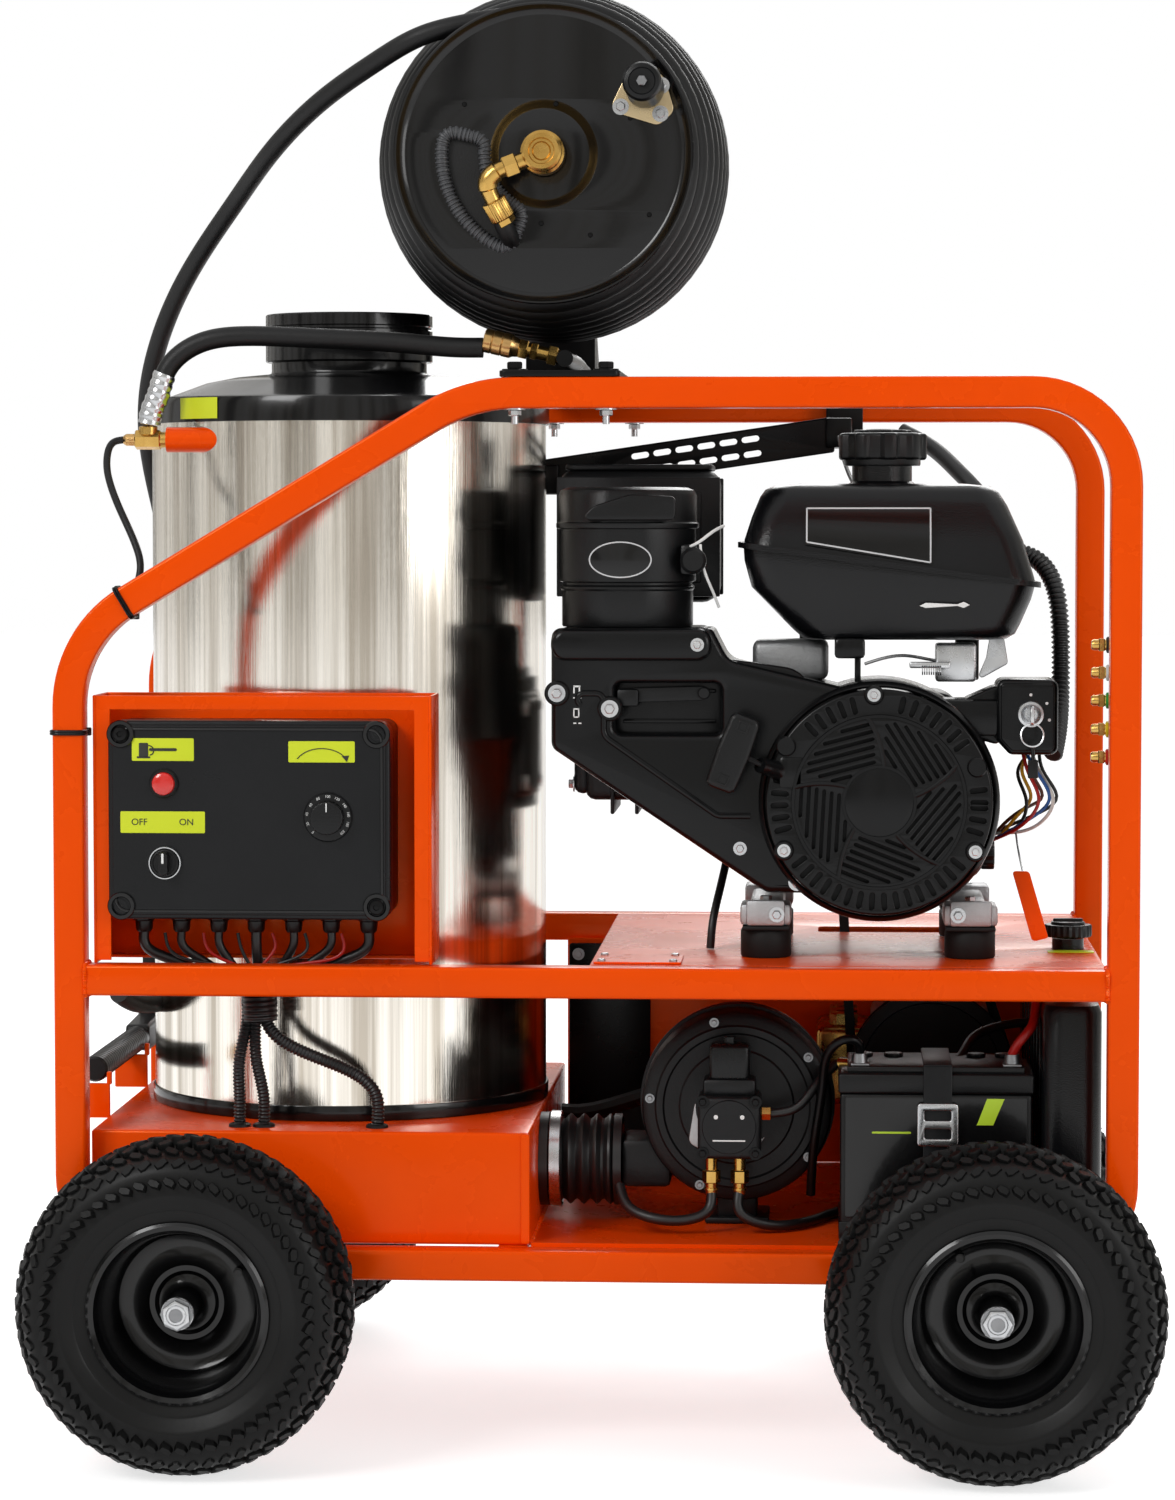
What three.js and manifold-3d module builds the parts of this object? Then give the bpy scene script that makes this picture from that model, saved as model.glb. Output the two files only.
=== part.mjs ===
// A hot-water pressure washer on four wheels, driven by a petrol engine, with a hose reel on top.
// Millimetres, +Z up. The origin is on the ground under the middle of the wheels.
// +X runs to the engine end, and -Y faces the control box.
import * as THREE from "three";
import { mergeVertices } from "three/addons/utils/BufferGeometryUtils.js";
import Module from "manifold-3d";

const wasm = await Module();
wasm.setup();

// Clearances and overruns shared by every piece.
const seat = 0.3; // pieces that rest on or fit in each other stay this far apart
const overrun = 5; // a cutting shape runs this far past what it cuts
const weld = 0.001; // corners closer than this are one corner
const sink = 1; // joined shapes of one piece reach this far into each other

// A hole's radius round a bar, so that its flats clear the bar's corners.
const around = (radius, sides = 12) => (radius + seat) / Math.cos(Math.PI / sides);

// Driving dimensions. The boiler, the control tray beside it and the fuel tank at the right end
// set the length and the width of the frame that holds them.
const boiler = { y: 0, radius: 203, wall: 3, height: 702.7, steps: 24 };
const base = { right: -63, top: 315, wall: 3, fireHole: 110, boilerGap: 3, leftGap: 23 };
const tray = {
  beyondBoiler: 112, // its right side lies this far right of the boiler's middle
  sideGap: 7,
  boilerGap: 7,
  depth: 75,
  inset: 15, // its front lies this far behind the frame's near face
  height: 261.7,
  wall: 3,
  lip: 14,
  notch: 56,
};
const dieselTank = {
  x: [435, 493],
  frameGap: 2,
  endGap: 12,
  top: 443,
  chamferX: 43,
  chamferZ: 26,
  neckRise: 49,
  cutX: 30,
  cutZ: 60,
};
boiler.x = base.right - base.boilerGap - boiler.radius;
boiler.bottom = base.top + seat;
boiler.top = boiler.bottom + boiler.height;

const frame = {
  aboveBoiler: 31,
  bottom: 174,
  tube: 30,
  midRailTop: 480,
  bottomRadius: 100,
  topRadius: 105,
  slopeLength: 402, // from the left end to where the slope meets the level top rail
  slopeTopRadius: 180,
  slopeSideDrop: 242, // from the top to where the slope turns into the left upright
  slopeSideRadius: 135,
  crossFromLeft: 75,
  crossFromBase: 32,
  crossFromRight: 85,
};
frame.top = boiler.top + frame.aboveBoiler;
frame.left = boiler.x - boiler.radius - base.leftGap - frame.tube;
frame.right = dieselTank.x[1] + dieselTank.frameGap + frame.tube;
frame.near = boiler.y - boiler.radius - tray.boilerGap - tray.depth - tray.inset;
frame.nearInner = frame.near + frame.tube;
frame.midRailBottom = frame.midRailTop - frame.tube;
frame.bottomTop = frame.bottom + frame.tube;
frame.crossTubeX = [
  frame.left + frame.crossFromLeft, base.right - frame.crossFromBase, frame.right - frame.crossFromRight,
];

const saddle = { halfWidth: 22, drop: 18, pastBend: 17 };
const wheel = {
  frameGap: 10,
  radius: 162.5,
  width: 125,
  rimRadius: 87.5,
  beadRadius: 80,
  tyreWall: 7,
  steps: 16,
};
wheel.middleY = -frame.near + wheel.frameGap + wheel.width / 2;
wheel.fromEnd = frame.bottomRadius + saddle.pastBend + saddle.halfWidth;
wheel.leftX = frame.left + wheel.fromEnd;
wheel.rightX = frame.right - wheel.fromEnd;

const axle = { radius: 10, hubHalf: 48, collarRadius: 16, collarWidth: 5, endReach: 6 };

const engine = { fanX: 276, fanRise: 125, fanRadius: 118, front: -225, back: 75, mountHeight: 32 };
engine.mountTop = frame.midRailTop + engine.mountHeight;
engine.fanZ = engine.mountTop + engine.fanRise;
const reel = { x: -55, rise: 222.5, discRadius: 148, near: -192, far: 150, steps: 20 };
reel.z = frame.top + reel.rise;

// Finishes.
const finish = (color, roughness, metalness) =>
  new THREE.MeshStandardMaterial({ color, roughness, metalness });
const orangePaint = finish(0xff5500, 0.3, 0.1);
const blackPaint = finish(0x101010, 0.3, 0.2);
const satinBlack = finish(0x1a1a1b, 0.45, 0.1);
const rubberBlack = finish(0x161616, 0.8, 0);
const stainless = finish(0xb8b4ae, 0.28, 1);
const steel = finish(0xa8a8aa, 0.35, 1);
const brass = finish(0xb08d4f, 0.35, 1);
const castAluminium = finish(0x8f9092, 0.5, 0.9);
const tankBlack = finish(0x18181a, 0.55, 0);

const machine = new THREE.Group();

// Solid helpers

// A manifold solid from any closed three.js geometry, faces turned outwards.
function solidOf(geometry) {
  const loose = geometry.index ? geometry.toNonIndexed() : geometry;
  const bare = new THREE.BufferGeometry();
  bare.setAttribute("position", loose.getAttribute("position").clone());
  const merged = mergeVertices(bare, weld);
  const index = merged.index.array;
  const corners = [];
  for (let i = 0; i < index.length; i += 3) {
    const [a, b, c] = [index[i], index[i + 1], index[i + 2]];
    if (a !== b && b !== c && c !== a) corners.push(a, b, c);
  }
  const made = solidOfArrays(merged.attributes.position.array, corners);
  return made.volume() < 0 ? solidOfArrays(merged.attributes.position.array, turnedRound(corners)) : made;
}

function turnedRound(corners) {
  return corners.map((corner, i) => corners[i % 3 === 0 ? i : i % 3 === 1 ? i + 1 : i - 1]);
}

function solidOfArrays(positions, corners) {
  const vertProperties = new Float32Array(positions);
  return new wasm.Manifold(
    new wasm.Mesh({ numProp: 3, vertProperties, triVerts: new Uint32Array(corners) }),
  );
}

const join = (...solids) => solids.flat(Infinity).reduce((whole, next) => whole.add(next));
const cut = (whole, ...tools) => tools.flat(Infinity).reduce((left, tool) => left.subtract(tool), whole);

// One named piece of the machine.
function piece(name, solid, material) {
  const made = solid.getMesh();
  const geometry = new THREE.BufferGeometry();
  geometry.setAttribute("position", new THREE.BufferAttribute(new Float32Array(made.vertProperties), 3));
  geometry.setIndex(new THREE.BufferAttribute(new Uint32Array(made.triVerts), 1));
  geometry.computeVertexNormals();
  const mesh = new THREE.Mesh(geometry, material);
  mesh.name = name;
  machine.add(mesh);
}

const vector = ([x, y, z]) => new THREE.Vector3(x, y, z);
const middle = ([low, high]) => (low + high) / 2;
const grown = ([low, high], by) => [low - by, high + by];

// A box from its spans along X, Y and Z.
function block(x, y, z) {
  const box = new THREE.BoxGeometry(x[1] - x[0], y[1] - y[0], z[1] - z[0]);
  return solidOf(box.translate(middle(x), middle(y), middle(z)));
}

// Turns what stands along Y so that it lies along the named axis.
function laid(geometry, axis) {
  if (axis === "x") geometry.rotateZ(-Math.PI / 2);
  if (axis === "z") geometry.rotateX(Math.PI / 2);
  return geometry;
}

const along = (axis, value) => vector(["x", "y", "z"].map((name) => (name === axis ? value : 0)));

// A round bar along an axis, from span[0] to span[1], through centre.
function rod(axis, radius, span, centre, sides = 12) {
  const made = laid(new THREE.CylinderGeometry(radius, radius, span[1] - span[0], sides), axis);
  const place = vector(centre.map((value, i) => ("xyz"[i] === axis ? 0 : value))).add(along(axis, middle(span)));
  return solidOf(made.translate(place.x, place.y, place.z));
}

// A round bar between any two points.
function bar(from, to, radius, sides = 8) {
  const [start, end] = [vector(from), vector(to)];
  const made = new THREE.CylinderGeometry(radius, radius, start.distanceTo(end), sides);
  const direction = end.clone().sub(start).normalize();
  made.applyQuaternion(new THREE.Quaternion().setFromUnitVectors(vector([0, 1, 0]), direction));
  const centre = start.add(end).multiplyScalar(1 / 2);
  return solidOf(made.translate(centre.x, centre.y, centre.z));
}

// A closed profile of [radius, height] turned about an axis through centre.
function turned(axis, profile, centre, steps = 24) {
  const onAxis = profile[0][0] === 0 && profile.at(-1)[0] === 0;
  const closed = onAxis ? profile : [...profile, profile[0]];
  const lathe = new THREE.LatheGeometry(closed.map(([r, h]) => new THREE.Vector2(r, h)), steps);
  const made = laid(lathe, axis);
  return solidOf(made.translate(centre[0], centre[1], centre[2]));
}

// An outline pushed along an axis. Outlines lie in XZ for y, in YZ for x, and in XY for z.
function prism(axis, outline, span, { holes = [], bevel = 0, bevelSteps = 2 } = {}) {
  const shape = new THREE.Shape(outline.map(([a, b]) => new THREE.Vector2(a, b)));
  shape.holes = holes.map((hole) => new THREE.Path(hole.map(([a, b]) => new THREE.Vector2(a, b))));
  const made = new THREE.ExtrudeGeometry(shape, {
    depth: span[1] - span[0] - 2 * bevel,
    bevelEnabled: bevel > 0,
    bevelThickness: bevel,
    bevelSize: bevel,
    bevelOffset: -bevel,
    bevelSegments: bevelSteps,
    curveSegments: 1,
  });
  made.translate(0, 0, bevel);
  if (axis === "y") made.rotateX(Math.PI / 2).translate(0, span[1], 0);
  if (axis === "z") made.translate(0, 0, span[0]);
  if (axis === "x") {
    const turn = new THREE.Matrix4().makeBasis(vector([0, 1, 0]), vector([0, 0, 1]), vector([1, 0, 0]));
    made.applyMatrix4(turn).translate(span[0], 0, 0);
  }
  return solidOf(made);
}

// A tube of one radius through a list of points.
function tube(points, radius, { sides = 10, steps = 24 } = {}) {
  const ring = Array.from({ length: sides }, (_, i) => {
    const angle = (2 * Math.PI * i) / sides;
    return new THREE.Vector2(radius * Math.cos(angle), radius * Math.sin(angle));
  });
  const path = new THREE.CatmullRomCurve3(points.map(vector), false, "centripetal");
  return solidOf(new THREE.ExtrudeGeometry(new THREE.Shape(ring), { steps, extrudePath: path }));
}

const rectangle = ([x0, x1], [z0, z1]) => [[x0, z0], [x1, z0], [x1, z1], [x0, z1]];

// Corners given as shares of a box become real places in it.
const placed = (shares, [x0, x1], [z0, z1]) =>
  shares.map(([across, up]) => [x0 + across * (x1 - x0), z0 + up * (z1 - z0)]);

// The unit ways from a corner to its two neighbours, and half the angle between them.
function cornerWays(corners, i) {
  const at = (j) => new THREE.Vector2(...corners[(j + corners.length) % corners.length]);
  const before = at(i - 1).sub(at(i)).normalize();
  const after = at(i + 1).sub(at(i)).normalize();
  const half = Math.acos(THREE.MathUtils.clamp(before.dot(after), -1, 1)) / 2;
  return { corner: at(i), before, after, half, inward: before.clone().add(after).normalize() };
}

// An outline whose corners are rounded, each by its own radius.
function rounded(corners, radii, steps = 4) {
  return corners.flatMap((_, i) => {
    const radius = Array.isArray(radii) ? radii[i] : radii;
    const { corner, before, after, half, inward } = cornerWays(corners, i);
    if (radius <= 0) return [[corner.x, corner.y]];
    const centre = inward.multiplyScalar(radius / Math.sin(half)).add(corner);
    const reach = radius / Math.tan(half);
    const start = before.multiplyScalar(reach).add(corner).sub(centre).angle();
    const end = after.multiplyScalar(reach).add(corner).sub(centre).angle();
    const swing = THREE.MathUtils.euclideanModulo(end - start + Math.PI, 2 * Math.PI) - Math.PI;
    return Array.from({ length: steps + 1 }, (_, j) => {
      const angle = start + (swing * j) / steps;
      return [centre.x + radius * Math.cos(angle), centre.y + radius * Math.sin(angle)];
    });
  });
}

// The corners of an outline moved inwards by a distance.
function inset(corners, distance) {
  return corners.map((_, i) => {
    const { corner, half, inward } = cornerWays(corners, i);
    const moved = inward.multiplyScalar(distance / Math.sin(half)).add(corner);
    return [moved.x, moved.y];
  });
}

// Mirrors a Y span for the far side of the machine.
const sided = ([low, high], side) => (side < 0 ? [low, high] : [-high, -low]);

// Frame: two bent hoops of square tube, with cross tubes between them

function hoop(ySpan) {
  const corners = [
    [frame.left, frame.bottom],
    [frame.right, frame.bottom],
    [frame.right, frame.top],
    [frame.left + frame.slopeLength, frame.top],
    [frame.left, frame.top - frame.slopeSideDrop],
  ];
  const radii = [
    frame.bottomRadius, frame.bottomRadius, frame.topRadius, frame.slopeTopRadius, frame.slopeSideRadius,
  ];
  const inner = rounded(inset(corners, frame.tube), radii.map((radius) => radius - frame.tube), 4);
  return prism("y", rounded(corners, radii, 4), ySpan, { holes: [inner] });
}

const nozzleRack = { height: 220, aboveRail: 143, depth: 80, thickness: 4, fromUpright: 6 };

// One side: hoop, middle rail and the saddles that hold the axles.
function sideFrame(side) {
  const ySpan = sided([frame.near, frame.nearInner], side);
  const railX = [frame.left + frame.tube / 2, frame.right - frame.tube / 2];
  const rail = block(railX, ySpan, [frame.midRailBottom, frame.midRailTop]);
  const saddles = [wheel.leftX, wheel.rightX].map((x) =>
    block([x - saddle.halfWidth, x + saddle.halfWidth], ySpan, [wheel.radius - saddle.drop, frame.bottom + sink]),
  );
  const bores = [wheel.leftX, wheel.rightX].map((x) =>
    rod("y", around(axle.radius), grown(ySpan, overrun), [x, 0, wheel.radius]),
  );
  return cut(join(hoop(ySpan), rail, saddles), bores);
}

// The near side also carries the cross tubes and the plate that holds the spray nozzles.
function nearSideFrame() {
  const crossTubes = frame.crossTubeX.map((x) =>
    block([x, x + frame.tube], [frame.nearInner - sink, -frame.nearInner - seat], [frame.bottom, frame.bottomTop]),
  );
  const rackX = frame.right - frame.tube + nozzleRack.fromUpright;
  const rackBottom = frame.midRailTop + nozzleRack.aboveRail;
  const rack = block(
    [rackX, rackX + nozzleRack.thickness],
    [frame.nearInner - sink, frame.nearInner + nozzleRack.depth],
    [rackBottom, rackBottom + nozzleRack.height],
  );
  return join(sideFrame(-1), crossTubes, rack);
}

// Wheels and axles

// A tyre's section: tread, shoulders, side walls and beads, open towards the rim.
const treadShares = [[0, -0.8], [0.11, -0.8], [0.45, -1], [0.86, -0.94], [1, -0.6]];
function tyre(x, side) {
  const inner = wheel.beadRadius + seat;
  const height = wheel.radius - inner;
  const half = wheel.width / 2;
  const beadHalf = half * Math.abs(treadShares[0][1]);
  const outside = treadShares.map(([up, across]) => [inner + up * height, across * half]);
  const mirrored = [...outside].reverse().map(([r, y]) => [r, -y]);
  const wall = wheel.tyreWall;
  const inside = [
    [inner, beadHalf - wall],
    [wheel.radius - 2 * wall, half - 2 * wall],
    [wheel.radius - 2 * wall, 2 * wall - half],
    [inner, wall - beadHalf],
  ];
  const centre = [x, side * wheel.middleY, wheel.radius];
  return turned("y", [...outside, ...mirrored, ...inside], centre, wheel.steps);
}

const rim = {
  beadHalf: wheel.width / 2 * Math.abs(treadShares[0][1]) + seat,
  lip: 5,
  barrelWall: 6,
  hubRadius: 16,
  discWall: 5,
  discDip: 12, // how far the disc lies behind the hub's middle
  discEdgeDip: 19,
};

// A pressed wheel: lips, barrel, dished disc and a hub tube on the axle.
function wheelRim(x, side) {
  const barrelInner = wheel.beadRadius - rim.barrelWall;
  const lipHalf = rim.beadHalf + rim.lip;
  const bore = around(axle.radius, wheel.steps);
  const profile = [
    [bore, -axle.hubHalf],
    [rim.hubRadius, -axle.hubHalf],
    [rim.hubRadius, -rim.discDip],
    [barrelInner, -rim.discEdgeDip],
    [wheel.rimRadius - rim.barrelWall, -lipHalf],
    [wheel.rimRadius, -lipHalf],
    [wheel.rimRadius, -rim.beadHalf],
    [wheel.beadRadius, -rim.beadHalf],
    [wheel.beadRadius, rim.beadHalf],
    [wheel.rimRadius, rim.beadHalf],
    [wheel.rimRadius - rim.barrelWall, lipHalf],
    [barrelInner, -rim.discEdgeDip + rim.discWall],
    [rim.hubRadius, -rim.discDip + rim.discWall],
    [rim.hubRadius, axle.hubHalf],
    [bore, axle.hubHalf],
  ].map(([r, y]) => [r, -side * y]);
  return turned("y", profile, [x, side * wheel.middleY, wheel.radius], wheel.steps);
}

// A through axle with a collar on each side of each hub.
function wheelAxle(x) {
  const outer = wheel.middleY + axle.hubHalf + seat;
  const inner = wheel.middleY - axle.hubHalf - seat;
  const end = outer + axle.collarWidth + axle.endReach;
  const centre = [x, 0, wheel.radius];
  const collars = [-1, 1].flatMap((side) => [
    rod("y", axle.collarRadius, sided([-outer - axle.collarWidth, -outer], side), centre, 8),
    rod("y", axle.collarRadius, sided([-inner, -inner + axle.collarWidth], side), centre, 8),
  ]);
  return join(rod("y", axle.radius, [-end, end], centre, 8), collars);
}

// Deck, floor pan and the box under the boiler

const shaft = { radius: 12.5, dip: 17, pastBelt: 30 };
const pulley = { flange: 6, wall: 4, crankRadius: 45, pumpRadius: 86, pumpRight: 59, pumpRise: 122.7 };
pulley.pumpX = engine.fanX + pulley.pumpRight;
const deck = { fromBase: 58, thickness: 4, flange: 26 };
deck.left = base.right + deck.fromBase;
const belt = { fromEngine: 17, width: 28, thickness: 9, slotX: [60, 65], slotY: 16 };
belt.y = [engine.back + belt.fromEngine, engine.back + belt.fromEngine + belt.width];
const dieselNeck = { fromRight: 25, y: -86, radius: 16, cap: 24 };
dieselNeck.x = dieselTank.x[1] - dieselNeck.fromRight;
const sheetEdge = frame.nearInner + seat; // sheets between the hoops end here

function engineDeck() {
  const x = [deck.left, frame.right - frame.tube - seat];
  const top = [frame.midRailTop - deck.thickness, frame.midRailTop];
  const sheet = block(x, [sheetEdge, -sheetEdge], top);
  const flangeZ = [frame.midRailTop - deck.flange, top[1]];
  const flange = block([x[0], x[0] + deck.thickness], [sheetEdge, -sheetEdge], flangeZ);
  const slotX = [engine.fanX - belt.slotX[0], pulley.pumpX + belt.slotX[1]];
  const slot = block(slotX, grown(belt.y, belt.slotY), grown(top, overrun));
  const neckHole = rod("z", around(dieselNeck.radius), grown(top, overrun), [dieselNeck.x, dieselNeck.y, 0]);
  return cut(join(sheet, flange), slot, neckHole);
}

const pan = { baseGap: 1, thickness: 3, lip: 14 };
pan.left = base.right + pan.baseGap;
pan.bottom = frame.bottomTop + seat;
pan.top = pan.bottom + pan.thickness;
pulley.pumpZ = pan.top + pulley.pumpRise;
pan.right = frame.right - frame.bottomRadius + frame.tube;

function floorPan() {
  const x = [pan.left, pan.right];
  const sheet = block(x, [sheetEdge, -sheetEdge], [pan.bottom, pan.top]);
  const lips = [-1, 1].map((side) =>
    block(x, sided([sheetEdge, sheetEdge + pan.thickness], side), [pan.bottom - pan.lip, pan.top]),
  );
  const gaps = frame.crossTubeX.map((left) =>
    block([left - seat, left + frame.tube + seat], [frame.near, -frame.near], [0, pan.bottom]),
  );
  return cut(join(sheet, lips), gaps);
}

base.left = frame.left + frame.tube + seat;
const duct = { y: -115, belowTop: 48, radius: 40, ribs: 5, ribHeight: 6, bore: 36, length: 82.7 };
duct.z = base.top - duct.belowTop;
duct.rightX = base.right + seat + duct.length;
const gun = { rise: 45, lanceRadius: 13, endGap: 12 };
gun.x = frame.left + frame.tube / 2;
gun.z = base.top + gun.rise;
gun.far = -frame.nearInner - gun.endGap;
const gunBody = {
  length: 163,
  half: 13,
  below: 15,
  above: 18,
  handleGap: 2,
  handleWidth: 34,
  handleRise: 130,
};
gunBody.front = gun.far - gunBody.length;
gunBody.bottom = gun.z - gunBody.below;
gunBody.top = gun.z + gunBody.above;
gunBody.handleY = [gun.far - gunBody.handleGap - gunBody.handleWidth, gun.far - gunBody.handleGap];
gunBody.handleTop = gun.z + gunBody.handleRise;
const gunTip = { frameGap: 8, radius: 8, length: 22 };
gunTip.y = frame.nearInner + gunTip.frameGap;
const cradle = { fromTip: 92, fromBody: 35, thickness: 6, prong: 5, rise: 12 };
cradle.places = [gunTip.y + cradle.fromTip, gunBody.front - cradle.fromBody];

// Each cradle is a bracket on the box's left wall with two prongs round the lance.
function gunCradle(y) {
  const ySpan = [y, y + cradle.thickness];
  const half = gun.lanceRadius + seat + cradle.prong;
  const bottom = gun.z - gun.lanceRadius - seat;
  const arm = block([gun.x - half, base.left + sink], ySpan, [base.top - base.wall, bottom]);
  const prongs = [-1, 1].map((side) => {
    const x = [gun.x + side * half, gun.x + side * (half - cradle.prong)].sort((a, b) => a - b);
    return block(x, ySpan, [bottom - sink, bottom + cradle.rise]);
  });
  return join(arm, prongs);
}

// A welded sheet box that stands under the boiler and takes the burner's air.
function boilerBase() {
  const x = [base.left, base.right];
  const z = [frame.bottomTop + seat, base.top];
  const y = [sheetEdge, -sheetEdge];
  const hollow = block(grown(x, -base.wall), grown(y, -base.wall), grown(z, -base.wall));
  const fireHole = rod("z", base.fireHole, [middle(z), base.top + overrun], [boiler.x, boiler.y, 0], 18);
  const airHole = rod("x", duct.bore, [base.right - overrun, base.right + overrun], [0, duct.y, duct.z]);
  return join(cut(block(x, y, z), hollow, fireHole, airHole), cradle.places.map(gunCradle));
}

// Boiler: stainless wrap, domed lid with flue, and the coil inside

const outletStub = { belowTop: 26, fromSide: 47, radius: 12.5, reach: 32, inside: 19 };
outletStub.z = boiler.top - outletStub.belowTop;
outletStub.y = boiler.y - boiler.radius + outletStub.fromSide;
outletStub.wallX = boiler.x - Math.sqrt(boiler.radius ** 2 - (outletStub.y - boiler.y) ** 2);
outletStub.left = outletStub.wallX - outletStub.reach;
outletStub.inner = outletStub.wallX + outletStub.inside;

function boilerShell() {
  const inner = boiler.radius - boiler.wall;
  const wrap = turned("z", [
    [inner, boiler.bottom], [boiler.radius, boiler.bottom], [boiler.radius, boiler.top], [inner, boiler.top],
  ], [boiler.x, boiler.y, 0], boiler.steps);
  const stubSpan = [outletStub.left, outletStub.inner + 2 * coil.tube];
  return cut(wrap, rod("x", around(outletStub.radius), stubSpan, [0, outletStub.y, outletStub.z]));
}

const lid = {
  overlap: 8,
  skirt: 18,
  wall: 3,
  domeRise: 26,
  bendShares: [0.55, 0.62], // where the dome bends: outwards from the neck, and up its rise
  neckRadius: 80,
  neckRise: 12,
  collarRadius: 86,
  collarRise: 49,
};

function boilerLid() {
  const outer = boiler.radius + lid.wall + seat;
  const rim0 = boiler.top + lid.skirt;
  const dome = rim0 + lid.domeRise;
  const neck = dome + lid.neckRise;
  const top = neck + lid.collarRise;
  const bendRadius = lid.neckRadius + (boiler.radius - lid.neckRadius) * lid.bendShares[0];
  const bendZ = rim0 + lid.domeRise * lid.bendShares[1];
  const inner = lid.neckRadius - lid.wall;
  return turned("z", [
    [boiler.radius + seat, boiler.top - lid.overlap],
    [outer, boiler.top - lid.overlap],
    [outer, rim0 - lid.wall],
    [outer - lid.wall, rim0],
    [bendRadius, bendZ],
    [lid.neckRadius, dome],
    [lid.neckRadius, neck],
    [lid.collarRadius, neck],
    [lid.collarRadius, top],
    [lid.collarRadius - lid.wall, top],
    [inner, neck],
    [inner, dome - lid.wall],
    [bendRadius, bendZ - lid.wall],
    [boiler.radius - lid.wall, boiler.top + seat + lid.wall],
    [boiler.radius + seat, boiler.top + seat],
  ], [boiler.x, boiler.y, 0], boiler.steps);
}

const coil = { wrapGap: 7, wall: 13, belowTop: 118, tube: 9 };
coil.outer = boiler.radius - boiler.wall - coil.wrapGap;
coil.inner = coil.outer - coil.wall;
coil.top = boiler.top - coil.belowTop;

// The heating coil stands on the base box as one stack of turns, with its outlet leg at the top.
function heatingCoil() {
  return turned("z", [
    [coil.inner, boiler.bottom], [coil.outer, boiler.bottom], [coil.outer, coil.top], [coil.inner, coil.top],
  ], [boiler.x, boiler.y, 0], 12);
}

const tee = {
  runRadius: 8,
  bodyRadius: 10,
  run: 9,
  bodyLength: 26,
  probeRadius: 6,
  probeLength: 13,
  rise: 14,
};
tee.bodyX = [outletStub.left - tee.run - tee.bodyLength, outletStub.left - tee.run];
tee.probeX = tee.bodyX[0] - tee.probeLength;
tee.branchX = middle(tee.bodyX);

// Outlet stub through the boiler's wall, with the tee and the temperature probe on its end.
function outletTee() {
  const at = [0, outletStub.y, outletStub.z];
  const leg = [outletStub.inner + coil.tube, outletStub.y, 0];
  return join(
    rod("x", outletStub.radius, [outletStub.left, outletStub.inner + coil.tube], at),
    rod("z", coil.tube, [coil.top + seat, outletStub.z + coil.tube], leg, 12),
    rod("x", tee.runRadius, [tee.bodyX[0], outletStub.left + sink], at, 12),
    rod("x", tee.bodyRadius, tee.bodyX, at, 6),
    rod("x", tee.probeRadius, [tee.probeX, tee.bodyX[0] + sink], at, 12),
    rod("z", tee.runRadius, [outletStub.z, outletStub.z + tee.rise], [tee.branchX, outletStub.y, 0], 12),
  );
}

// Control tray and box

tray.left = frame.left + frame.tube + tray.sideGap;
tray.right = boiler.x + tray.beyondBoiler;
tray.bottom = frame.midRailTop + seat;
tray.top = tray.bottom + tray.height;
tray.front = frame.near + tray.inset;
tray.back = tray.front + tray.depth;

// A folded sheet tray, open to the front, that stands on the middle rail.
function controlTray() {
  const x = [tray.left, tray.right];
  const z = [tray.bottom, tray.top];
  const insideY = [tray.front - overrun, tray.back - tray.wall];
  const inside = [grown(x, -tray.wall), insideY, grown(z, -tray.wall)];
  const open = block(grown(x, -tray.lip), insideY, [z[1] - tray.lip, z[1] + overrun]);
  const notchY = [tray.front - overrun, tray.front + tray.notch];
  const notch = block(grown(x, -tray.lip), notchY, [z[0] - overrun, z[0] + tray.wall + overrun]);
  return cut(block(x, [tray.front, tray.back], z), block(...inside), open, notch);
}

const controls = {
  fromLeft: 17,
  fromRight: 39,
  fromTop: 24,
  fromBottom: 44.7,
  lidDepth: 32,
  wall: 3.5,
  corner: 12,
};
controls.left = tray.left + controls.fromLeft;
controls.right = tray.right - controls.fromRight;
controls.bottom = tray.bottom + controls.fromBottom;
controls.top = tray.top - controls.fromTop;
controls.front = frame.near;
controls.seam = controls.front + controls.lidDepth;
const gland = { count: 7, radius: 9, length: 16, behindSeam: 23, fromLeft: 26, fromRight: 27 };
gland.y = controls.seam + gland.behindSeam;
gland.pitch = (controls.right - gland.fromRight - controls.left - gland.fromLeft) / (gland.count - 1);
const glandX = Array.from({ length: gland.count }, (_, i) => controls.left + gland.fromLeft + i * gland.pitch);
const selector = { across: 56, up: 55, radius: 14, plate: 5, grip: 17, shaft: 4, barHalf: 3.5 };
selector.x = controls.left + selector.across;
selector.z = controls.bottom + selector.up;
const thermostat = { fromRight: 60, up: 100, radius: 24, plate: 4, knobRadius: 16, grip: 17, shaft: 4 };
thermostat.x = controls.right - thermostat.fromRight;
thermostat.z = controls.bottom + thermostat.up;
const lamp = { across: 55, fromTop: 61, radius: 11, proud: 8 };
lamp.x = controls.left + lamp.across;
lamp.z = controls.top - lamp.fromTop;

function controlOutline(by) {
  const x = grown([controls.left, controls.right], -by);
  return rounded(rectangle(x, grown([controls.bottom, controls.top], -by)), controls.corner - by, 2);
}

function controlBox() {
  const y = [controls.seam, tray.back - tray.wall - seat];
  const hollow = prism("y", controlOutline(controls.wall), [y[0] - overrun, y[1] - controls.wall]);
  const glands = glandX.map((x) =>
    rod("z", gland.radius, [controls.bottom - gland.length, controls.bottom + sink], [x, gland.y, 0], 6),
  );
  return join(cut(prism("y", controlOutline(0), y), hollow), glands);
}

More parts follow.
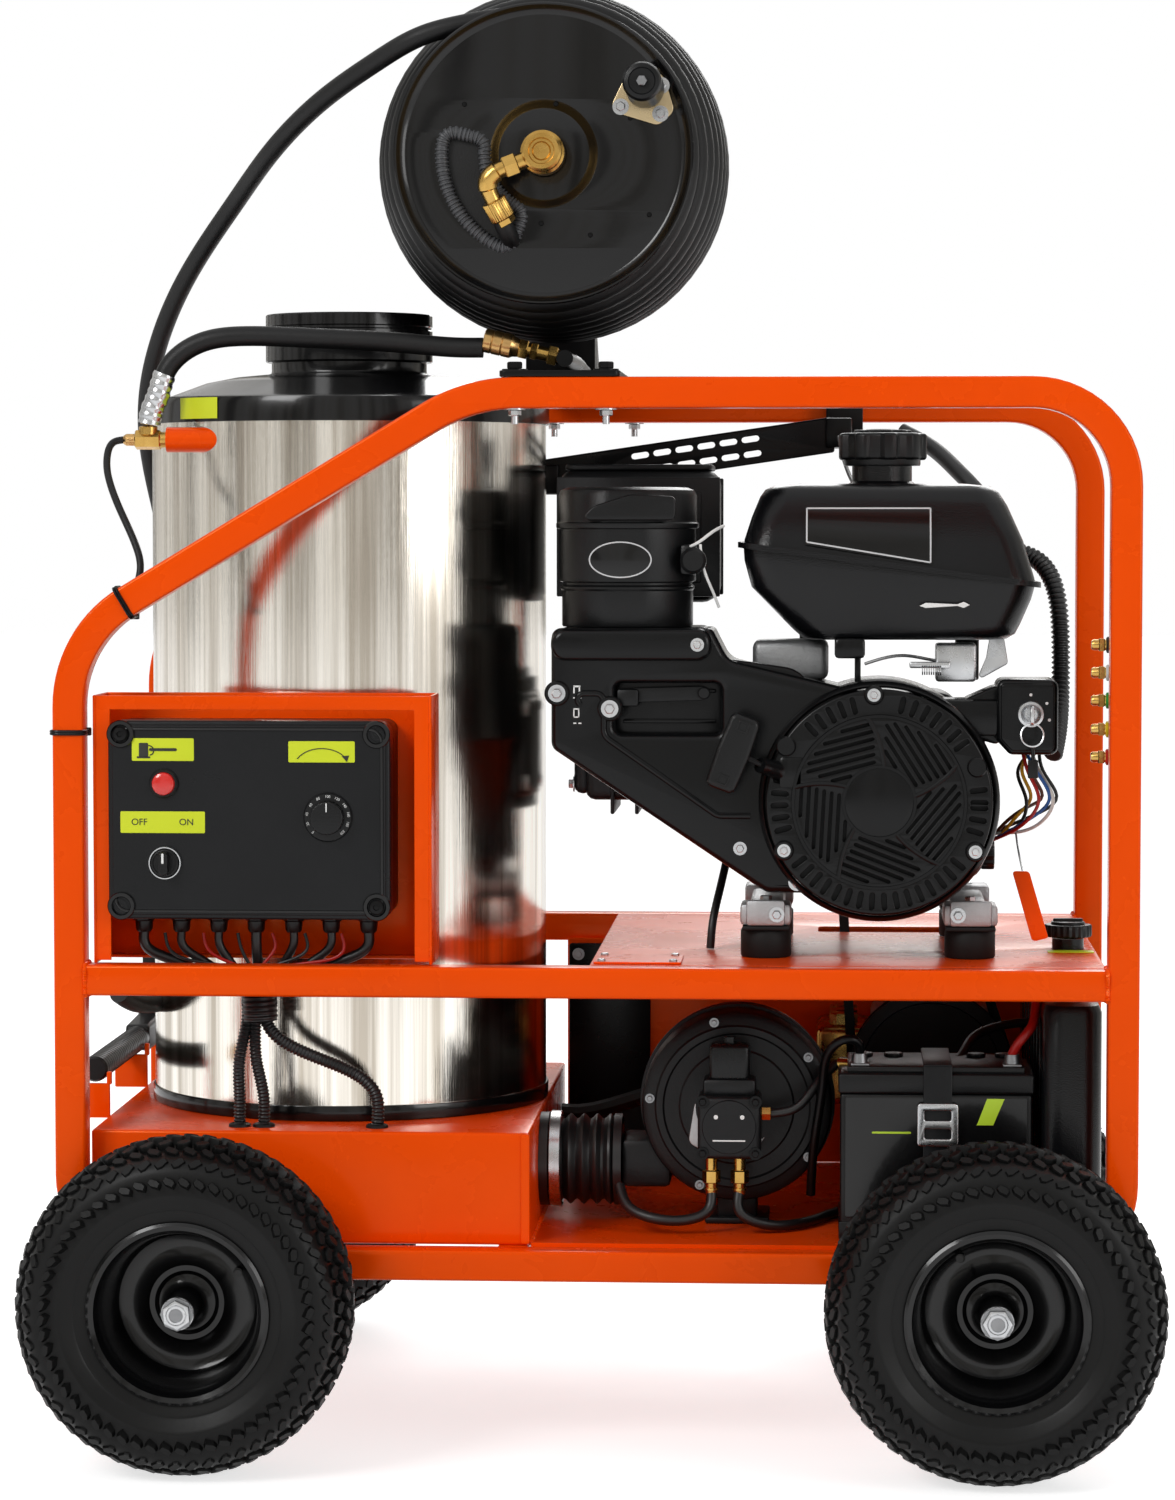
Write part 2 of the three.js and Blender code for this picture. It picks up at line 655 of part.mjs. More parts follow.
function controlLid() {
  const y = [controls.front, controls.seam - seat];
  const shaftSpan = [controls.front - overrun, y[1]];
  const hollow = prism("y", controlOutline(controls.wall), [y[0] + controls.wall, y[1] + overrun]);
  const bores = [selector, thermostat].map((knob) =>
    rod("y", around(knob.shaft), shaftSpan, [knob.x, 0, knob.z]),
  );
  const bezel = rod("y", lamp.radius, [y[0] - lamp.proud, y[0] + sink], [lamp.x, 0, lamp.z]);
  return join(cut(prism("y", controlOutline(0), y, { bevel: controls.wall }), hollow, bores), bezel);
}

// The heater selector: a round plate with a pointer bar across it.
function heatingSwitch() {
  const at = [selector.x, 0, selector.z];
  const face = controls.front - seat;
  const barZ = grown([selector.z, selector.z], selector.radius - sink);
  return join(
    rod("y", selector.radius, [face - selector.plate, face], at, 18),
    block(grown([selector.x, selector.x], selector.barHalf), [face - selector.grip, face - sink], barZ),
    rod("y", selector.shaft, [face - sink, controls.front + 2 * overrun], at, 12),
  );
}

function thermostatKnob() {
  const at = [thermostat.x, 0, thermostat.z];
  const face = controls.front - seat;
  return join(
    rod("y", thermostat.radius, [face - thermostat.plate, face], at, 18),
    rod("y", thermostat.knobRadius, [face - thermostat.grip, face - sink], at, 16),
    rod("y", thermostat.shaft, [face - sink, controls.front + 2 * overrun], at, 12),
  );
}

const loom = {
  radius: 6,
  sleeve: 24,
  sleeveHalf: 16,
  fromMiddle: 1.5,
  belowRail: 40,
  frameGap: 30,
  footOffsets: [-20, 4, 116],
};
loom.collectorX = middle([controls.left, controls.right]) + loom.fromMiddle;
loom.collectorZ = frame.midRailTop - loom.belowRail;
loom.y = frame.nearInner + loom.frameGap;
const loomFeet = loom.footOffsets.map((offset) => loom.collectorX + offset);

// Flexible conduits fan in from the glands to one sleeve, and out again to the base box.
function conduitLoom() {
  const top = controls.bottom - gland.length - seat;
  const straight = 2 * loom.radius;
  const sleeveTop = loom.collectorZ + loom.sleeveHalf;
  const sleeveBottom = loom.collectorZ - loom.sleeveHalf;
  const inlets = glandX.map((x, i) => {
    const share = i / (gland.count - 1) - 1 / 2;
    const end = loom.collectorX + share * loom.sleeve;
    return tube([
      [x, gland.y, top],
      [x, gland.y, top - straight],
      [end, loom.y, sleeveTop],
      [end, loom.y, loom.collectorZ],
    ], loom.radius, { sides: 5, steps: 3 });
  });
  const outlets = loomFeet.map((x, i) => {
    const start = loom.collectorX + (i - 1) * loom.radius;
    return tube([
      [start, loom.y, loom.collectorZ],
      [start, loom.y, sleeveBottom],
      [x, loom.y, base.top + 2 * straight],
      [x, loom.y, base.top + seat],
    ], loom.radius, { sides: 5, steps: 3 });
  });
  const sleeve = rod("z", loom.sleeve, [sleeveBottom, sleeveTop], [loom.collectorX, loom.y, 0], 10);
  return join(sleeve, inlets, outlets);
}

// Hose reel

const barrel = { radius: 55, wall: 5, hubDip: 14, hubRadius: 48, shaft: 15, shaftPast: 48 };
barrel.hubFloor = reel.near + barrel.hubDip;
barrel.shaftEnd = reel.far + barrel.shaftPast;
const disc = { wall: 4, dip: 8, hubEdge: 62, rimWidth: 12, rimDepth: 6 };
disc.face = reel.near + disc.dip;
disc.back = disc.face + disc.wall;
disc.rimStart = reel.discRadius - disc.rimWidth;
disc.rimBack = reel.near + disc.rimDepth;
const kidney = { inner: 58, outer: 102, from: 165, to: 252, steps: 6 };
const reelGrip = {
  right: 100,
  up: 62.5,
  radius: 19,
  pin: 5,
  reach: 70,
  plateRadius: 26,
  waist: 16,
  crown: 4,
  bead: 9,
};
reelGrip.x = reel.x + reelGrip.right;
reelGrip.z = reel.z + reelGrip.up;
reelGrip.end = reel.near - reelGrip.reach;

const onReel = (radius, degrees) => {
  const angle = THREE.MathUtils.degToRad(degrees);
  return [reel.x + radius * Math.cos(angle), reel.z + radius * Math.sin(angle)];
};

// The kidney-shaped hole that lets the hose through the near disc.
function kidneyOutline() {
  const at = (radius, share) => onReel(radius, kidney.from + share * (kidney.to - kidney.from));
  const shares = Array.from({ length: kidney.steps + 1 }, (_, i) => i / kidney.steps);
  return [...shares.map((s) => at(kidney.outer, s)), ...shares.reverse().map((s) => at(kidney.inner, s))];
}

// Barrel, both discs, the hollow shaft's stub, and the pin of the winding grip.
function reelDrum() {
  const innerFloor = barrel.hubFloor + barrel.wall;
  const innerRadius = barrel.radius - barrel.wall;
  const body = turned("y", [
    [0, barrel.hubFloor],
    [barrel.hubRadius, barrel.hubFloor],
    [disc.hubEdge, disc.face],
    [disc.rimStart, disc.face],
    [reel.discRadius, reel.near],
    [reel.discRadius, disc.rimBack],
    [disc.rimStart, disc.back],
    [barrel.radius, disc.back],
    [barrel.radius, reel.far - disc.wall],
    [reel.discRadius, reel.far - disc.wall],
    [reel.discRadius, reel.far],
    [innerRadius, reel.far],
    [innerRadius, innerFloor],
    [barrel.shaft, innerFloor],
    [barrel.shaft, barrel.shaftEnd],
    [0, barrel.shaftEnd],
  ], [reel.x, 0, reel.z], reel.steps);
  const at = [reelGrip.x, 0, reelGrip.z];
  const plateSpan = [disc.face - disc.wall, disc.face + sink];
  return join(
    cut(body, prism("y", kidneyOutline(), [reel.near - overrun, disc.back + overrun])),
    rod("y", reelGrip.plateRadius, plateSpan, at, 6),
    rod("y", reelGrip.pin, [reelGrip.end + overrun, disc.face], at, 12),
  );
}

function windingGrip() {
  const bore = around(reelGrip.pin);
  const start = disc.face - disc.wall - seat;
  const radius = reelGrip.radius;
  return turned("y", [
    [bore, start],
    [bore, reelGrip.end + overrun - seat],
    [0, reelGrip.end + overrun - seat],
    [0, reelGrip.end],
    [radius - reelGrip.crown, reelGrip.end],
    [radius, reelGrip.end + reelGrip.bead],
    [reelGrip.waist, middle([start, reelGrip.end])],
    [radius, start - reelGrip.bead],
    [radius, start],
  ], [reelGrip.x, 0, reelGrip.z], 14);
}

const hose = { radius: 10, sides: 8 };
const winding = {
  belowDisc: 10, // its centre line beside the discs lies this far inside their edge
  bulge: 30,
  bulgePower: 0.7,
  discGap: 14,
  farGap: 14,
  pitch: 21,
  leave: 95, // degrees round the hub where the hose leaves the reel
  stepsPerTurn: 14,
  sides: 6,
  coreGap: 5.5,
};
winding.endRadius = reel.discRadius - winding.belowDisc;
winding.near = disc.back + winding.discGap;
winding.far = reel.far - disc.wall - winding.farGap;
winding.turns = (winding.far - winding.near) / winding.pitch;

const windingRadius = (share) =>
  winding.endRadius + winding.bulge * Math.sin(Math.PI * share) ** winding.bulgePower;

// The centre line of the outer layer: one helix that swells in the middle and leaves at the top.
function windingPath() {
  const count = Math.round(winding.turns * winding.stepsPerTurn);
  const dip = hose.radius + winding.coreGap + sink;
  const points = Array.from({ length: count + 1 }, (_, i) => {
    const share = i / count;
    const degrees = winding.leave - 360 * winding.turns * (1 - share);
    const radius = windingRadius(share) - dip * Math.max(0, 1 - (i * 4) / winding.stepsPerTurn);
    const [x, z] = onReel(radius, degrees);
    return { at: vector([x, winding.far + share * (winding.near - winding.far), z]), degrees };
  });
  const last = points.at(-1);
  const turn = THREE.MathUtils.degToRad(last.degrees);
  const onwards = vector([-Math.sin(turn), 0, Math.cos(turn)]).multiplyScalar(2 * hose.radius);
  return [...points, { at: last.at.clone().add(onwards), degrees: last.degrees }];
}

// The least distance between the surfaces of neighbouring turns, measured on their centre lines.
function windingGap(path) {
  const turn = winding.stepsPerTurn;
  let least = Infinity;
  path.forEach(({ at }, i) => {
    path.slice(i + turn / 2).forEach((other) => {
      least = Math.min(least, at.distanceTo(other.at) - 2 * hose.radius);
    });
  });
  return least;
}

// One unbroken tube of rings, joined to a plain core that stands for the layers below it.
function hoseWinding() {
  const path = windingPath();
  console.log("least gap between turns: " + windingGap(path).toFixed(2) + " mm");
  const positions = path.flatMap(({ at, degrees }) =>
    Array.from({ length: winding.sides }, (_, k) => {
      const angle = (2 * Math.PI * k) / winding.sides;
      const [ux, uz] = onReel(1, degrees);
      const out = hose.radius * Math.cos(angle);
      return [at.x + out * (ux - reel.x), at.y + hose.radius * Math.sin(angle), at.z + out * (uz - reel.z)];
    }),
  );
  const corners = [];
  const rings = path.length;
  const n = winding.sides;
  for (let i = 0; i < rings - 1; i++)
    for (let k = 0; k < n; k++) {
      const next = (k + 1) % n;
      corners.push(i * n + k, i * n + next, (i + 1) * n + next);
      corners.push(i * n + k, (i + 1) * n + next, (i + 1) * n + k);
    }
  for (let k = 1; k < n - 1; k++) {
    corners.push(0, k + 1, k);
    corners.push((rings - 1) * n, (rings - 1) * n + k, (rings - 1) * n + k + 1);
  }
  const geometry = new THREE.BufferGeometry();
  geometry.setAttribute("position", new THREE.Float32BufferAttribute(positions.flat(), 3));
  geometry.setIndex(corners);
  return join(windingCore(), solidOf(geometry));
}

function windingCore() {
  const coreSteps = 4;
  const drop = hose.radius + winding.coreGap;
  const outside = Array.from({ length: coreSteps + 1 }, (_, i) => {
    const share = 1 - i / coreSteps;
    return [windingRadius(share) - drop, winding.far + share * (winding.near - winding.far)];
  });
  const inner = barrel.radius + seat;
  const near = disc.back + 2 * seat;
  const far = reel.far - disc.wall - 2 * seat;
  return turned("y", [
    [inner, near],
    [outside[0][0], near],
    ...outside,
    [outside.at(-1)[0], far],
    [inner, far],
  ], [reel.x, 0, reel.z], reel.steps);
}

const elbow = {
  hubRadius: 22,
  hubLength: 40,
  armRadius: 9,
  tipRadius: 11,
  bend: [56, 22.5],
  tip: [41, 58.5],
  rise: 24,
  tipRise: 8,
};
elbow.y = reel.near - elbow.rise;
elbow.tipY = reel.near - elbow.tipRise;

// Brass elbow that turns with the drum and carries water from the hub into the kidney hole.
function reelElbow() {
  const hubY = [barrel.hubFloor - seat - elbow.hubLength - overrun, barrel.hubFloor - seat];
  const bend = [reel.x - elbow.bend[0], elbow.y, reel.z - elbow.bend[1]];
  const tip = [reel.x - elbow.tip[0], elbow.tipY, reel.z - elbow.tip[1]];
  return join(
    rod("y", elbow.hubRadius, hubY, [reel.x, 0, reel.z], 16),
    bar([reel.x, elbow.y, reel.z], bend, elbow.armRadius),
    bar(bend, tip, elbow.tipRadius, 10),
  );
}

const stand = {
  toLeft: 35,
  toRight: 81,
  plate: 6,
  armLeft: 43,
  armRight: 31,
  armGap: 8,
  armWall: 10,
  bossRadius: 30,
  bossGap: 3,
  bossLength: 27,
  footHeight: 84,
  pipeGap: 11,
};
stand.armX = [reel.x - stand.armLeft, reel.x + stand.armRight];
stand.armY = [reel.far + stand.armGap, reel.far + stand.armGap + stand.armWall];
stand.bossY = [reel.far + stand.bossGap, reel.far + stand.bossGap + stand.bossLength];
stand.top = frame.top + seat + stand.plate;
const supplyPipe = {
  radius: 7,
  backRadius: 9,
  right: 19,
  rise: 16.7,
  behindDisc: 42,
  pastShaft: 18,
  capRadius: 22,
  capLength: 30,
};
supplyPipe.x = reel.x + supplyPipe.right;
supplyPipe.z = stand.top + supplyPipe.rise;
supplyPipe.y = reel.near + supplyPipe.behindDisc;
supplyPipe.riseY = barrel.shaftEnd + supplyPipe.pastShaft;

// Base plate across both top rails, with one arm at the back that carries the shaft.
function reelStand() {
  const plateTop = stand.top;
  const plateX = [reel.x - stand.toLeft, reel.x + stand.toRight];
  const plate = block(plateX, [frame.near, -frame.near], [frame.top + seat, plateTop]);
  const arm = block(stand.armX, stand.armY, [plateTop - sink, reel.z]);
  const at = [reel.x, 0, reel.z];
  const boss = rod("y", stand.bossRadius, stand.bossY, at, 16);
  const armHalf = (stand.armX[1] - stand.armX[0]) / 2;
  const shoulder = rod("y", armHalf, stand.armY, [middle(stand.armX), 0, reel.z], 16);
  const foot = prism("x", [
    [stand.armY[1] - sink, plateTop - sink],
    [-frame.near - frame.tube, plateTop - sink],
    [stand.armY[1] - sink, plateTop + stand.footHeight],
  ], [stand.armX[0], stand.armX[0] + stand.plate]);
  const bore = rod("y", around(barrel.shaft), grown(stand.bossY, overrun), at);
  const gap = block(
    grown([supplyPipe.x, supplyPipe.x], stand.pipeGap),
    grown(stand.armY, overrun),
    grown([supplyPipe.z, supplyPipe.z], stand.pipeGap),
  );
  return cut(join(plate, arm, boss, shoulder, foot), bore, gap);
}

const ferrule = { radius: 12, length: 36 };

// The fixed end of the swivel: a pipe from the supply hose, under the drum and up to the shaft.
function reelSwivel() {
  const elbowPoint = [supplyPipe.x, supplyPipe.y, supplyPipe.z];
  const hoseEnd = supplyHosePoints.at(-1);
  const ferruleEnd = [hoseEnd[0] + ferrule.length, hoseEnd[1], hoseEnd[2] - seat];
  const ferruleStart = [hoseEnd[0] + seat, hoseEnd[1], hoseEnd[2]];
  const capStart = barrel.shaftEnd + seat;
  const riseY = [supplyPipe.y - supplyPipe.radius, supplyPipe.riseY + supplyPipe.radius];
  return join(
    bar(ferruleStart, ferruleEnd, ferrule.radius, 12),
    bar(ferruleEnd, elbowPoint, supplyPipe.radius),
    rod("y", supplyPipe.backRadius, riseY, elbowPoint, 12),
    bar([supplyPipe.x, supplyPipe.riseY, supplyPipe.z], [reel.x, supplyPipe.riseY, reel.z], supplyPipe.radius),
    rod("y", supplyPipe.capRadius, [capStart, capStart + supplyPipe.capLength], [reel.x, 0, reel.z]),
  );
}

// The hose that brings hot water from the boiler to the reel, chosen point by point.
const supplyHosePoints = [
  [-452, -156, 1008],
  [-449, -156, 1022],
  [-443, -156, 1036],
  [-434, -156, 1061],
  [-417, -155, 1079.5],
  [-392, -155, 1091],
  [-359, -154, 1095],
  [-310, -153, 1094],
  [-254, -152, 1091.5],
  [-193, -151, 1087.5],
  [-142, -150, 1083.4],
  [-118, -150, 1083.2],
];

// The free hose from the reel down to the spray gun, chosen point by point.
const freeHosePoints = [
  [-87.4, -166, 1407.2],
  [-107, -166, 1405.2],
  [-131.7, -166.5, 1401],
  [-173, -165.5, 1391],
  [-221, -142, 1369.5],
  [-286, -92, 1333.5],
  [-343.5, -35, 1289],
  [-389, 25, 1243.5],
  [-435, 75, 1191],
  [-472, 120, 1139],
  [-498, 160, 1086],
  [-511, 190, 1041],
  [-514, 212, 997],
  [-509, 228, 952],
  [-500, 236, 905],
  [-493, 239, 850],
  [-491, 240, 780],
  [-495, 240, 700],
  [-502, 239, 625],
  [-508, 239, 560],
  [-510, 239, 515],
  [-510, 239, 490.6],
];

// Spray gun, stowed upside down along the left end

const guard = { fromHandle: 44, wall: 6, belowHandle: 22 };
guard.y = gunBody.handleY[0] - guard.fromHandle;
guard.top = gunBody.handleTop - guard.belowHandle;
const trigger = {
  fromHandle: 10,
  width: 14,
  belowGuard: 20,
  half: 6,
  pin: 4,
  earRise: 23,
  pivotRise: 14,
};
trigger.y = [gunBody.handleY[0] - trigger.fromHandle - trigger.width, gunBody.handleY[0] - trigger.fromHandle];
trigger.top = guard.top - trigger.belowGuard;
trigger.earTop = gunBody.top + trigger.earRise;
trigger.pivotZ = gunBody.top + trigger.pivotRise;

function sprayGun() {
  const x = grown([gun.x, gun.x], gunBody.half);
  const at = [gun.x, 0, gun.z];
  const lanceStart = gunTip.y + gunTip.length;
  const earY = [guard.y, gunBody.handleY[0] + sink];
  const slot = block(
    grown([gun.x, gun.x], trigger.half + seat),
    [guard.y + guard.wall, gunBody.handleY[0]],
    [gunBody.top, trigger.earTop + overrun],
  );
  const pinAt = [0, middle(trigger.y), trigger.pivotZ];
  const pinHole = rod("x", around(trigger.pin, 12), grown(x, overrun), pinAt, 12);
  return join(
    cut(block(x, earY, [gunBody.top - sink, trigger.earTop]), slot, pinHole),
    block(x, [gunBody.front, gun.far], [gunBody.bottom, gunBody.top]),
    block(x, gunBody.handleY, [gunBody.top - sink, gunBody.handleTop]),
    rod("y", gun.lanceRadius, [lanceStart, gunBody.front + sink], at, 12),
    rod("y", gunTip.radius, [gunTip.y, lanceStart + sink], at, 12),
    block(x, [guard.y, guard.y + guard.wall], [gunBody.top - sink, guard.top]),
    block(x, [guard.y, gunBody.handleY[0] + sink], [guard.top - guard.wall, guard.top]),
  );
}

// The trigger hangs on a pin between two ears and swings towards the handle.
function gunTrigger() {
  const x = grown([gun.x, gun.x], trigger.half);
  const pinX = grown([gun.x, gun.x], gunBody.half - sink);
  return join(
    rod("x", trigger.pin, pinX, [0, middle(trigger.y), trigger.pivotZ], 12),
    block(x, trigger.y, [trigger.pivotZ - trigger.pin, trigger.top]),
  );
}

// Engine

const cowl = { length: 322, below: 91, above: 169, dip: 10, depth: 153, round: 14, bevel: 10, wall: 4 };
cowl.left = engine.fanX - cowl.length;
cowl.bottom = engine.fanZ - cowl.below;
cowl.top = engine.fanZ + cowl.above;
cowl.front = engine.front + cowl.dip;
cowl.back = cowl.front + cowl.depth;
const cowlShares = [[0, 0.546], [0.66, 0], [1, 0], [1, 0.746], [0.54, 0.88], [0.49, 1], [0, 1]];
const drum = { wall: 13, inner: 104, mouth: 96 };
const leverRecess = { fromLeft: 64, fromTop: 53, width: 104, height: 51, depth: 24 };
leverRecess.x = [cowl.left + leverRecess.fromLeft, cowl.left + leverRecess.fromLeft + leverRecess.width];
leverRecess.z = [cowl.top - leverRecess.fromTop - leverRecess.height, cowl.top - leverRecess.fromTop];
const lever = { fromRight: 18, fromTop: 11, reach: 84, half: 6, depth: 5, pin: 4, pinDepth: 12 };
lever.pivotX = leverRecess.x[1] - lever.fromRight;
lever.pivotZ = leverRecess.z[1] - lever.fromTop;
const keyBox = {
  right: 115,
  up: 45,
  width: 60,
  height: 74,
  dip: 25,
  depth: 80,
  keyAcross: 33,
  keyUp: 40,
  lockRadius: 11,
  lockDepth: 8,
};
keyBox.x = [engine.fanX + keyBox.right, engine.fanX + keyBox.right + keyBox.width];
keyBox.y = [engine.front + keyBox.dip, engine.front + keyBox.dip + keyBox.depth];
keyBox.z = [engine.fanZ + keyBox.up, engine.fanZ + keyBox.up + keyBox.height];
keyBox.keyX = keyBox.x[0] + keyBox.keyAcross;
keyBox.keyZ = keyBox.z[0] + keyBox.keyUp;
const keyArm = { right: 24, inside: 12 };

// The cowl is open at the back, towards the cylinder. A pocket in it holds the speed lever.
function cowlCover() {
  const outline = placed(cowlShares, [cowl.left, engine.fanX], [cowl.bottom, cowl.top]);
  const outside = prism("y", rounded(outline, cowl.round, 2), [cowl.front, cowl.back], { bevel: cowl.bevel });
  const inside = inset(outline, cowl.bevel + cowl.wall);
  const hollow = prism("y", inside, [cowl.front + cowl.wall, cowl.back + overrun]);
  const pocketEnd = cowl.front + leverRecess.depth + lever.pinDepth + cowl.wall;
  const pocket = block(
    grown(leverRecess.x, cowl.wall), [cowl.front + sink, pocketEnd], grown(leverRecess.z, cowl.wall),
  );
  return join(cut(outside, hollow), pocket);
}

// Cowl over the cylinder, drum round the flywheel, and the arm that carries the key box.
function fanShroud() {
  const fan = [engine.fanX, 0, engine.fanZ];
  const drumBody = rod("y", engine.fanRadius, [engine.front, drum.back], fan, 24);
  const hollow = rod("y", drum.inner, [engine.front + drum.wall, drum.back + overrun], fan, 16);
  const mouth = rod("y", drum.mouth, grown([engine.front, drum.back], overrun), fan, 16);
  const recess = block(leverRecess.x, [cowl.front - overrun, cowl.front + leverRecess.depth], leverRecess.z);
  const pinY = [cowl.front, cowl.front + leverRecess.depth + lever.pinDepth + 2 * seat];
  const pinHole = rod("y", around(lever.pin), pinY, [lever.pivotX, 0, lever.pivotZ], 12);
  const armX = [engine.fanX + keyArm.right, keyBox.x[0] - seat];
  const arm = block(armX, grown(keyBox.y, -keyArm.inside), grown(keyBox.z, -keyArm.inside));
  return cut(join(cowlCover(), drumBody, arm), hollow, mouth, recess, pinHole);
}

const recoil = { radius: 112, rise: 13, rimRise: 3, flatRadius: 56, bendRadius: 101, bendRise: 4 };
const starter = {
  left: 142,
  up: 49,
  tilt: 21, // degrees the grip leans to the right
  width: 33,
  height: 76,
  rise: 15,
  depth: 24,
  round: 5.5,
  bevel: 3.3,
  guideRadius: 6.5,
  guideLeft: 100,
  guideUp: 31,
  bossRadius: 11,
};
starter.x = engine.fanX - starter.left;
starter.z = engine.fanZ + starter.up;
starter.y = [engine.front - starter.rise - starter.depth, engine.front - starter.rise];
starter.guideEnd = [engine.fanX - starter.guideLeft, engine.fanZ + starter.guideUp];

const starterWay = () => {
  const tilt = THREE.MathUtils.degToRad(starter.tilt);
  return [Math.cos(tilt), -Math.sin(tilt)];
};

// Domed cover over the recoil spring, with the guide that leads the rope to the grip.
function recoilCover() {
  const back = engine.front - seat;
  const face = back - recoil.rise;
  const dome = turned("y", [
    [0, face],
    [recoil.flatRadius, face],
    [recoil.bendRadius, face + recoil.bendRise],
    [recoil.radius, back - recoil.rimRise],
    [recoil.radius, back],
    [0, back],
  ], [engine.fanX, 0, engine.fanZ], 24);
  const [wayX, wayZ] = starterWay();
  const half = starter.width / 2 + 3 * seat;
  const y = middle(starter.y);
  const from = [starter.x + half * wayX, y, starter.z + half * wayZ];
  const end = [starter.guideEnd[0], y, starter.guideEnd[1]];
  return join(
    dome,
    bar(from, end, starter.guideRadius),
    rod("y", starter.bossRadius, [y - starter.guideRadius, back - recoil.rimRise], end, 16),
  );
}

// The pull grip, a rounded bar set across the end of the starter rope.
function starterGrip() {
  const outline = rounded(rectangle(
    grown([0, 0], starter.width / 2), grown([0, 0], starter.height / 2),
  ), starter.round, 2);
  const [wayX, wayZ] = starterWay();
  const leaning = outline.map(([a, b]) => [starter.x + a * wayX - b * wayZ, starter.z + a * wayZ + b * wayX]);
  return prism("y", leaning, starter.y, { bevel: starter.bevel });
}

const casting = {
  toLeft: 116,
  toRight: 109,
  above: 101,
  below: 92,
  front: -59,
  cylinderLength: 182,
  cylinderBelow: 25,
  cylinderAbove: 111,
  cylinderY: [-52, 70],
  fins: 6,
  finWall: 5,
  finRise: 14,
};
casting.x = [engine.fanX - casting.toLeft, engine.fanX + casting.toRight];
casting.bottom = engine.fanZ - casting.below;
casting.top = engine.fanZ + casting.above;
casting.cylinderX = [casting.x[0] - casting.cylinderLength, casting.x[0] + overrun];
casting.cylinderZ = [engine.fanZ - casting.cylinderBelow, engine.fanZ + casting.cylinderAbove];
drum.back = casting.front - seat;
const foot = { leftFrom: 136, leftTo: 86, rightFrom: 64, rightTo: 117, dip: 25, wall: 22, legRise: 20 };
foot.leftX = [engine.fanX - foot.leftFrom, engine.fanX - foot.leftTo];
foot.rightX = [engine.fanX + foot.rightFrom, engine.fanX + foot.rightTo];
foot.front = engine.front + foot.dip;
foot.top = engine.mountTop + foot.wall;
const tankPosts = { fromFan: 80, width: 24, y: [-4, 22] };
const fuelTank = {
  toLeft: 133,
  toRight: 152,
  y: [-205, 28],
  rise: 55,
  height: 155,
  round: 22,
  bevel: 19.8,
  neckRight: 3,
  neckY: -92,
  neckRadius: 30,
  neckRise: 18,
};
fuelTank.x = [engine.fanX - fuelTank.toLeft, engine.fanX + fuelTank.toRight];
fuelTank.z = [casting.top + fuelTank.rise, casting.top + fuelTank.rise + fuelTank.height];
fuelTank.neckX = engine.fanX + fuelTank.neckRight;
fuelTank.neckTop = fuelTank.z[1] + fuelTank.neckRise;

// Crankcase and finned cylinder in one casting, with feet and two posts for the fuel tank.
function crankcase() {
  const body = block(casting.x, [casting.front, engine.back], [casting.bottom, casting.top]);
  const cylinder = block(casting.cylinderX, casting.cylinderY, casting.cylinderZ);
  const finSpan = casting.cylinderX[1] - casting.cylinderX[0] - casting.finWall;
  const fins = Array.from({ length: casting.fins }, (_, i) => {
    const left = casting.cylinderX[0] + (finSpan * i) / casting.fins;
    const y = [casting.front, casting.cylinderY[1] + overrun];
    return block([left, left + casting.finWall], y, grown(casting.cylinderZ, casting.finRise));
  });
  const feet = [foot.leftX, foot.rightX].flatMap((x) => [
    block(x, [foot.front, engine.back - overrun], [engine.mountTop + seat, foot.top]),
    block(x, [casting.front, engine.back - overrun], [foot.top - sink, casting.bottom + foot.legRise]),
  ]);
  const posts = [-tankPosts.fromFan, tankPosts.fromFan].map((from) => {
    const x = [engine.fanX + from, engine.fanX + from + tankPosts.width];
    return block(x, tankPosts.y, [casting.top - sink, fuelTank.z[0] - seat]);
  });
  const shaftAt = [engine.fanX, 0, engine.fanZ];
  const bore = rod("y", around(shaft.radius), grown([casting.front, engine.back], overrun), shaftAt);
  return cut(join(body, cylinder, fins, feet, posts), bore);
}

const flywheel = { radius: 94, dip: 27, wall: 30, step: 40 };
flywheel.y = [engine.front + flywheel.dip, engine.front + flywheel.dip + flywheel.wall];

const pulleyProfile = (radius, bore) => {
  const [near, far] = [belt.y[0] - pulley.wall - seat, belt.y[1] + pulley.wall + seat];
  return [
    [bore, near],
    [radius + pulley.flange, near],
    [radius + pulley.flange, near + pulley.wall],
    [radius, near + pulley.wall],
    [radius, far - pulley.wall],
    [radius + pulley.flange, far - pulley.wall],
    [radius + pulley.flange, far],
    [bore, far],
  ];
};

// Flywheel, crankshaft and drive pulley turn as one piece.
function crankshaft() {
  const fan = [engine.fanX, 0, engine.fanZ];
  return join(
    rod("y", flywheel.radius, flywheel.y, fan, 16),
    rod("y", flywheel.step, [flywheel.y[0] - overrun, flywheel.y[1] + overrun], fan, 8),
    rod("y", shaft.radius, [engine.front + shaft.dip, belt.y[1] + shaft.pastBelt], fan, 12),
    turned("y", pulleyProfile(pulley.crankRadius, shaft.radius - sink), fan, 16),
  );
}

function pumpPulley() {
  const profile = pulleyProfile(pulley.pumpRadius, around(pump.shaft, 16));
  return turned("y", profile, [pulley.pumpX, 0, pulley.pumpZ], 16);
}

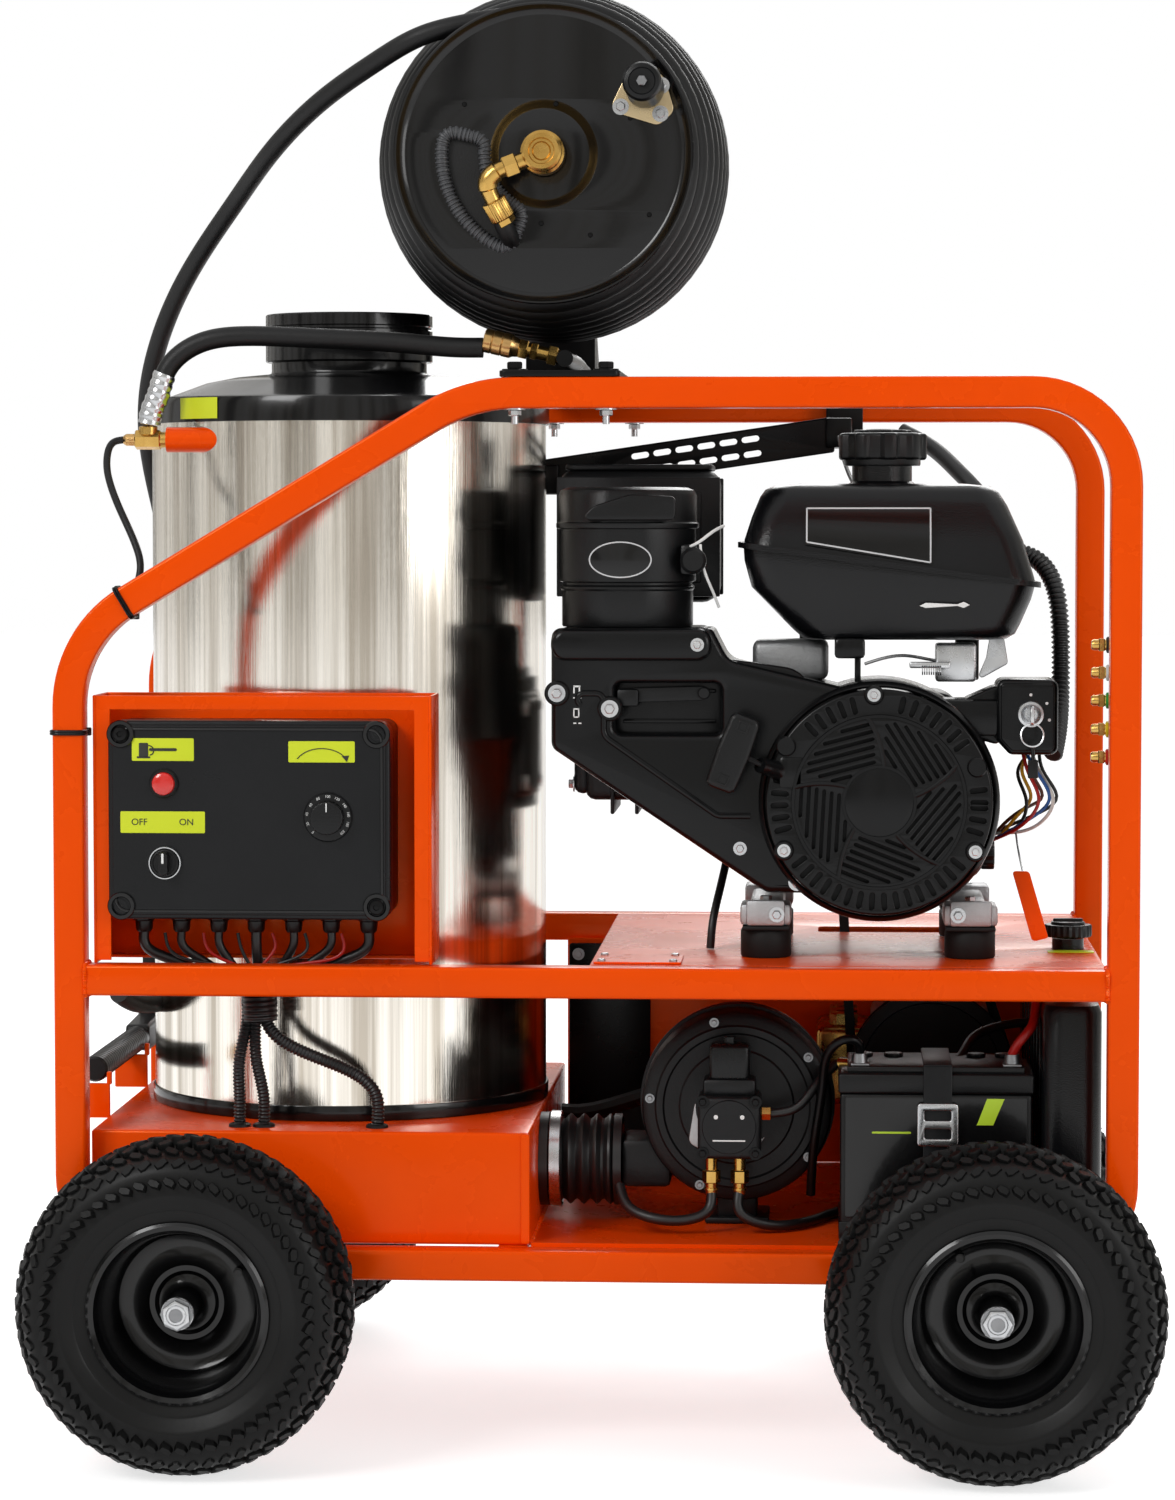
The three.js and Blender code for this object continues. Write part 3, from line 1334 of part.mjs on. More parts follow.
// The outer tangents of two circles with an arc round each: the path of a belt.
function beltOutline(big, small, steps = 8) {
  const [dx, dz] = [small.x - big.x, small.z - big.z];
  const heading = Math.atan2(dz, dx);
  const open = Math.acos((big.radius - small.radius) / Math.hypot(dx, dz));
  const arc = ({ x, z, radius }, from, sweep) =>
    Array.from({ length: steps + 1 }, (_, i) => {
      const angle = from + (sweep * i) / steps;
      const reach = radius / Math.cos(sweep / steps / 2);
      return [x + reach * Math.cos(angle), z + reach * Math.sin(angle)];
    });
  return [
    ...arc(big, heading + open, 2 * (Math.PI - open)),
    ...arc(small, heading - open, 2 * open),
  ];
}

function driveBelt() {
  const path = (grow) =>
    beltOutline(
      { x: pulley.pumpX, z: pulley.pumpZ, radius: pulley.pumpRadius + grow },
      { x: engine.fanX, z: engine.fanZ, radius: pulley.crankRadius + grow },
    );
  return prism("y", path(2 * seat + belt.thickness), belt.y, { holes: [path(2 * seat)] });
}

const cleaner = {
  fromLeft: 72,
  fromFront: 73,
  radius: 70,
  height: 72,
  capRadius: 73,
  capHeight: 70,
  crown: 14,
  crownBend: 4,
};
cleaner.x = cowl.left + cleaner.fromLeft;
cleaner.y = cowl.front + cleaner.fromFront;
cleaner.capZ = cowl.top + cleaner.height;
cleaner.top = cleaner.capZ + cleaner.capHeight;

// Air cleaner: a canister under a wider cap with rounded edges.
function airCleaner() {
  const bottom = cowl.top + seat;
  return turned("z", [
    [0, bottom],
    [cleaner.radius, bottom],
    [cleaner.radius, cleaner.capZ],
    [cleaner.capRadius, cleaner.capZ],
    [cleaner.capRadius, cleaner.top - cleaner.crown],
    [cleaner.capRadius - cleaner.crownBend, cleaner.top - cleaner.crownBend],
    [cleaner.capRadius - cleaner.crown, cleaner.top],
    [0, cleaner.top],
  ], [cleaner.x, cleaner.y, 0], 20);
}

const mufflerBox = {
  pastCylinder: 30,
  width: 167,
  y: [-40, 96],
  rise: 78,
  height: 143,
  round: 26,
  wall: 3,
  pipeRadius: 15,
  pipeY: 34,
  pipeFromRight: 53,
  outletFromLeft: 82,
  outlet: 26,
};
mufflerBox.left = casting.cylinderX[0] - mufflerBox.pastCylinder;
mufflerBox.bottom = casting.cylinderZ[1] + mufflerBox.rise;
mufflerBox.x = [mufflerBox.left, mufflerBox.left + mufflerBox.width];
mufflerBox.z = [mufflerBox.bottom, mufflerBox.bottom + mufflerBox.height];
mufflerBox.pipeX = mufflerBox.x[1] - mufflerBox.pipeFromRight;
mufflerBox.outletX = mufflerBox.x[0] + mufflerBox.outletFromLeft;

// Exhaust muffler over the cylinder, on its pipe, with the outlet at the back.
function muffler() {
  const outline = rounded(rectangle(mufflerBox.x, mufflerBox.z), mufflerBox.round, 2);
  const finTop = casting.cylinderZ[1] + casting.finRise + seat;
  const pipeAt = [mufflerBox.pipeX, mufflerBox.pipeY, 0];
  const pipe = rod("z", mufflerBox.pipeRadius, [finTop, mufflerBox.z[0] + sink], pipeAt, 16);
  const outletY = [mufflerBox.y[1] - sink, mufflerBox.y[1] + mufflerBox.outlet];
  const outletAt = [mufflerBox.outletX, 0, middle(mufflerBox.z)];
  const outlet = rod("y", mufflerBox.pipeRadius, outletY, outletAt, 16);
  const innerRound = mufflerBox.round / 2;
  const inside = rounded(inset(rectangle(mufflerBox.x, mufflerBox.z), innerRound), innerRound, 1);
  const hollow = prism("y", inside, grown(mufflerBox.y, -mufflerBox.wall));
  const outletBore = rod("y", mufflerBox.pipeRadius - mufflerBox.wall, grown(outletY, overrun), outletAt);
  const body = prism("y", outline, mufflerBox.y, { bevel: mufflerBox.round / 2 });
  return cut(join(body, pipe, outlet), hollow, outletBore);
}

const tankShares = [[0.2, 0], [0.93, 0.02], [1, 0.44], [0.85, 1], [0.07, 0.98], [0, 0.36]];

function engineFuelTank() {
  const outline = rounded(placed(tankShares, fuelTank.x, fuelTank.z), fuelTank.round, 2);
  const body = prism("y", outline, fuelTank.y, { bevel: fuelTank.bevel });
  const neckZ = [fuelTank.z[1] - overrun, fuelTank.neckTop];
  return join(body, rod("z", fuelTank.neckRadius, neckZ, [fuelTank.neckX, fuelTank.neckY, 0], 16));
}

const fuelCap = { radius: 45, height: 36, crown: 6 };

const capProfile = (radius, bottom, height, crown) => [
  [0, bottom],
  [radius, bottom],
  [radius, bottom + height - crown],
  [radius - crown, bottom + height],
  [0, bottom + height],
];

const engineTankCap = () =>
  turned("z", capProfile(fuelCap.radius, fuelTank.neckTop + seat, fuelCap.height, fuelCap.crown),
    [fuelTank.neckX, fuelTank.neckY, 0], 20);

function keySwitchBox() {
  const outline = rounded(rectangle(keyBox.x, keyBox.z), keyBox.lockRadius, 2);
  const lockY = [keyBox.y[0] - keyBox.lockDepth, keyBox.y[0] + sink];
  const lock = rod("y", keyBox.lockRadius, lockY, [keyBox.keyX, 0, keyBox.keyZ]);
  return join(prism("y", outline, keyBox.y), lock);
}

const key = { shank: 3, shankLength: 8, bowHalf: 12, bowWall: 2.5, bowLength: 24 };

function ignitionKey() {
  const start = keyBox.y[0] - keyBox.lockDepth - seat;
  const bowEnd = start - key.shankLength;
  const bowX = grown([keyBox.keyX, keyBox.keyX], key.bowWall / 2);
  const bowZ = grown([keyBox.keyZ, keyBox.keyZ], key.bowHalf);
  return join(
    rod("y", key.shank, [bowEnd - sink, start], [keyBox.keyX, 0, keyBox.keyZ], 12),
    block(bowX, [bowEnd - key.bowLength, bowEnd], bowZ),
  );
}

// The speed lever lies in the cowl's recess and turns on a pin at its right end.
function throttleLever() {
  const back = cowl.front + leverRecess.depth - seat;
  const y = [back - lever.depth, back];
  const armZ = grown([lever.pivotZ, lever.pivotZ], lever.half);
  const arm = block([lever.pivotX - lever.reach, lever.pivotX], y, armZ);
  const at = [lever.pivotX, 0, lever.pivotZ];
  const pin = rod("y", lever.pin, [y[0], back + lever.pinDepth], at, 12);
  return join(arm, rod("y", lever.half, y, at, 16), pin);
}

const mount = { rubberRadius: 25, stripWall: 4, places: [-175, 45] };

// Two rubber blocks joined by the steel strip that the engine's feet are bolted to.
function engineMount([left, right]) {
  const x = middle([left, right]);
  const stripZ = [engine.mountTop - mount.stripWall, engine.mountTop];
  const rubberZ = [frame.midRailTop + seat, stripZ[0] + sink];
  const rubbers = mount.places.map((y) => rod("z", mount.rubberRadius, rubberZ, [x, y, 0], 16));
  return join(block([left, right], [foot.front, engine.back - overrun], stripZ), rubbers);
}

// Pump

const pump = {
  shaft: 12,
  shaftPast: 8,
  caseToLeft: 63,
  caseToRight: 67,
  beltGap: 14,
  caseDepth: 80,
  caseHalf: 67,
  headLength: 58,
  headDip: 4,
  headDepth: 124,
  headHalf: 42,
  valveRadius: 13,
  valveRise: 12,
  valves: 3,
  footHeight: 16,
  footWidth: 26,
  outletRadius: 12,
  outletReach: 20,
};
pump.caseX = [pulley.pumpX - pump.caseToLeft, pulley.pumpX + pump.caseToRight];
pump.caseY = [belt.y[1] + pump.beltGap, belt.y[1] + pump.beltGap + pump.caseDepth];
pump.caseZ = grown([pulley.pumpZ, pulley.pumpZ], pump.caseHalf);
pump.headX = [pump.caseX[0] - pump.headLength, pump.caseX[0] + 2 * sink];
pump.headY = [pump.caseY[0] + pump.headDip, pump.caseY[0] + pump.headDip + pump.headDepth];
pump.headZ = grown([pulley.pumpZ, pulley.pumpZ], pump.headHalf);

// Three-piston pump: crankcase, brass head with its valve caps, and two feet on the floor pan.
function pumpBody() {
  const valves = Array.from({ length: pump.valves }, (_, i) => {
    const y = pump.headY[0] + ((pump.headY[1] - pump.headY[0]) * (i + 1 / 2)) / pump.valves;
    const valveZ = [pump.headZ[1] - sink, pump.headZ[1] + pump.valveRise];
    return rod("z", pump.valveRadius, valveZ, [middle(pump.headX), y, 0], 6);
  });
  const feet = [pump.caseY[0], pump.caseY[1] - pump.footWidth].map((y) =>
    block(pump.caseX, [y, y + pump.footWidth], [pan.top + seat, pump.caseZ[0] + pump.footHeight]),
  );
  const shaftY = [belt.y[0] - pump.shaftPast, pump.caseY[0] + sink];
  const outletX = [pump.headX[0] - pump.outletReach, pump.headX[0] + sink];
  return join(
    block(pump.caseX, pump.caseY, pump.caseZ),
    block(pump.headX, pump.headY, pump.headZ),
    rod("y", pump.shaft, shaftY, [pulley.pumpX, 0, pulley.pumpZ], 16),
    rod("x", pump.outletRadius, outletX, [0, middle(pump.headY), middle(pump.headZ)], 12),
    valves,
    feet,
  );
}

const pressure = { radius: 9, straight: 27, belowTop: 45 };

// The armoured hose from the pump's head to the boiler, held at both ends.
function pressureHose() {
  const y = middle(pump.headY);
  const z = middle(pump.headZ);
  const start = pump.headX[0] - pump.outletReach - seat;
  const end = base.right + seat;
  const low = base.top - pressure.belowTop;
  return tube([
    [start, y, z],
    [start - pressure.straight, y, z],
    [middle([start, end]), y, middle([z, low])],
    [end + pressure.straight, y, low],
    [end, y, low],
  ], pressure.radius, { sides: 8, steps: 14 });
}

// Burner

const blower = {
  fromDuct: 116,
  rise: 61,
  radius: 95,
  y: [-165, -66],
  motorRadius: 52,
  motorEnd: 58,
  footHalf: 32,
  footDrop: 92,
  spigotRadius: 38,
};
blower.x = duct.rightX + blower.fromDuct;
blower.z = duct.z + blower.rise;
blower.footX = grown([blower.x, blower.x], blower.footHalf);
const fuelPump = {
  toLeft: 37,
  toRight: 25,
  below: 45,
  above: 32,
  depth: 62,
  coilHalf: 19,
  coilInset: 12,
  coilRise: 36,
  fittingRadius: 6,
  fittings: [24, -4], // from the blower's middle to the left
  drop: 26,
};
fuelPump.x = [blower.x - fuelPump.toLeft, blower.x + fuelPump.toRight];
fuelPump.z = [blower.z - fuelPump.below, blower.z + fuelPump.above];

// Fan housing, motor behind it, the air outlet towards the boiler, and a foot on the floor pan.
function burnerBlower() {
  const at = [blower.x, 0, blower.z];
  const spigotX = [duct.rightX + seat, blower.x];
  return join(
    rod("y", blower.radius, blower.y, at, 20),
    rod("y", blower.motorRadius, [blower.y[1] - sink, blower.motorEnd], at, 14),
    rod("x", blower.spigotRadius, spigotX, [0, duct.y, duct.z], 14),
    block(blower.footX, blower.y, [pan.top + seat, blower.z - blower.footDrop + overrun]),
  );
}

// Oil pump on the fan's front, with the solenoid on top and two pipe fittings below.
function burnerFuelPump() {
  const y = [blower.y[0] - seat - fuelPump.depth, blower.y[0] - seat];
  const centreX = middle(fuelPump.x);
  const fittingZ = [fuelPump.z[0] - fuelPump.drop, fuelPump.z[0] + sink];
  const fittings = fuelPump.fittings.map((left) =>
    rod("z", fuelPump.fittingRadius, fittingZ, [blower.x - left, middle(y), 0], 6),
  );
  const coilX = grown([centreX, centreX], fuelPump.coilHalf);
  const coilZ = [fuelPump.z[1] - sink, fuelPump.z[1] + fuelPump.coilRise];
  return join(
    block(fuelPump.x, y, fuelPump.z),
    block(coilX, grown(y, -fuelPump.coilInset), coilZ),
    fittings,
  );
}

// A ribbed rubber duct with a plain cuff at each end, open all the way through.
function burnerDuct() {
  const x = [base.right + seat, duct.rightX];
  const cuff = (x[1] - x[0]) / (duct.ribs + 4);
  const ribs = Array.from({ length: duct.ribs }, (_, i) => {
    const start = x[0] + cuff * (2 + i);
    return [[duct.radius, start], [duct.radius + duct.ribHeight, start + cuff / 2]];
  }).flat();
  return turned("x", [
    [duct.bore, x[0]],
    [duct.radius, x[0]],
    ...ribs,
    [duct.radius, x[1] - 2 * cuff],
    [duct.radius, x[1]],
    [duct.bore, x[1]],
  ], [0, duct.y, duct.z], 12);
}

// Battery, its strap and the diesel tank

const battery = {
  tankGap: 7,
  length: 191,
  edgeGap: 29.7,
  depth: 128,
  height: 181.4,
  terminal: 9,
  terminalRise: 10,
  terminalInset: 26,
};
battery.x = [dieselTank.x[0] - battery.tankGap - battery.length, dieselTank.x[0] - battery.tankGap];
battery.y = [sheetEdge + battery.edgeGap, sheetEdge + battery.edgeGap + battery.depth];
battery.top = pan.top + seat + battery.height;
battery.z = [pan.top + seat, battery.top];

function startBattery() {
  const terminalY = battery.y[1] - battery.terminalInset;
  const terminalZ = [battery.top - sink, battery.top + battery.terminalRise];
  const terminals = grown(battery.x, -battery.terminalInset).map((x) =>
    rod("z", battery.terminal, terminalZ, [x, terminalY, 0], 12),
  );
  return join(block(battery.x, battery.y, battery.z), terminals);
}

const strap = { halfWidth: 16, fromMiddle: 1.5, wall: 2 };
strap.x = grown([middle(battery.x) + strap.fromMiddle, middle(battery.x) + strap.fromMiddle], strap.halfWidth);

function batteryStrap() {
  const inner = grown(battery.y, seat);
  const outer = grown(inner, strap.wall);
  const bottom = pan.top + seat;
  const innerTop = battery.top + seat;
  return prism("x", [
    [outer[0], bottom], [inner[0], bottom], [inner[0], innerTop], [inner[1], innerTop],
    [inner[1], bottom], [outer[1], bottom], [outer[1], innerTop + strap.wall], [outer[0], innerTop + strap.wall],
  ], strap.x);
}

dieselTank.neckTop = dieselTank.top + dieselTank.neckRise;

function dieselFuelTank() {
  const [x0, x1] = dieselTank.x;
  const z0 = pan.top + seat;
  const outline = [
    [x0, z0], [x1 - dieselTank.cutX, z0], [x1, z0 + dieselTank.cutZ],
    [x1, dieselTank.top - dieselTank.chamferZ], [x1 - dieselTank.chamferX, dieselTank.top], [x0, dieselTank.top],
  ];
  const neckZ = [dieselTank.top - 2 * dieselTank.chamferZ, dieselTank.neckTop];
  const neck = rod("z", dieselNeck.radius, neckZ, [dieselNeck.x, dieselNeck.y, 0]);
  const tankY = grown([frame.nearInner, -frame.nearInner], -dieselTank.endGap);
  return join(prism("y", outline, tankY), neck);
}

const dieselCap = () =>
  turned("z", capProfile(dieselNeck.cap, dieselTank.neckTop + seat, dieselNeck.radius, fuelCap.crown),
    [dieselNeck.x, dieselNeck.y, 0], 18);

// Assembly

piece("near_side_frame", nearSideFrame(), orangePaint);
piece("far_side_frame", sideFrame(1), orangePaint);
piece("engine_deck", engineDeck(), orangePaint);
piece("floor_pan", floorPan(), orangePaint);
piece("boiler_base", boilerBase(), orangePaint);
for (const [end, x] of [["left", wheel.leftX], ["right", wheel.rightX]]) {
  piece(end + "_axle", wheelAxle(x), steel);
  for (const [side, sign] of [["near", -1], ["far", 1]]) {
    piece(side + "_" + end + "_tyre", tyre(x, sign), rubberBlack);
    piece(side + "_" + end + "_rim", wheelRim(x, sign), blackPaint);
  }
}
piece("boiler_shell", boilerShell(), stainless);
piece("boiler_lid", boilerLid(), blackPaint);
piece("heating_coil", heatingCoil(), steel);
piece("outlet_tee", outletTee(), brass);
piece("control_tray", controlTray(), orangePaint);
piece("control_box", controlBox(), satinBlack);
piece("control_lid", controlLid(), satinBlack);
piece("heating_switch", heatingSwitch(), satinBlack);
piece("thermostat_knob", thermostatKnob(), satinBlack);
piece("conduit_loom", conduitLoom(), rubberBlack);
piece("reel_stand", reelStand(), blackPaint);
piece("reel_drum", reelDrum(), blackPaint);
piece("hose_winding", hoseWinding(), rubberBlack);
piece("reel_grip", windingGrip(), satinBlack);
piece("reel_elbow", reelElbow(), brass);
piece("reel_swivel", reelSwivel(), brass);
piece("supply_hose", tube(supplyHosePoints, hose.radius, { sides: hose.sides, steps: 12 }), rubberBlack);
piece("outlet_hose", tube(freeHosePoints, hose.radius, { sides: hose.sides, steps: 28 }), rubberBlack);
piece("spray_gun", sprayGun(), satinBlack);
piece("gun_trigger", gunTrigger(), satinBlack);
piece("fan_shroud", fanShroud(), satinBlack);
piece("recoil_cover", recoilCover(), satinBlack);
piece("starter_grip", starterGrip(), satinBlack);
piece("crankcase", crankcase(), castAluminium);
piece("crankshaft", crankshaft(), steel);
piece("pump_pulley", pumpPulley(), steel);
piece("drive_belt", driveBelt(), rubberBlack);
piece("air_cleaner", airCleaner(), satinBlack);
piece("muffler", muffler(), satinBlack);
piece("engine_fuel_tank", engineFuelTank(), tankBlack);
piece("engine_tank_cap", engineTankCap(), satinBlack);
piece("key_box", keySwitchBox(), satinBlack);
piece("ignition_key", ignitionKey(), steel);
piece("throttle_lever", throttleLever(), satinBlack);
piece("left_engine_mount", engineMount(foot.leftX), rubberBlack);
piece("right_engine_mount", engineMount(foot.rightX), rubberBlack);
piece("pump", pumpBody(), castAluminium);
piece("pressure_hose", pressureHose(), rubberBlack);
piece("burner_blower", burnerBlower(), satinBlack);
piece("burner_fuel_pump", burnerFuelPump(), satinBlack);
piece("burner_duct", burnerDuct(), rubberBlack);
piece("battery", startBattery(), satinBlack);
piece("battery_strap", batteryStrap(), steel);
piece("diesel_tank", dieselFuelTank(), tankBlack);
piece("diesel_cap", dieselCap(), satinBlack);

export default machine;
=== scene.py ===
# %% [markdown]
# # A hot-water pressure washer, dressed in Blender
# The solids come in as a fixed frame. Each cell builds one group of pieces as numpy surfaces, in
# millimetres, at the place that the solids give them, and hangs it on the body that it moves with.

# %% Start
import math

import bmesh
import bpy
import numpy as np
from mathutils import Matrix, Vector
from mathutils.geometry import tessellate_polygon


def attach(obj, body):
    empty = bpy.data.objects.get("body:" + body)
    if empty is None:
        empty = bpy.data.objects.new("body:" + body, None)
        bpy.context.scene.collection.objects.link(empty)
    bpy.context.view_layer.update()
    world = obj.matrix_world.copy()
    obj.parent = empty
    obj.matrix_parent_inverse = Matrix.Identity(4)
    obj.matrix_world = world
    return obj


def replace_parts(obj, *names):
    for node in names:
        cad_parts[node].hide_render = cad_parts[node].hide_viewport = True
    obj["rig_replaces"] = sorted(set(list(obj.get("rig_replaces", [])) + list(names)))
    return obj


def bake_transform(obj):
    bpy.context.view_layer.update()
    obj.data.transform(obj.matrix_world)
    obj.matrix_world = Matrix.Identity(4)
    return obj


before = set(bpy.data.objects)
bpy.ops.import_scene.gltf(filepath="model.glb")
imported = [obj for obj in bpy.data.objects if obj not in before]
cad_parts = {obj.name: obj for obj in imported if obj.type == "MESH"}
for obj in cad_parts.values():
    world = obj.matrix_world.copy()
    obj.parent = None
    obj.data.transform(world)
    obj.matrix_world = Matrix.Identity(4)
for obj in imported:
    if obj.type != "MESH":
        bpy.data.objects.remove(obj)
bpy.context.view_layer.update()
MM = 0.001
TURN = 2 * math.pi
bpy.context.scene.view_settings.view_transform = "Standard"

# %% [markdown]
# ## Node helpers
# The world and every finish are node trees, put together with these few functions.

# %% Node helpers
def linear(code):
    """A screen colour #rrggbb as scene-linear numbers: ((c + 0.055) / 1.055) ** 2.4 above the toe."""
    c = np.array([int(code[i:i + 2], 16) / 255 for i in (1, 3, 5)])
    return (*np.where(c <= 0.04045, c / 12.92, ((c + 0.055) / 1.055) ** 2.4).tolist(), 1.0)

def group(name, inputs, outputs):
    """An empty node group with float inputs {name: default} and outputs {name: socket type}."""
    tree = bpy.data.node_groups.new(name, "ShaderNodeTree")
    for key, value in inputs.items():
        tree.interface.new_socket(key, in_out="INPUT", socket_type="NodeSocketFloat").default_value = value
    for key, kind in outputs.items():
        tree.interface.new_socket(key, in_out="OUTPUT", socket_type=kind)
    return tree, tree.nodes.new("NodeGroupInput"), tree.nodes.new("NodeGroupOutput")

def node(tree, kind, settings=(), **values):
    """A node with its settings and unlinked input values set. Underscores in names stand for spaces."""
    made = tree.nodes.new(kind)
    for key, value in dict(settings).items():
        setattr(made, key, value)
    for key, value in values.items():
        made.inputs[key.replace("_", " ")].default_value = value
    return made

def wire(tree, *pairs):
    """Links, given as pairs of an output and an input."""
    for start, end in pairs:
        tree.links.new(start, end)

def seen_rays(tree):
    """A light path node, and a value of 1 for rays that look: camera, glossy and transmission rays."""
    path = node(tree, "ShaderNodeLightPath")
    seen = path.outputs["Is Camera Ray"]
    for kind in ("Is Glossy Ray", "Is Transmission Ray"):
        either = node(tree, "ShaderNodeMath", {"operation": "MAXIMUM"})
        wire(tree, (seen, either.inputs[0]), (path.outputs[kind], either.inputs[1]))
        seen = either.outputs[0]
    return path, seen

# %% [markdown]
# ## Camera and light
# The camera was solved from the photo's vanishing lines. Three soft lamps and a white world light the
# machine. The camera sees the world as it is, shiny surfaces see a room of bands instead, and all other
# surfaces get half of its light.

# %% Camera
camera = bpy.data.objects.new("camera", bpy.data.cameras.new("camera"))
bpy.context.scene.collection.objects.link(camera)
camera.location = (0.232, -4.300, 0.907)
camera.rotation_euler = (math.radians(90 - 3.087), 0, math.radians(3.390))
camera.data.lens = 100.1
camera.data.sensor_width = 36
camera.data.clip_end = 60
bpy.context.scene.camera = camera

# %% Lights and world
def area_light(name, at, target, size, watts):
    """A square soft light of a given size in metres that looks at a target point."""
    data = bpy.data.lights.new(name, "AREA")
    data.size, data.energy = size, watts
    lamp = bpy.data.objects.new(name, data)
    bpy.context.scene.collection.objects.link(lamp)
    lamp.location = at
    lamp.rotation_euler = (Vector(target) - Vector(at)).to_track_quat("-Z", "Y").to_euler()
    return lamp

area_light("key_light", (-2.6, -3.4, 3.2), (0, 0, 0.6), 1.6, 95)
area_light("fill_light", (3.2, -2.6, 1.6), (0, 0, 0.6), 1.6, 38)
area_light("back_light", (0.5, 3.4, 2.6), (0, 0, 0.7), 2.0, 60)

world = bpy.data.worlds.new("studio")
bpy.context.scene.world = world
world.use_nodes = True
tree = world.node_tree
tree.nodes.clear()
path, seen = seen_rays(tree)
strength = node(tree, "ShaderNodeMapRange", To_Min=0.5, To_Max=1.0)
shine = node(tree, "ShaderNodeBackground")
out = node(tree, "ShaderNodeOutputWorld")
wire(tree, (seen, strength.inputs["Value"]), (strength.outputs[0], shine.inputs["Strength"]),
     (shine.outputs[0], out.inputs["Surface"]))

# %% Room seen by shiny surfaces
# What shiny surfaces see is a room of upright bands, by compass direction, under a white ceiling.
ROOM_BANDS = ((0.37, "#101010"), (0.43, "#56534e"), (0.47, "#d8d2c6"), (0.53, "#ffffff"), (0.64, "#a8a49d"))
toward = node(tree, "ShaderNodeTexCoord")
split = node(tree, "ShaderNodeSeparateXYZ")
compass = node(tree, "ShaderNodeMath", {"operation": "ARCTAN2"})
bands = node(tree, "ShaderNodeTexNoise", {"noise_dimensions": "1D"}, Scale=4.2, Detail=3.0, Roughness=0.62)
ramp = node(tree, "ShaderNodeValToRGB")
for spot, code in ROOM_BANDS:
    shade = [(int(code[i:i + 2], 16) / 255) ** 2.2 for i in (1, 3, 5)]
    ramp.color_ramp.elements.new(spot).color = (*shade, 1)
for end in (0, -1):
    ramp.color_ramp.elements.remove(ramp.color_ramp.elements[end])
ceiling = node(tree, "ShaderNodeMapRange", From_Min=0.45, From_Max=0.8)
roofed = node(tree, "ShaderNodeMix", {"data_type": "RGBA"})
choose = node(tree, "ShaderNodeMix", {"data_type": "RGBA"})
roofed.inputs[7].default_value = choose.inputs[6].default_value = (1, 1, 1, 1)
wire(tree, (toward.outputs["Generated"], split.inputs[0]), (split.outputs["Y"], compass.inputs[0]),
     (split.outputs["X"], compass.inputs[1]), (compass.outputs[0], bands.inputs["W"]),
     (bands.outputs[0], ramp.inputs[0]), (split.outputs["Z"], ceiling.inputs["Value"]),
     (ceiling.outputs[0], roofed.inputs[0]), (ramp.outputs["Color"], roofed.inputs[6]),
     (path.outputs["Is Glossy Ray"], choose.inputs[0]), (roofed.outputs[2], choose.inputs[7]),
     (choose.outputs[2], shine.inputs["Color"]))

# %% [markdown]
# ## Shapes as arrays
# A shape is a pair: an (n, 3) array of points and a list of face arrays, where each array holds faces
# with the same number of corners. Small functions make, move and join such pairs, and no function
# walks over the points one by one.

# %% Moving and joining
def joined(*shapes):
    """One shape from several: the points are stacked and the face numbers shifted."""
    flat = [s for group in shapes for s in (group if isinstance(group, list) else [group])]
    starts = np.cumsum([0] + [len(v) for v, _ in flat[:-1]])
    points = np.concatenate([v for v, _ in flat])
    return points, [f + start for start, (_, faces) in zip(starts, flat) for f in faces]

AXES = {"x": (0, 1, 0, 0, 0, 1, 1, 0, 0), "y": (1, 0, 0, 0, 0, -1, 0, 1, 0), "z": (1, 0, 0, 0, 1, 0, 0, 0, 1)}

def turned_to(axis):
    """The 3 x 3 turn that takes local +Z to an axis. Its rows are where local X, Y and Z go."""
    sign = -1 if axis[0] == "-" else 1
    turn = np.array(AXES[axis[-1]], float).reshape(3, 3)
    return turn if sign > 0 else turn * np.array([[1], [-1], [-1]])

def moved(shape, at=(0, 0, 0), axis="z", spin=0.0):
    """A shape spun about its own Z, turned so that Z lies along an axis, and shifted."""
    v, faces = shape
    c, s = math.cos(spin), math.sin(spin)
    flat = v @ np.array([[c, s, 0], [-s, c, 0], [0, 0, 1]])
    return flat @ turned_to(axis) + np.asarray(at, float), faces

def aimed(shape, at, towards):
    """A shape whose Z looks along any direction."""
    z = np.asarray(towards, float)
    z = z / np.linalg.norm(z)
    x = np.cross((0, 0, 1) if abs(z[2]) < 0.9 else (1, 0, 0), z)
    x = x / np.linalg.norm(x)
    v, faces = shape
    return v @ np.array([x, np.cross(z, x), z]) + np.asarray(at, float), faces

def around(angles):
    """Points of the unit circle at the angles given."""
    return np.stack([np.cos(angles), np.sin(angles)], -1)

def grid(rows, cols, wrap_rows=False, wrap_cols=False):
    """Quads over a grid of points numbered row by row."""
    r = np.arange(rows if wrap_rows else rows - 1)[:, None]
    c = np.arange(cols if wrap_cols else cols - 1)[None, :]
    r2, c2 = (r + 1) % rows, (c + 1) % cols
    return np.stack([r * cols + c, r * cols + c2, r2 * cols + c2, r2 * cols + c], -1).reshape(-1, 4)

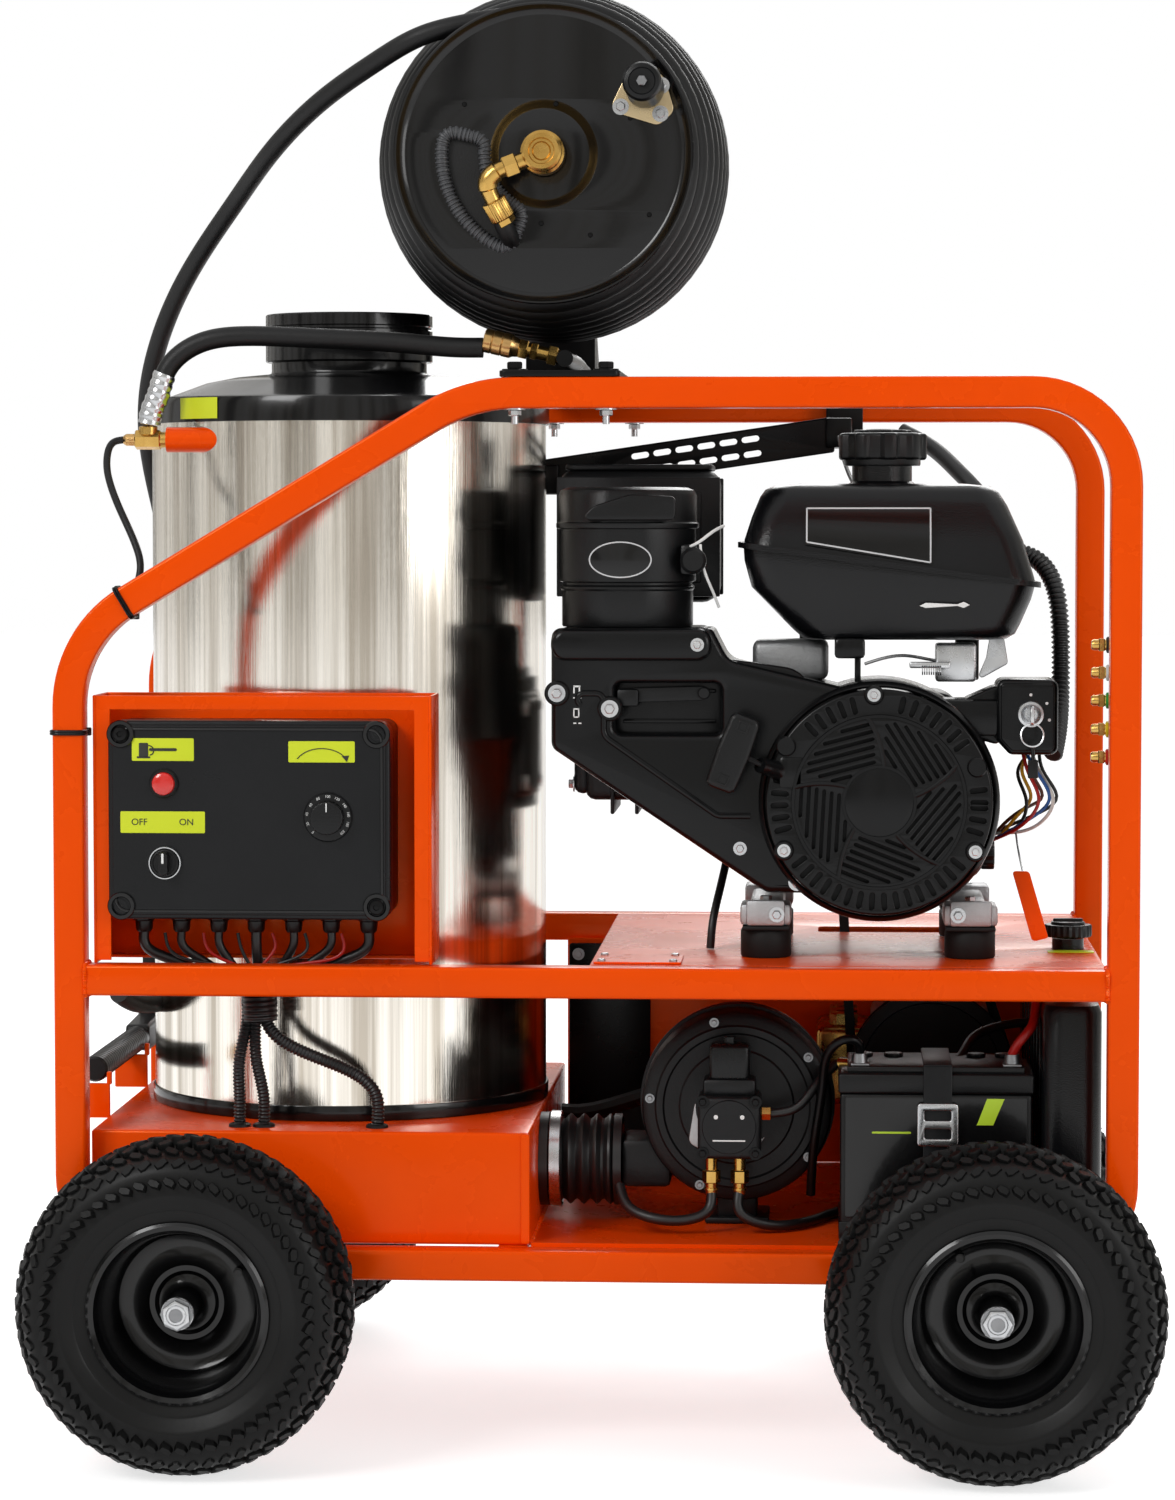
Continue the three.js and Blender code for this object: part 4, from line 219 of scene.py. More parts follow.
# %% Outlines
def rounded(corners, radii, steps=8):
    """An outline with each corner replaced by an arc: centre c + n r / sin(h), h half the corner's angle."""
    pts = np.asarray(corners, float)
    radii = np.broadcast_to(radii, len(pts))
    out = []
    for p, a, b, r in zip(pts, np.roll(pts, 1, 0), np.roll(pts, -1, 0), radii):
        if r <= 0:
            out.append(p[None])
            continue
        u, w = (a - p) / np.linalg.norm(a - p), (b - p) / np.linalg.norm(b - p)
        half = math.acos(np.clip(u @ w, -1, 1)) / 2
        centre = p + (u + w) / np.linalg.norm(u + w) * r / math.sin(half)
        t0 = math.atan2(*(p + u * r / math.tan(half) - centre)[::-1])
        t1 = math.atan2(*(p + w * r / math.tan(half) - centre)[::-1])
        t = t0 + ((t1 - t0 + math.pi) % TURN - math.pi) * np.linspace(0, 1, steps + 1)
        out.append(centre + r * around(t))
    return np.concatenate(out)

def rectangle(x, z, radius=0.0, steps=6):
    """A rectangle from its spans, with rounded corners."""
    return rounded([(x[0], z[0]), (x[1], z[0]), (x[1], z[1]), (x[0], z[1])], radius, steps)

def circle(radius, steps=32, at=(0, 0)):
    """A circle as an outline."""
    t = np.arange(steps) * TURN / steps
    return np.stack([at[0] + radius * np.cos(t), at[1] + radius * np.sin(t)], -1)

def inset(outline, distance):
    """An outline moved inwards along the mitre of its corners. A negative distance moves it outwards."""
    before = outline - np.roll(outline, 1, 0)
    after = np.roll(outline, -1, 0) - outline
    area = np.sum(outline[:, 0] * np.roll(outline, -1, 0)[:, 1] - outline[:, 1] * np.roll(outline, -1, 0)[:,
            0])
    side = 1 if area > 0 else -1
    normals = [np.stack([-e[:, 1], e[:, 0]], -1) / np.maximum(np.linalg.norm(e, axis=1), 1e-9)[:, None]
               for e in (before, after)]
    mitre = normals[0] + normals[1]
    mitre = mitre / np.maximum(np.sum(mitre * normals[0], 1), 0.35)[:, None]
    return outline + side * distance * mitre

# %% Solids from outlines
def plate(outline, low, high, bevel=1.0, holes=(), steps=3, hole_bevel=None):
    """A flat plate between two heights, with rounded rims. The rim is a quarter circle of radius bevel:
    the outline moves in by b (1 - sin t) while the height moves by b (1 - cos t)."""
    rings, top, bottom, base = [], [], [], 0
    t = np.linspace(0, math.pi / 2, steps + 1)
    for k, loop in enumerate([np.asarray(loop, float) for loop in (outline, *holes)]):
        b = bevel if k == 0 or hole_bevel is None else hole_bevel
        inward = b if k == 0 else -b
        lower = [(inward * (1 - math.sin(a)), low + b * (1 - math.cos(a))) for a in t] if b else [(0.0, low)]
        upper = [(d, low + high - h) for d, h in reversed(lower)]
        loops = [np.column_stack([inset(loop, d), np.full(len(loop), h)]) for d, h in lower + upper]
        n = len(loop)
        rings.append((np.concatenate(loops), [grid(len(loops), n, wrap_cols=True)]))
        bottom.append((loops[0], base))
        top.append((loops[-1], base + (len(loops) - 1) * n))
        base += len(loops) * n
    points, faces = joined(*rings)
    for which in (bottom, top):
        numbers = np.concatenate([start + np.arange(len(loop)) for loop, start in which])
        tris = np.array(tessellate_polygon([[Vector(p) for p in loop] for loop, _ in which]))
        faces.append(numbers[tris])
    return points, faces

def block(x, y, z, bevel=1.0, steps=2):
    """A box from its spans with every edge rounded."""
    bm = bmesh.new()
    bmesh.ops.create_cube(bm, size=1)
    size = np.array([x[1] - x[0], y[1] - y[0], z[1] - z[0]])
    bmesh.ops.scale(bm, vec=Vector(size), verts=bm.verts)
    if bevel:
        bmesh.ops.bevel(bm, geom=bm.edges[:], offset=min(bevel, size.min() * 0.45), segments=steps,
                        profile=0.5, affect="EDGES")
    v = np.array([p.co[:] for p in bm.verts]) + [(a + b) / 2 for a, b in (x, y, z)]
    groups = {}
    for f in bm.faces:
        groups.setdefault(len(f.verts), []).append([p.index for p in f.verts])
    bm.free()
    return v, [np.array(g) for g in groups.values()]

def revolve(profile, steps=48):
    """A profile of (radius, height) turned about Z: x = r cos t, y = r sin t. Ends off the axis stay open."""
    p = np.asarray(profile, float)
    t = np.arange(steps) * TURN / steps
    ring = around(t)
    v = np.concatenate([p[:, None, :1] * ring[None], np.broadcast_to(p[:, None, 1:], (len(p), steps, 1))], -1)
    return v.reshape(-1, 3), [grid(len(p), steps, wrap_cols=True)]

def ring_of(profile, steps=48):
    """A closed profile turned about Z, such as a tyre or an open pipe."""
    p = np.asarray(profile, float)
    return revolve(np.concatenate([p, p[:1]]), steps)

def rod(radius, low, high, steps=20):
    """A plain cylinder between two heights."""
    return revolve([(0, low), (radius, low), (radius, high), (0, high)], steps)

def sleeve(inner, outer, low, high, steps=48):
    """A straight pipe between two heights."""
    return ring_of([(inner, low), (outer, low), (outer, high), (inner, high)], steps)

def hex_bar(radius, low, high, bevel):
    """A hexagonal bar, measured from its centre to its corners, with its end edges turned off."""
    return plate(circle(radius, 6), low, high, bevel, steps=1)

# %% Solids along a path
def spline(points, count):
    """A natural cubic curve through points, by chord length: a tridiagonal system gives its second
    derivatives. It is read at evenly spaced lengths."""
    p = np.asarray(points, float)
    n = len(p)
    s = np.concatenate([[0], np.cumsum(np.linalg.norm(np.diff(p, axis=0), axis=1))])
    h = np.diff(s)
    a = np.eye(n)
    b = np.zeros((n, p.shape[1]))
    i = np.arange(1, n - 1)
    a[i, i - 1], a[i, i], a[i, i + 1] = h[:-1], 2 * (h[:-1] + h[1:]), h[1:]
    slopes = np.diff(p, axis=0) / h[:, None]
    b[1:-1] = 6 * np.diff(slopes, axis=0)
    m = np.linalg.solve(a, b)

    def read(at):
        """The curve at the lengths given, from the second derivatives at both ends of each span."""
        k = np.clip(np.searchsorted(s, at, side="right") - 1, 0, n - 2)
        d, w = (at - s[k])[:, None], h[k][:, None]
        c0 = p[k] + d * ((p[k + 1] - p[k]) / w - w * (2 * m[k] + m[k + 1]) / 6)
        return c0 + d ** 2 * m[k] / 2 + d ** 3 * (m[k + 1] - m[k]) / (6 * w)

    fine = read(np.linspace(0, s[-1], 8 * count))
    length = np.concatenate([[0], np.cumsum(np.linalg.norm(np.diff(fine, axis=0), axis=1))])
    want = np.linspace(0, length[-1], count)
    return np.stack([np.interp(want, length, fine[:, k]) for k in range(p.shape[1])], -1)

def frames(path):
    """Two unit vectors across a path at each point, carried along without twist."""
    tangent = np.gradient(path, axis=0)
    tangent /= np.linalg.norm(tangent, axis=1)[:, None]
    first = np.cross(tangent[0], (0, 0, 1) if abs(tangent[0][2]) < 0.9 else (1, 0, 0))
    across = [first / np.linalg.norm(first)]
    for t in tangent[1:]:
        side = across[-1] - t * (across[-1] @ t)
        across.append(side / np.linalg.norm(side))
    across = np.array(across)
    return across, np.cross(tangent, across)

def tube(path, radius, sides=16, caps=True):
    """A round tube: centre + r (u cos t + w sin t). The radius may change along the path."""
    path = np.asarray(path, float)
    u, w = frames(path)
    r = np.broadcast_to(radius, len(path))[:, None, None]
    t = np.arange(sides) * TURN / sides
    v = path[:, None] + r * (u[:, None] * np.cos(t)[None, :, None] + w[:, None] * np.sin(t)[None, :, None])
    faces = [grid(len(path), sides, wrap_cols=True)]
    if caps:
        faces += [np.arange(sides)[None, ::-1], (len(path) - 1) * sides + np.arange(sides)[None]]
    return v.reshape(-1, 3), faces

def pipe(points, count, radius, sides):
    """A tube along the smooth curve through points."""
    return tube(spline(points, count), radius, sides)

def ribbed(path, radius, depth, pitch, sides=14):
    """A corrugated tube: the radius swings as depth / 2 sin(2 pi s / pitch) along its length s."""
    length = np.sum(np.linalg.norm(np.diff(path, axis=0), axis=1))
    fine = spline(path, max(int(length / pitch * 6), 12))
    s = np.linspace(0, length, len(fine))
    return tube(fine, radius + depth / 2 * np.sin(TURN * s / pitch), sides)

# %% Fasteners
def hexagon(width, low, high):
    """A hexagon head or nut, measured across its flats, with its top corners turned off."""
    return hex_bar(width / math.cos(math.pi / 6) / 2, low, high, width * 0.08)

def bolt(at, axis, width, washer=True):
    """A bolt head on a washer, seated at a point and looking along an axis."""
    disc = rod(width * 0.95, 0, width * 0.12)
    head = hexagon(width, width * 0.12, width * 0.66)
    return moved(joined(disc, head) if washer else head, at, axis, spin=(at[0] * 7 + at[2] * 3) % 1)

def cap_screw(at, axis, width):
    """A low round head with a dimple for its drive."""
    head = revolve([(0, 0), (width / 2, 0), (width / 2, width * 0.18), (width * 0.42, width * 0.3),
                    (width * 0.2, width * 0.34), (width * 0.17, width * 0.2), (0, width * 0.2)], 20)
    return moved(head, at, axis)

# %% From arrays to objects
pieces, usual_slots = [], {}

def piece(name, shape, material, body="chassis", replaces=(), sharp=32):
    """A mesh object from one or several shapes in millimetres, smooth but for edges sharper than an
    angle."""
    v, faces = joined(*shape) if isinstance(shape, list) else shape
    mesh = bpy.data.meshes.new(name)
    loops = np.concatenate([f.reshape(-1) for f in faces]).astype(np.int32)
    sizes = np.concatenate([np.full(len(f), f.shape[1]) for f in faces]).astype(np.int32)
    mesh.vertices.add(len(v))
    mesh.vertices.foreach_set("co", (v * MM).astype(np.float32).reshape(-1))
    mesh.loops.add(len(loops))
    mesh.loops.foreach_set("vertex_index", loops)
    mesh.polygons.add(len(sizes))
    mesh.polygons.foreach_set("loop_start", np.concatenate([[0], np.cumsum(sizes)[:-1]]).astype(np.int32))
    mesh.update(calc_edges=True)
    mesh.validate()
    bm = bmesh.new()
    bm.from_mesh(mesh)
    bmesh.ops.remove_doubles(bm, verts=bm.verts, dist=0.00001)
    bmesh.ops.recalc_face_normals(bm, faces=bm.faces)
    bm.to_mesh(mesh)
    bm.free()
    mesh.shade_smooth()
    mesh.set_sharp_from_angle(angle=math.radians(sharp))
    mesh.materials.append(material)
    obj = bpy.data.objects.new(name, mesh)
    bpy.context.scene.collection.objects.link(obj)
    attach(obj, body)
    if replaces:
        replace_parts(obj, *([replaces] if isinstance(replaces, str) else replaces))
    pieces.append(obj)
    return obj

# %% [markdown]
# ## Materials
# Each finish is a Principled shader fed by small node groups. A group gives out only masks, values or
# normals, so the shader itself stays in the material.

# %% Reliefs and masks
def bump_group(name, detail, stretch=(1, 1, 1), kind="noise"):
    """A relief from a noise or cell texture over object coordinates, stretched along the axes."""
    tree, gin, gout = group(name, {"Scale": 100.0, "Height": 0.1}, {"Normal": "NodeSocketVector"})
    coords = node(tree, "ShaderNodeTexCoord")
    mapped = node(tree, "ShaderNodeMapping", Scale=stretch)
    if kind == "noise":
        texture, output = node(tree, "ShaderNodeTexNoise", Detail=detail, Roughness=0.6), "Fac"
    else:
        texture, output = node(tree, "ShaderNodeTexVoronoi"), "Distance"
    relief = node(tree, "ShaderNodeBump", Distance=0.001)
    wire(tree, (coords.outputs["Object"], mapped.inputs["Vector"]),
         (mapped.outputs[0], texture.inputs["Vector"]),
         (gin.outputs["Scale"], texture.inputs["Scale"]), (texture.outputs[output], relief.inputs["Height"]),
         (gin.outputs["Height"], relief.inputs["Strength"]), (relief.outputs[0], gout.inputs["Normal"]))
    return tree

def smudge_group():
    """A slow, low-contrast mask from a noise, for gloss that differs from place to place."""
    tree, gin, gout = group("smudges", {"Scale": 9.0, "Low": 0.25, "High": 0.4}, {"Value": "NodeSocketFloat"})
    coords = node(tree, "ShaderNodeTexCoord")
    noise = node(tree, "ShaderNodeTexNoise", Detail=5.0, Roughness=0.62, Distortion=0.4)
    ramp = node(tree, "ShaderNodeMapRange", From_Min=0.32, From_Max=0.68)
    wire(tree, (coords.outputs["Object"], noise.inputs["Vector"]),
         (gin.outputs["Scale"], noise.inputs["Scale"]),
         (noise.outputs["Fac"], ramp.inputs["Value"]), (gin.outputs["Low"], ramp.inputs["To Min"]),
         (gin.outputs["High"], ramp.inputs["To Max"]), (ramp.outputs[0], gout.inputs["Value"]))
    return tree

PEEL = bump_group("orange peel", 2.0)
GRAIN = bump_group("moulded grain", 4.0, kind="cells")
BRUSH_Z = bump_group("brushed upright", 3.0, (1, 1, 0.012))
CAST = bump_group("cast skin", 6.0)
SMUDGE = smudge_group()

def finish(name, colour, rough=(0.3, 0.4), metal=0.0, relief=None, scale=100.0, height=0.1, second=None,
           smudge=9.0, slot="satin_plastic", **sockets):
    """A Principled material: a base colour that drifts towards a second one with the smudges, gloss
    between two values and a relief group. Its usual slot is noted in usual_slots."""
    mat = bpy.data.materials.new(name)
    usual_slots[mat.name] = slot
    mat.use_nodes = True
    tree = mat.node_tree
    shader = tree.nodes["Principled BSDF"]
    shader.inputs["Metallic"].default_value = metal
    shader.inputs["Base Color"].default_value = linear(colour)
    for key, value in sockets.items():
        shader.inputs[key.replace("_", " ")].default_value = value
    patches = node(tree, "ShaderNodeGroup", {"node_tree": SMUDGE}, Scale=smudge, Low=rough[0], High=rough[1])
    wire(tree, (patches.outputs["Value"], shader.inputs["Roughness"]))
    if second:
        drift = node(tree, "ShaderNodeGroup", {"node_tree": SMUDGE}, Scale=smudge * 0.6, Low=0.0, High=1.0)
        mix = node(tree, "ShaderNodeMix", {"data_type": "RGBA"})
        mix.inputs[6].default_value, mix.inputs[7].default_value = linear(colour), linear(second)
        wire(tree, (drift.outputs["Value"], mix.inputs[0]), (mix.outputs[2], shader.inputs["Base Color"]))
    if relief:
        bumps = node(tree, "ShaderNodeGroup", {"node_tree": relief}, Scale=scale, Height=height)
        wire(tree, (bumps.outputs["Normal"], shader.inputs["Normal"]))
    return mat

# %% Paints, plastics and rubbers
ORANGE = finish("orange_powder_coat", "#f24a00", (0.22, 0.34), relief=PEEL, scale=420, height=0.05,
                second="#eb4600", Specular_Tint=(1, 0.4, 0.08, 1), Coat_Weight=0.06, Coat_Roughness=0.12,
                slot="orange_paint")
GLOSS_BLACK = finish("gloss_black_paint", "#060607", (0.16, 0.26), relief=PEEL, scale=260, height=0.03,
                     second="#0a0a0b", Specular_IOR_Level=0.25, Coat_Weight=0.25, Coat_Roughness=0.08,
                     slot="black_paint")
REEL_BLACK = finish("satin_black_paint", "#060607", (0.24, 0.36), relief=PEEL, scale=420, height=0.05,
                    second="#09090a", Specular_IOR_Level=0.17, slot="black_paint")
ENGINE_BLACK = finish("engine_black", "#0b0b0c", (0.17, 0.27), relief=PEEL, scale=600, height=0.05,
                      second="#0f1011", Specular_IOR_Level=0.2, slot="engine_paint")
MOULDED = finish("moulded_black", "#0d0d0e", (0.26, 0.38), relief=GRAIN, scale=900, height=0.12,
                 second="#111213", Specular_IOR_Level=0.24)
TANK = finish("tank_black", "#0b0b0d", (0.17, 0.26), relief=GRAIN, scale=700, height=0.16, second="#0f1012",
              Specular_IOR_Level=0.26, slot="tank_plastic")
CONTROL_GREY = finish("enclosure_grey", "#0d0e10", (0.26, 0.36), relief=GRAIN, scale=1100, height=0.1,
                      second="#141517", Specular_IOR_Level=0.22)
RUBBER = finish("tyre_rubber", "#070707", (0.36, 0.5), relief=CAST, scale=160, height=0.15,
                second="#0b0b0b", Specular_IOR_Level=0.2, slot="tyre_rubber")
HOSE = finish("hose_rubber", "#090909", (0.42, 0.56), relief=CAST, scale=520, height=0.3, second="#0e0e0f",
              Specular_IOR_Level=0.3, slot="hose_rubber")
CONDUIT = finish("conduit_black", "#0b0b0c", (0.35, 0.5), second="#161617", slot="hose_rubber")
MOUNT_RUBBER = finish("mount_rubber", "#0c0c0c", (0.5, 0.65), relief=CAST, scale=240, height=0.1,
                      Specular_IOR_Level=0.25, slot="mount_rubber")
# The darker second tone of the stainless is partly painted reflection. It follows the upright streaks set
# below.
STAINLESS = finish("brushed_stainless", "#f0ebe2", (0.09, 0.16), 1.0, relief=BRUSH_Z, scale=900,
                   height=0.12, second="#b7aea1", smudge=3.0, Anisotropic=0.5, slot="stainless")

# %% Streaked stainless steel
# The two tones of the boiler's wrap follow upright streaks instead of the smudges. The streaks are partly
# brushing grain and partly painted reflection: the darker tone stands for the dark upright bands that the
# wrap mirrors.
grain_and_reflection_streaks = bpy.data.node_groups.new("upright_grain_and_reflection_streaks", "ShaderNodeTree")
grain_and_reflection_streaks.interface.new_socket("Value", in_out="OUTPUT", socket_type="NodeSocketFloat")
spots = node(grain_and_reflection_streaks, "ShaderNodeTexCoord")
stretch = node(grain_and_reflection_streaks, "ShaderNodeMapping", Scale=(1, 1, 0.012))
grain = node(grain_and_reflection_streaks, "ShaderNodeTexNoise", Scale=46.0, Detail=4.0, Roughness=0.7)
spread = node(grain_and_reflection_streaks, "ShaderNodeMapRange", From_Min=0.4, From_Max=0.6)
group_out = node(grain_and_reflection_streaks, "NodeGroupOutput")
wire(grain_and_reflection_streaks, (spots.outputs["Object"], stretch.inputs[0]), (stretch.outputs[0], grain.inputs["Vector"]),
     (grain.outputs[0], spread.inputs["Value"]), (spread.outputs[0], group_out.inputs[0]))
steel_tree = STAINLESS.node_tree
steel_mix = next(n for n in steel_tree.nodes if n.type == "MIX")
steel_streaks = node(steel_tree, "ShaderNodeGroup", {"node_tree": grain_and_reflection_streaks})
wire(steel_tree, (steel_streaks.outputs[0], steel_mix.inputs[0]))

# %% Metals, prints and labels
PLATED = dict(metal=1.0, relief=CAST, scale=500, height=0.05, smudge=40, slot="steel")
ZINC = finish("bright_zinc", "#c9cacb", (0.22, 0.34), second="#b7b9bc", **PLATED)
MACHINED = finish("machined_steel", "#8f9092", (0.3, 0.45), 1.0, relief=CAST, scale=400, height=0.08,
                  second="#7d7e80", smudge=30, slot="steel")
YELLOW_ZINC = finish("yellow_zinc", "#c9a46a", (0.24, 0.36), second="#b98f5c", **PLATED)
PALE_ZINC = finish("pale_zinc", "#c4b18f", (0.24, 0.36), second="#b5a27e", **PLATED)
BRASS = finish("turned_brass", "#c8a35c", (0.2, 0.32), 1.0, relief=CAST, scale=500, height=0.05,
               second="#b28a45", smudge=40, slot="brass")
CAST_GREY = finish("cast_aluminium", "#bfc0c1", (0.38, 0.52), 0.7, relief=CAST, scale=260, height=0.5,
                   second="#858688", slot="cast_aluminium")
CAST_BLACK = finish("cast_black", "#0e0e0f", (0.38, 0.52), 0.1, relief=CAST, scale=260, height=0.3,
                    second="#141517", Specular_IOR_Level=0.28, slot="black_paint")
STICKER = finish("yellow_green_label", "#d4e01c", (0.4, 0.5), second="#cbd81a")
INK = finish("label_ink", "#1a1b12", (0.5, 0.6))
WHITE_INK = finish("white_print", "#e8e8e6", (0.45, 0.55))
RED_LENS = finish("red_lens", "#e00a0a", (0.12, 0.2), second="#ff2a1a", Transmission_Weight=0.25,
                  Coat_Weight=0.5)
RED_WIRE = finish("red_insulation", "#b3140c", (0.35, 0.45), slot="hose_rubber")
GREEN_PRINT = finish("battery_label_green", "#b4d333", (0.3, 0.4))
PALE_LABEL = finish("bare_pale_label", "#c9cacb", (0.35, 0.45))
GOLD_LABEL = finish("bare_gold_label", "#b89a4a", (0.3, 0.4), 0.6)

# %% Floor finish
FLOOR = finish("pale_floor", "#d2d2d2", (0.6, 0.7))
# Rays that look at the floor see it lifted towards white, while the light it gives back stays as it is.
FLOOR_GLOW = 0.69
floor_tree = FLOOR.node_tree
floor_shader = floor_tree.nodes["Principled BSDF"]
floor_shader.inputs["Emission Color"].default_value = (1, 1, 1, 1)
floor_lift = node(floor_tree, "ShaderNodeMath", {"operation": "MULTIPLY"})
floor_lift.inputs[1].default_value = FLOOR_GLOW
wire(floor_tree, (seen_rays(floor_tree)[1], floor_lift.inputs[0]),
     (floor_lift.outputs[0], floor_shader.inputs["Emission Strength"]))
print(len(bpy.data.materials), "materials")

# %% [markdown]
# ## The free hoses
# Both hoses follow the same points as their solids. The long one leaves the top of the reel, arches
# over behind the boiler and hangs down the left end to the spray gun.

# %% Hoses
HOSE_RADIUS = 10
SUPPLY_POINTS = np.array([
    (-0.452, -0.156, 1.008), (-0.449, -0.156, 1.022), (-0.443, -0.156, 1.036), (-0.434, -0.156, 1.061),
    (-0.417, -0.155, 1.0795), (-0.392, -0.155, 1.091), (-0.359, -0.154, 1.095), (-0.310, -0.153, 1.094),
    (-0.254, -0.152, 1.0915), (-0.193, -0.151, 1.0875), (-0.142, -0.150, 1.0834), (-0.118, -0.150, 1.0832),
])
FREE_POINTS = np.array([
    (-0.0874, -0.166, 1.4072), (-0.107, -0.166, 1.4052), (-0.1317, -0.1665, 1.401), (-0.173, -0.1655, 1.391),
    (-0.221, -0.142, 1.3695), (-0.286, -0.092, 1.3335), (-0.3435, -0.035, 1.289), (-0.389, 0.025, 1.2435),
    (-0.435, 0.075, 1.191), (-0.472, 0.120, 1.139), (-0.498, 0.160, 1.086), (-0.511, 0.190, 1.041),
    (-0.514, 0.212, 0.997), (-0.509, 0.228, 0.952), (-0.500, 0.236, 0.905), (-0.493, 0.239, 0.850),
    (-0.491, 0.240, 0.780), (-0.495, 0.240, 0.700), (-0.502, 0.239, 0.625), (-0.508, 0.239, 0.560),
    (-0.510, 0.239, 0.515), (-0.510, 0.239, 0.4906),
])

def free_hose(name, points, count, node_name):
    """A hose along its points, replacing its plain solid. It returns its object."""
    line = spline(points * 1000, count)
    obj = piece(name, tube(line, HOSE_RADIUS, 20), HOSE, replaces=node_name)
    return obj

free_hose("outlet_hose_line", FREE_POINTS, 200, "outlet_hose")
free_hose("supply_hose_line", SUPPLY_POINTS, 90, "supply_hose")

# %% [markdown]
# ## Frame and sheets
# The hoops are bent square tube with softly rounded edges, 30 mm wide. Weld beads run round the joints.
# Behind the burner a plain plate stands in the lower bay. A black sheet at its left end is painted shade that
# darkens that end of the bay.

# %% Side frames
FRAME_CORNERS = [(-525, 174), (525, 174), (525, 1049), (-123, 1049), (-525, 807)]
FRAME_RADII = np.array([100, 100, 105, 180, 135])
TUBE = 30

def wall(outline, y, bevel=1.0, holes=(), steps=3):
    """A plate whose outline lies in X and Z and whose thickness spans y."""
    return moved(plate(outline, -y[1], -y[0], bevel, holes, steps), axis="-y")

def across(outline, x, bevel=1.0, holes=(), steps=3):
    """A plate whose outline lies in Y and Z and whose thickness spans x."""
    return moved(plate(outline, x[0], x[1], bevel, holes, steps), axis="x")

def upright(outline, y):
    """An outline in X and Z as points at one Y."""
    return np.column_stack([outline[:, 0], np.full(len(outline), y), outline[:, 1]])

def hoop(y):
    """One bent hoop: the outline less the same outline moved in by the tube's width."""
    corners = np.array(FRAME_CORNERS, float)
    inner = inset(corners, TUBE)
    return wall(rounded(corners, FRAME_RADII, 14), y, 3.0, [rounded(inner, FRAME_RADII - TUBE, 14)])

def weld_bead(points, size=2.2, seed=1):
    """A rippled weld bead along a path: ripples of 2.5 mm pitch and a little noise in its size."""
    line = spline(points, max(int(np.sum(np.linalg.norm(np.diff(points, axis=0), axis=1)) / 0.9), 8))
    s = np.arange(len(line)) * 0.9
    noise = np.random.default_rng(seed).normal(0, 0.08, len(line))
    return tube(line, size * (1 + 0.14 * np.sin(TURN * s / 2.5) + noise), 8)

def square_loop(centre, half, axis):
    """Points along the four sides of a square tube, for a bead. The axis is the tube's."""
    a, b = [i for i in range(3) if "xyz"[i] != axis]
    signs = [(-1, -1), (1, -1), (1, 1), (-1, 1), (-1, -1)]
    pts = []
    for (s0, t0), (s1, t1) in zip(signs[:-1], signs[1:]):
        for share in (0.04, 0.5, 0.96):
            p = np.array(centre, float)
            p[a] += half * (s0 + (s1 - s0) * share)
            p[b] += half * (t0 + (t1 - t0) * share)
            pts.append(p)
    return np.array(pts)

def side_frame(side):
    """Hoop, mid rail and axle saddles of one side."""
    y = (-300, -270) if side < 0 else (270, 300)
    rail = block((-495.6, 495.6), y, (450, 480), 3.0, 3)
    saddles = [block((x - 22, x + 22), y, (144.5, 176), 2.0) for x in (-386, 386)]
    beads = [weld_bead(square_loop((x, np.mean(y), 465), 14.6, "x"), seed=seed)
             for seed, x in ((3, -494.5), (4, 494.5))]
    return joined(hoop(y), rail, saddles, beads)

cross_tubes = [block((x, x + 30), (-271, 269.7), (174, 204), 3.0, 3) for x in (-450, -95, 440)]
NOZZLE_Z = (682, 709, 737, 764, 791)
rack = across(rectangle((-269.6, -190), (623, 843), 6), (501, 505), 0.8,
              [circle(6.4, 24, (-232, z))[::-1] for z in NOZZLE_Z])
piece("near_frame_tubes", [side_frame(-1), cross_tubes], ORANGE, replaces="near_side_frame")
piece("nozzle_rack_plate", rack, REEL_BLACK)
SHADE_SHEET_Y = (259.2, 262.3)
BAY_PLATE_Y = (262.7, 265.7)
SHADE_SHEET_BOLT_Z = (222, 436)
piece("bay_plate", wall(rectangle((-60, 453), (207.8, 453.5), 2), BAY_PLATE_Y, 0.6), ORANGE)
# Painted shade: a black sheet with four bolts over the left end of the bay plate stands for the deep shade
# behind the burner.
shade_sheet = wall(rectangle((-58, 31), (209, 448), 3), SHADE_SHEET_Y, 0.8)
piece("bay_painted_shade_sheet", shade_sheet, REEL_BLACK)
shade_sheet_bolts = [bolt((x, SHADE_SHEET_Y[0], z), "-y", 7) for x in (-48, 21) for z in SHADE_SHEET_BOLT_Z]
piece("bay_shade_sheet_bolts", shade_sheet_bolts, MACHINED)
piece("far_frame_tubes", side_frame(1), ORANGE, replaces="far_side_frame")

# %% Boiler base, deck and floor
def base_box():
    """The welded box under the boiler: a rounded body, a shallow folded rim and the gun's two cradles."""
    body = block((-494.7, -63), (-269.7, 269.7), (204.3, 315), 3.5, 3)
    rim = wall(rectangle((-72, -63.4), (206, 314), 2), (-271.2, -267), 0.8)
    cradles = []
    for y in (-170, 60):
        cradles.append(block((-528.3, -493.7), (y, y + 6), (312, 346.7), 1.2))
        cradles += [block((x, x + 5), (y, y + 6), (345.7, 358.7), 1.4) for x in (-528.3, -496.7)]
    return joined(body, rim, cradles)

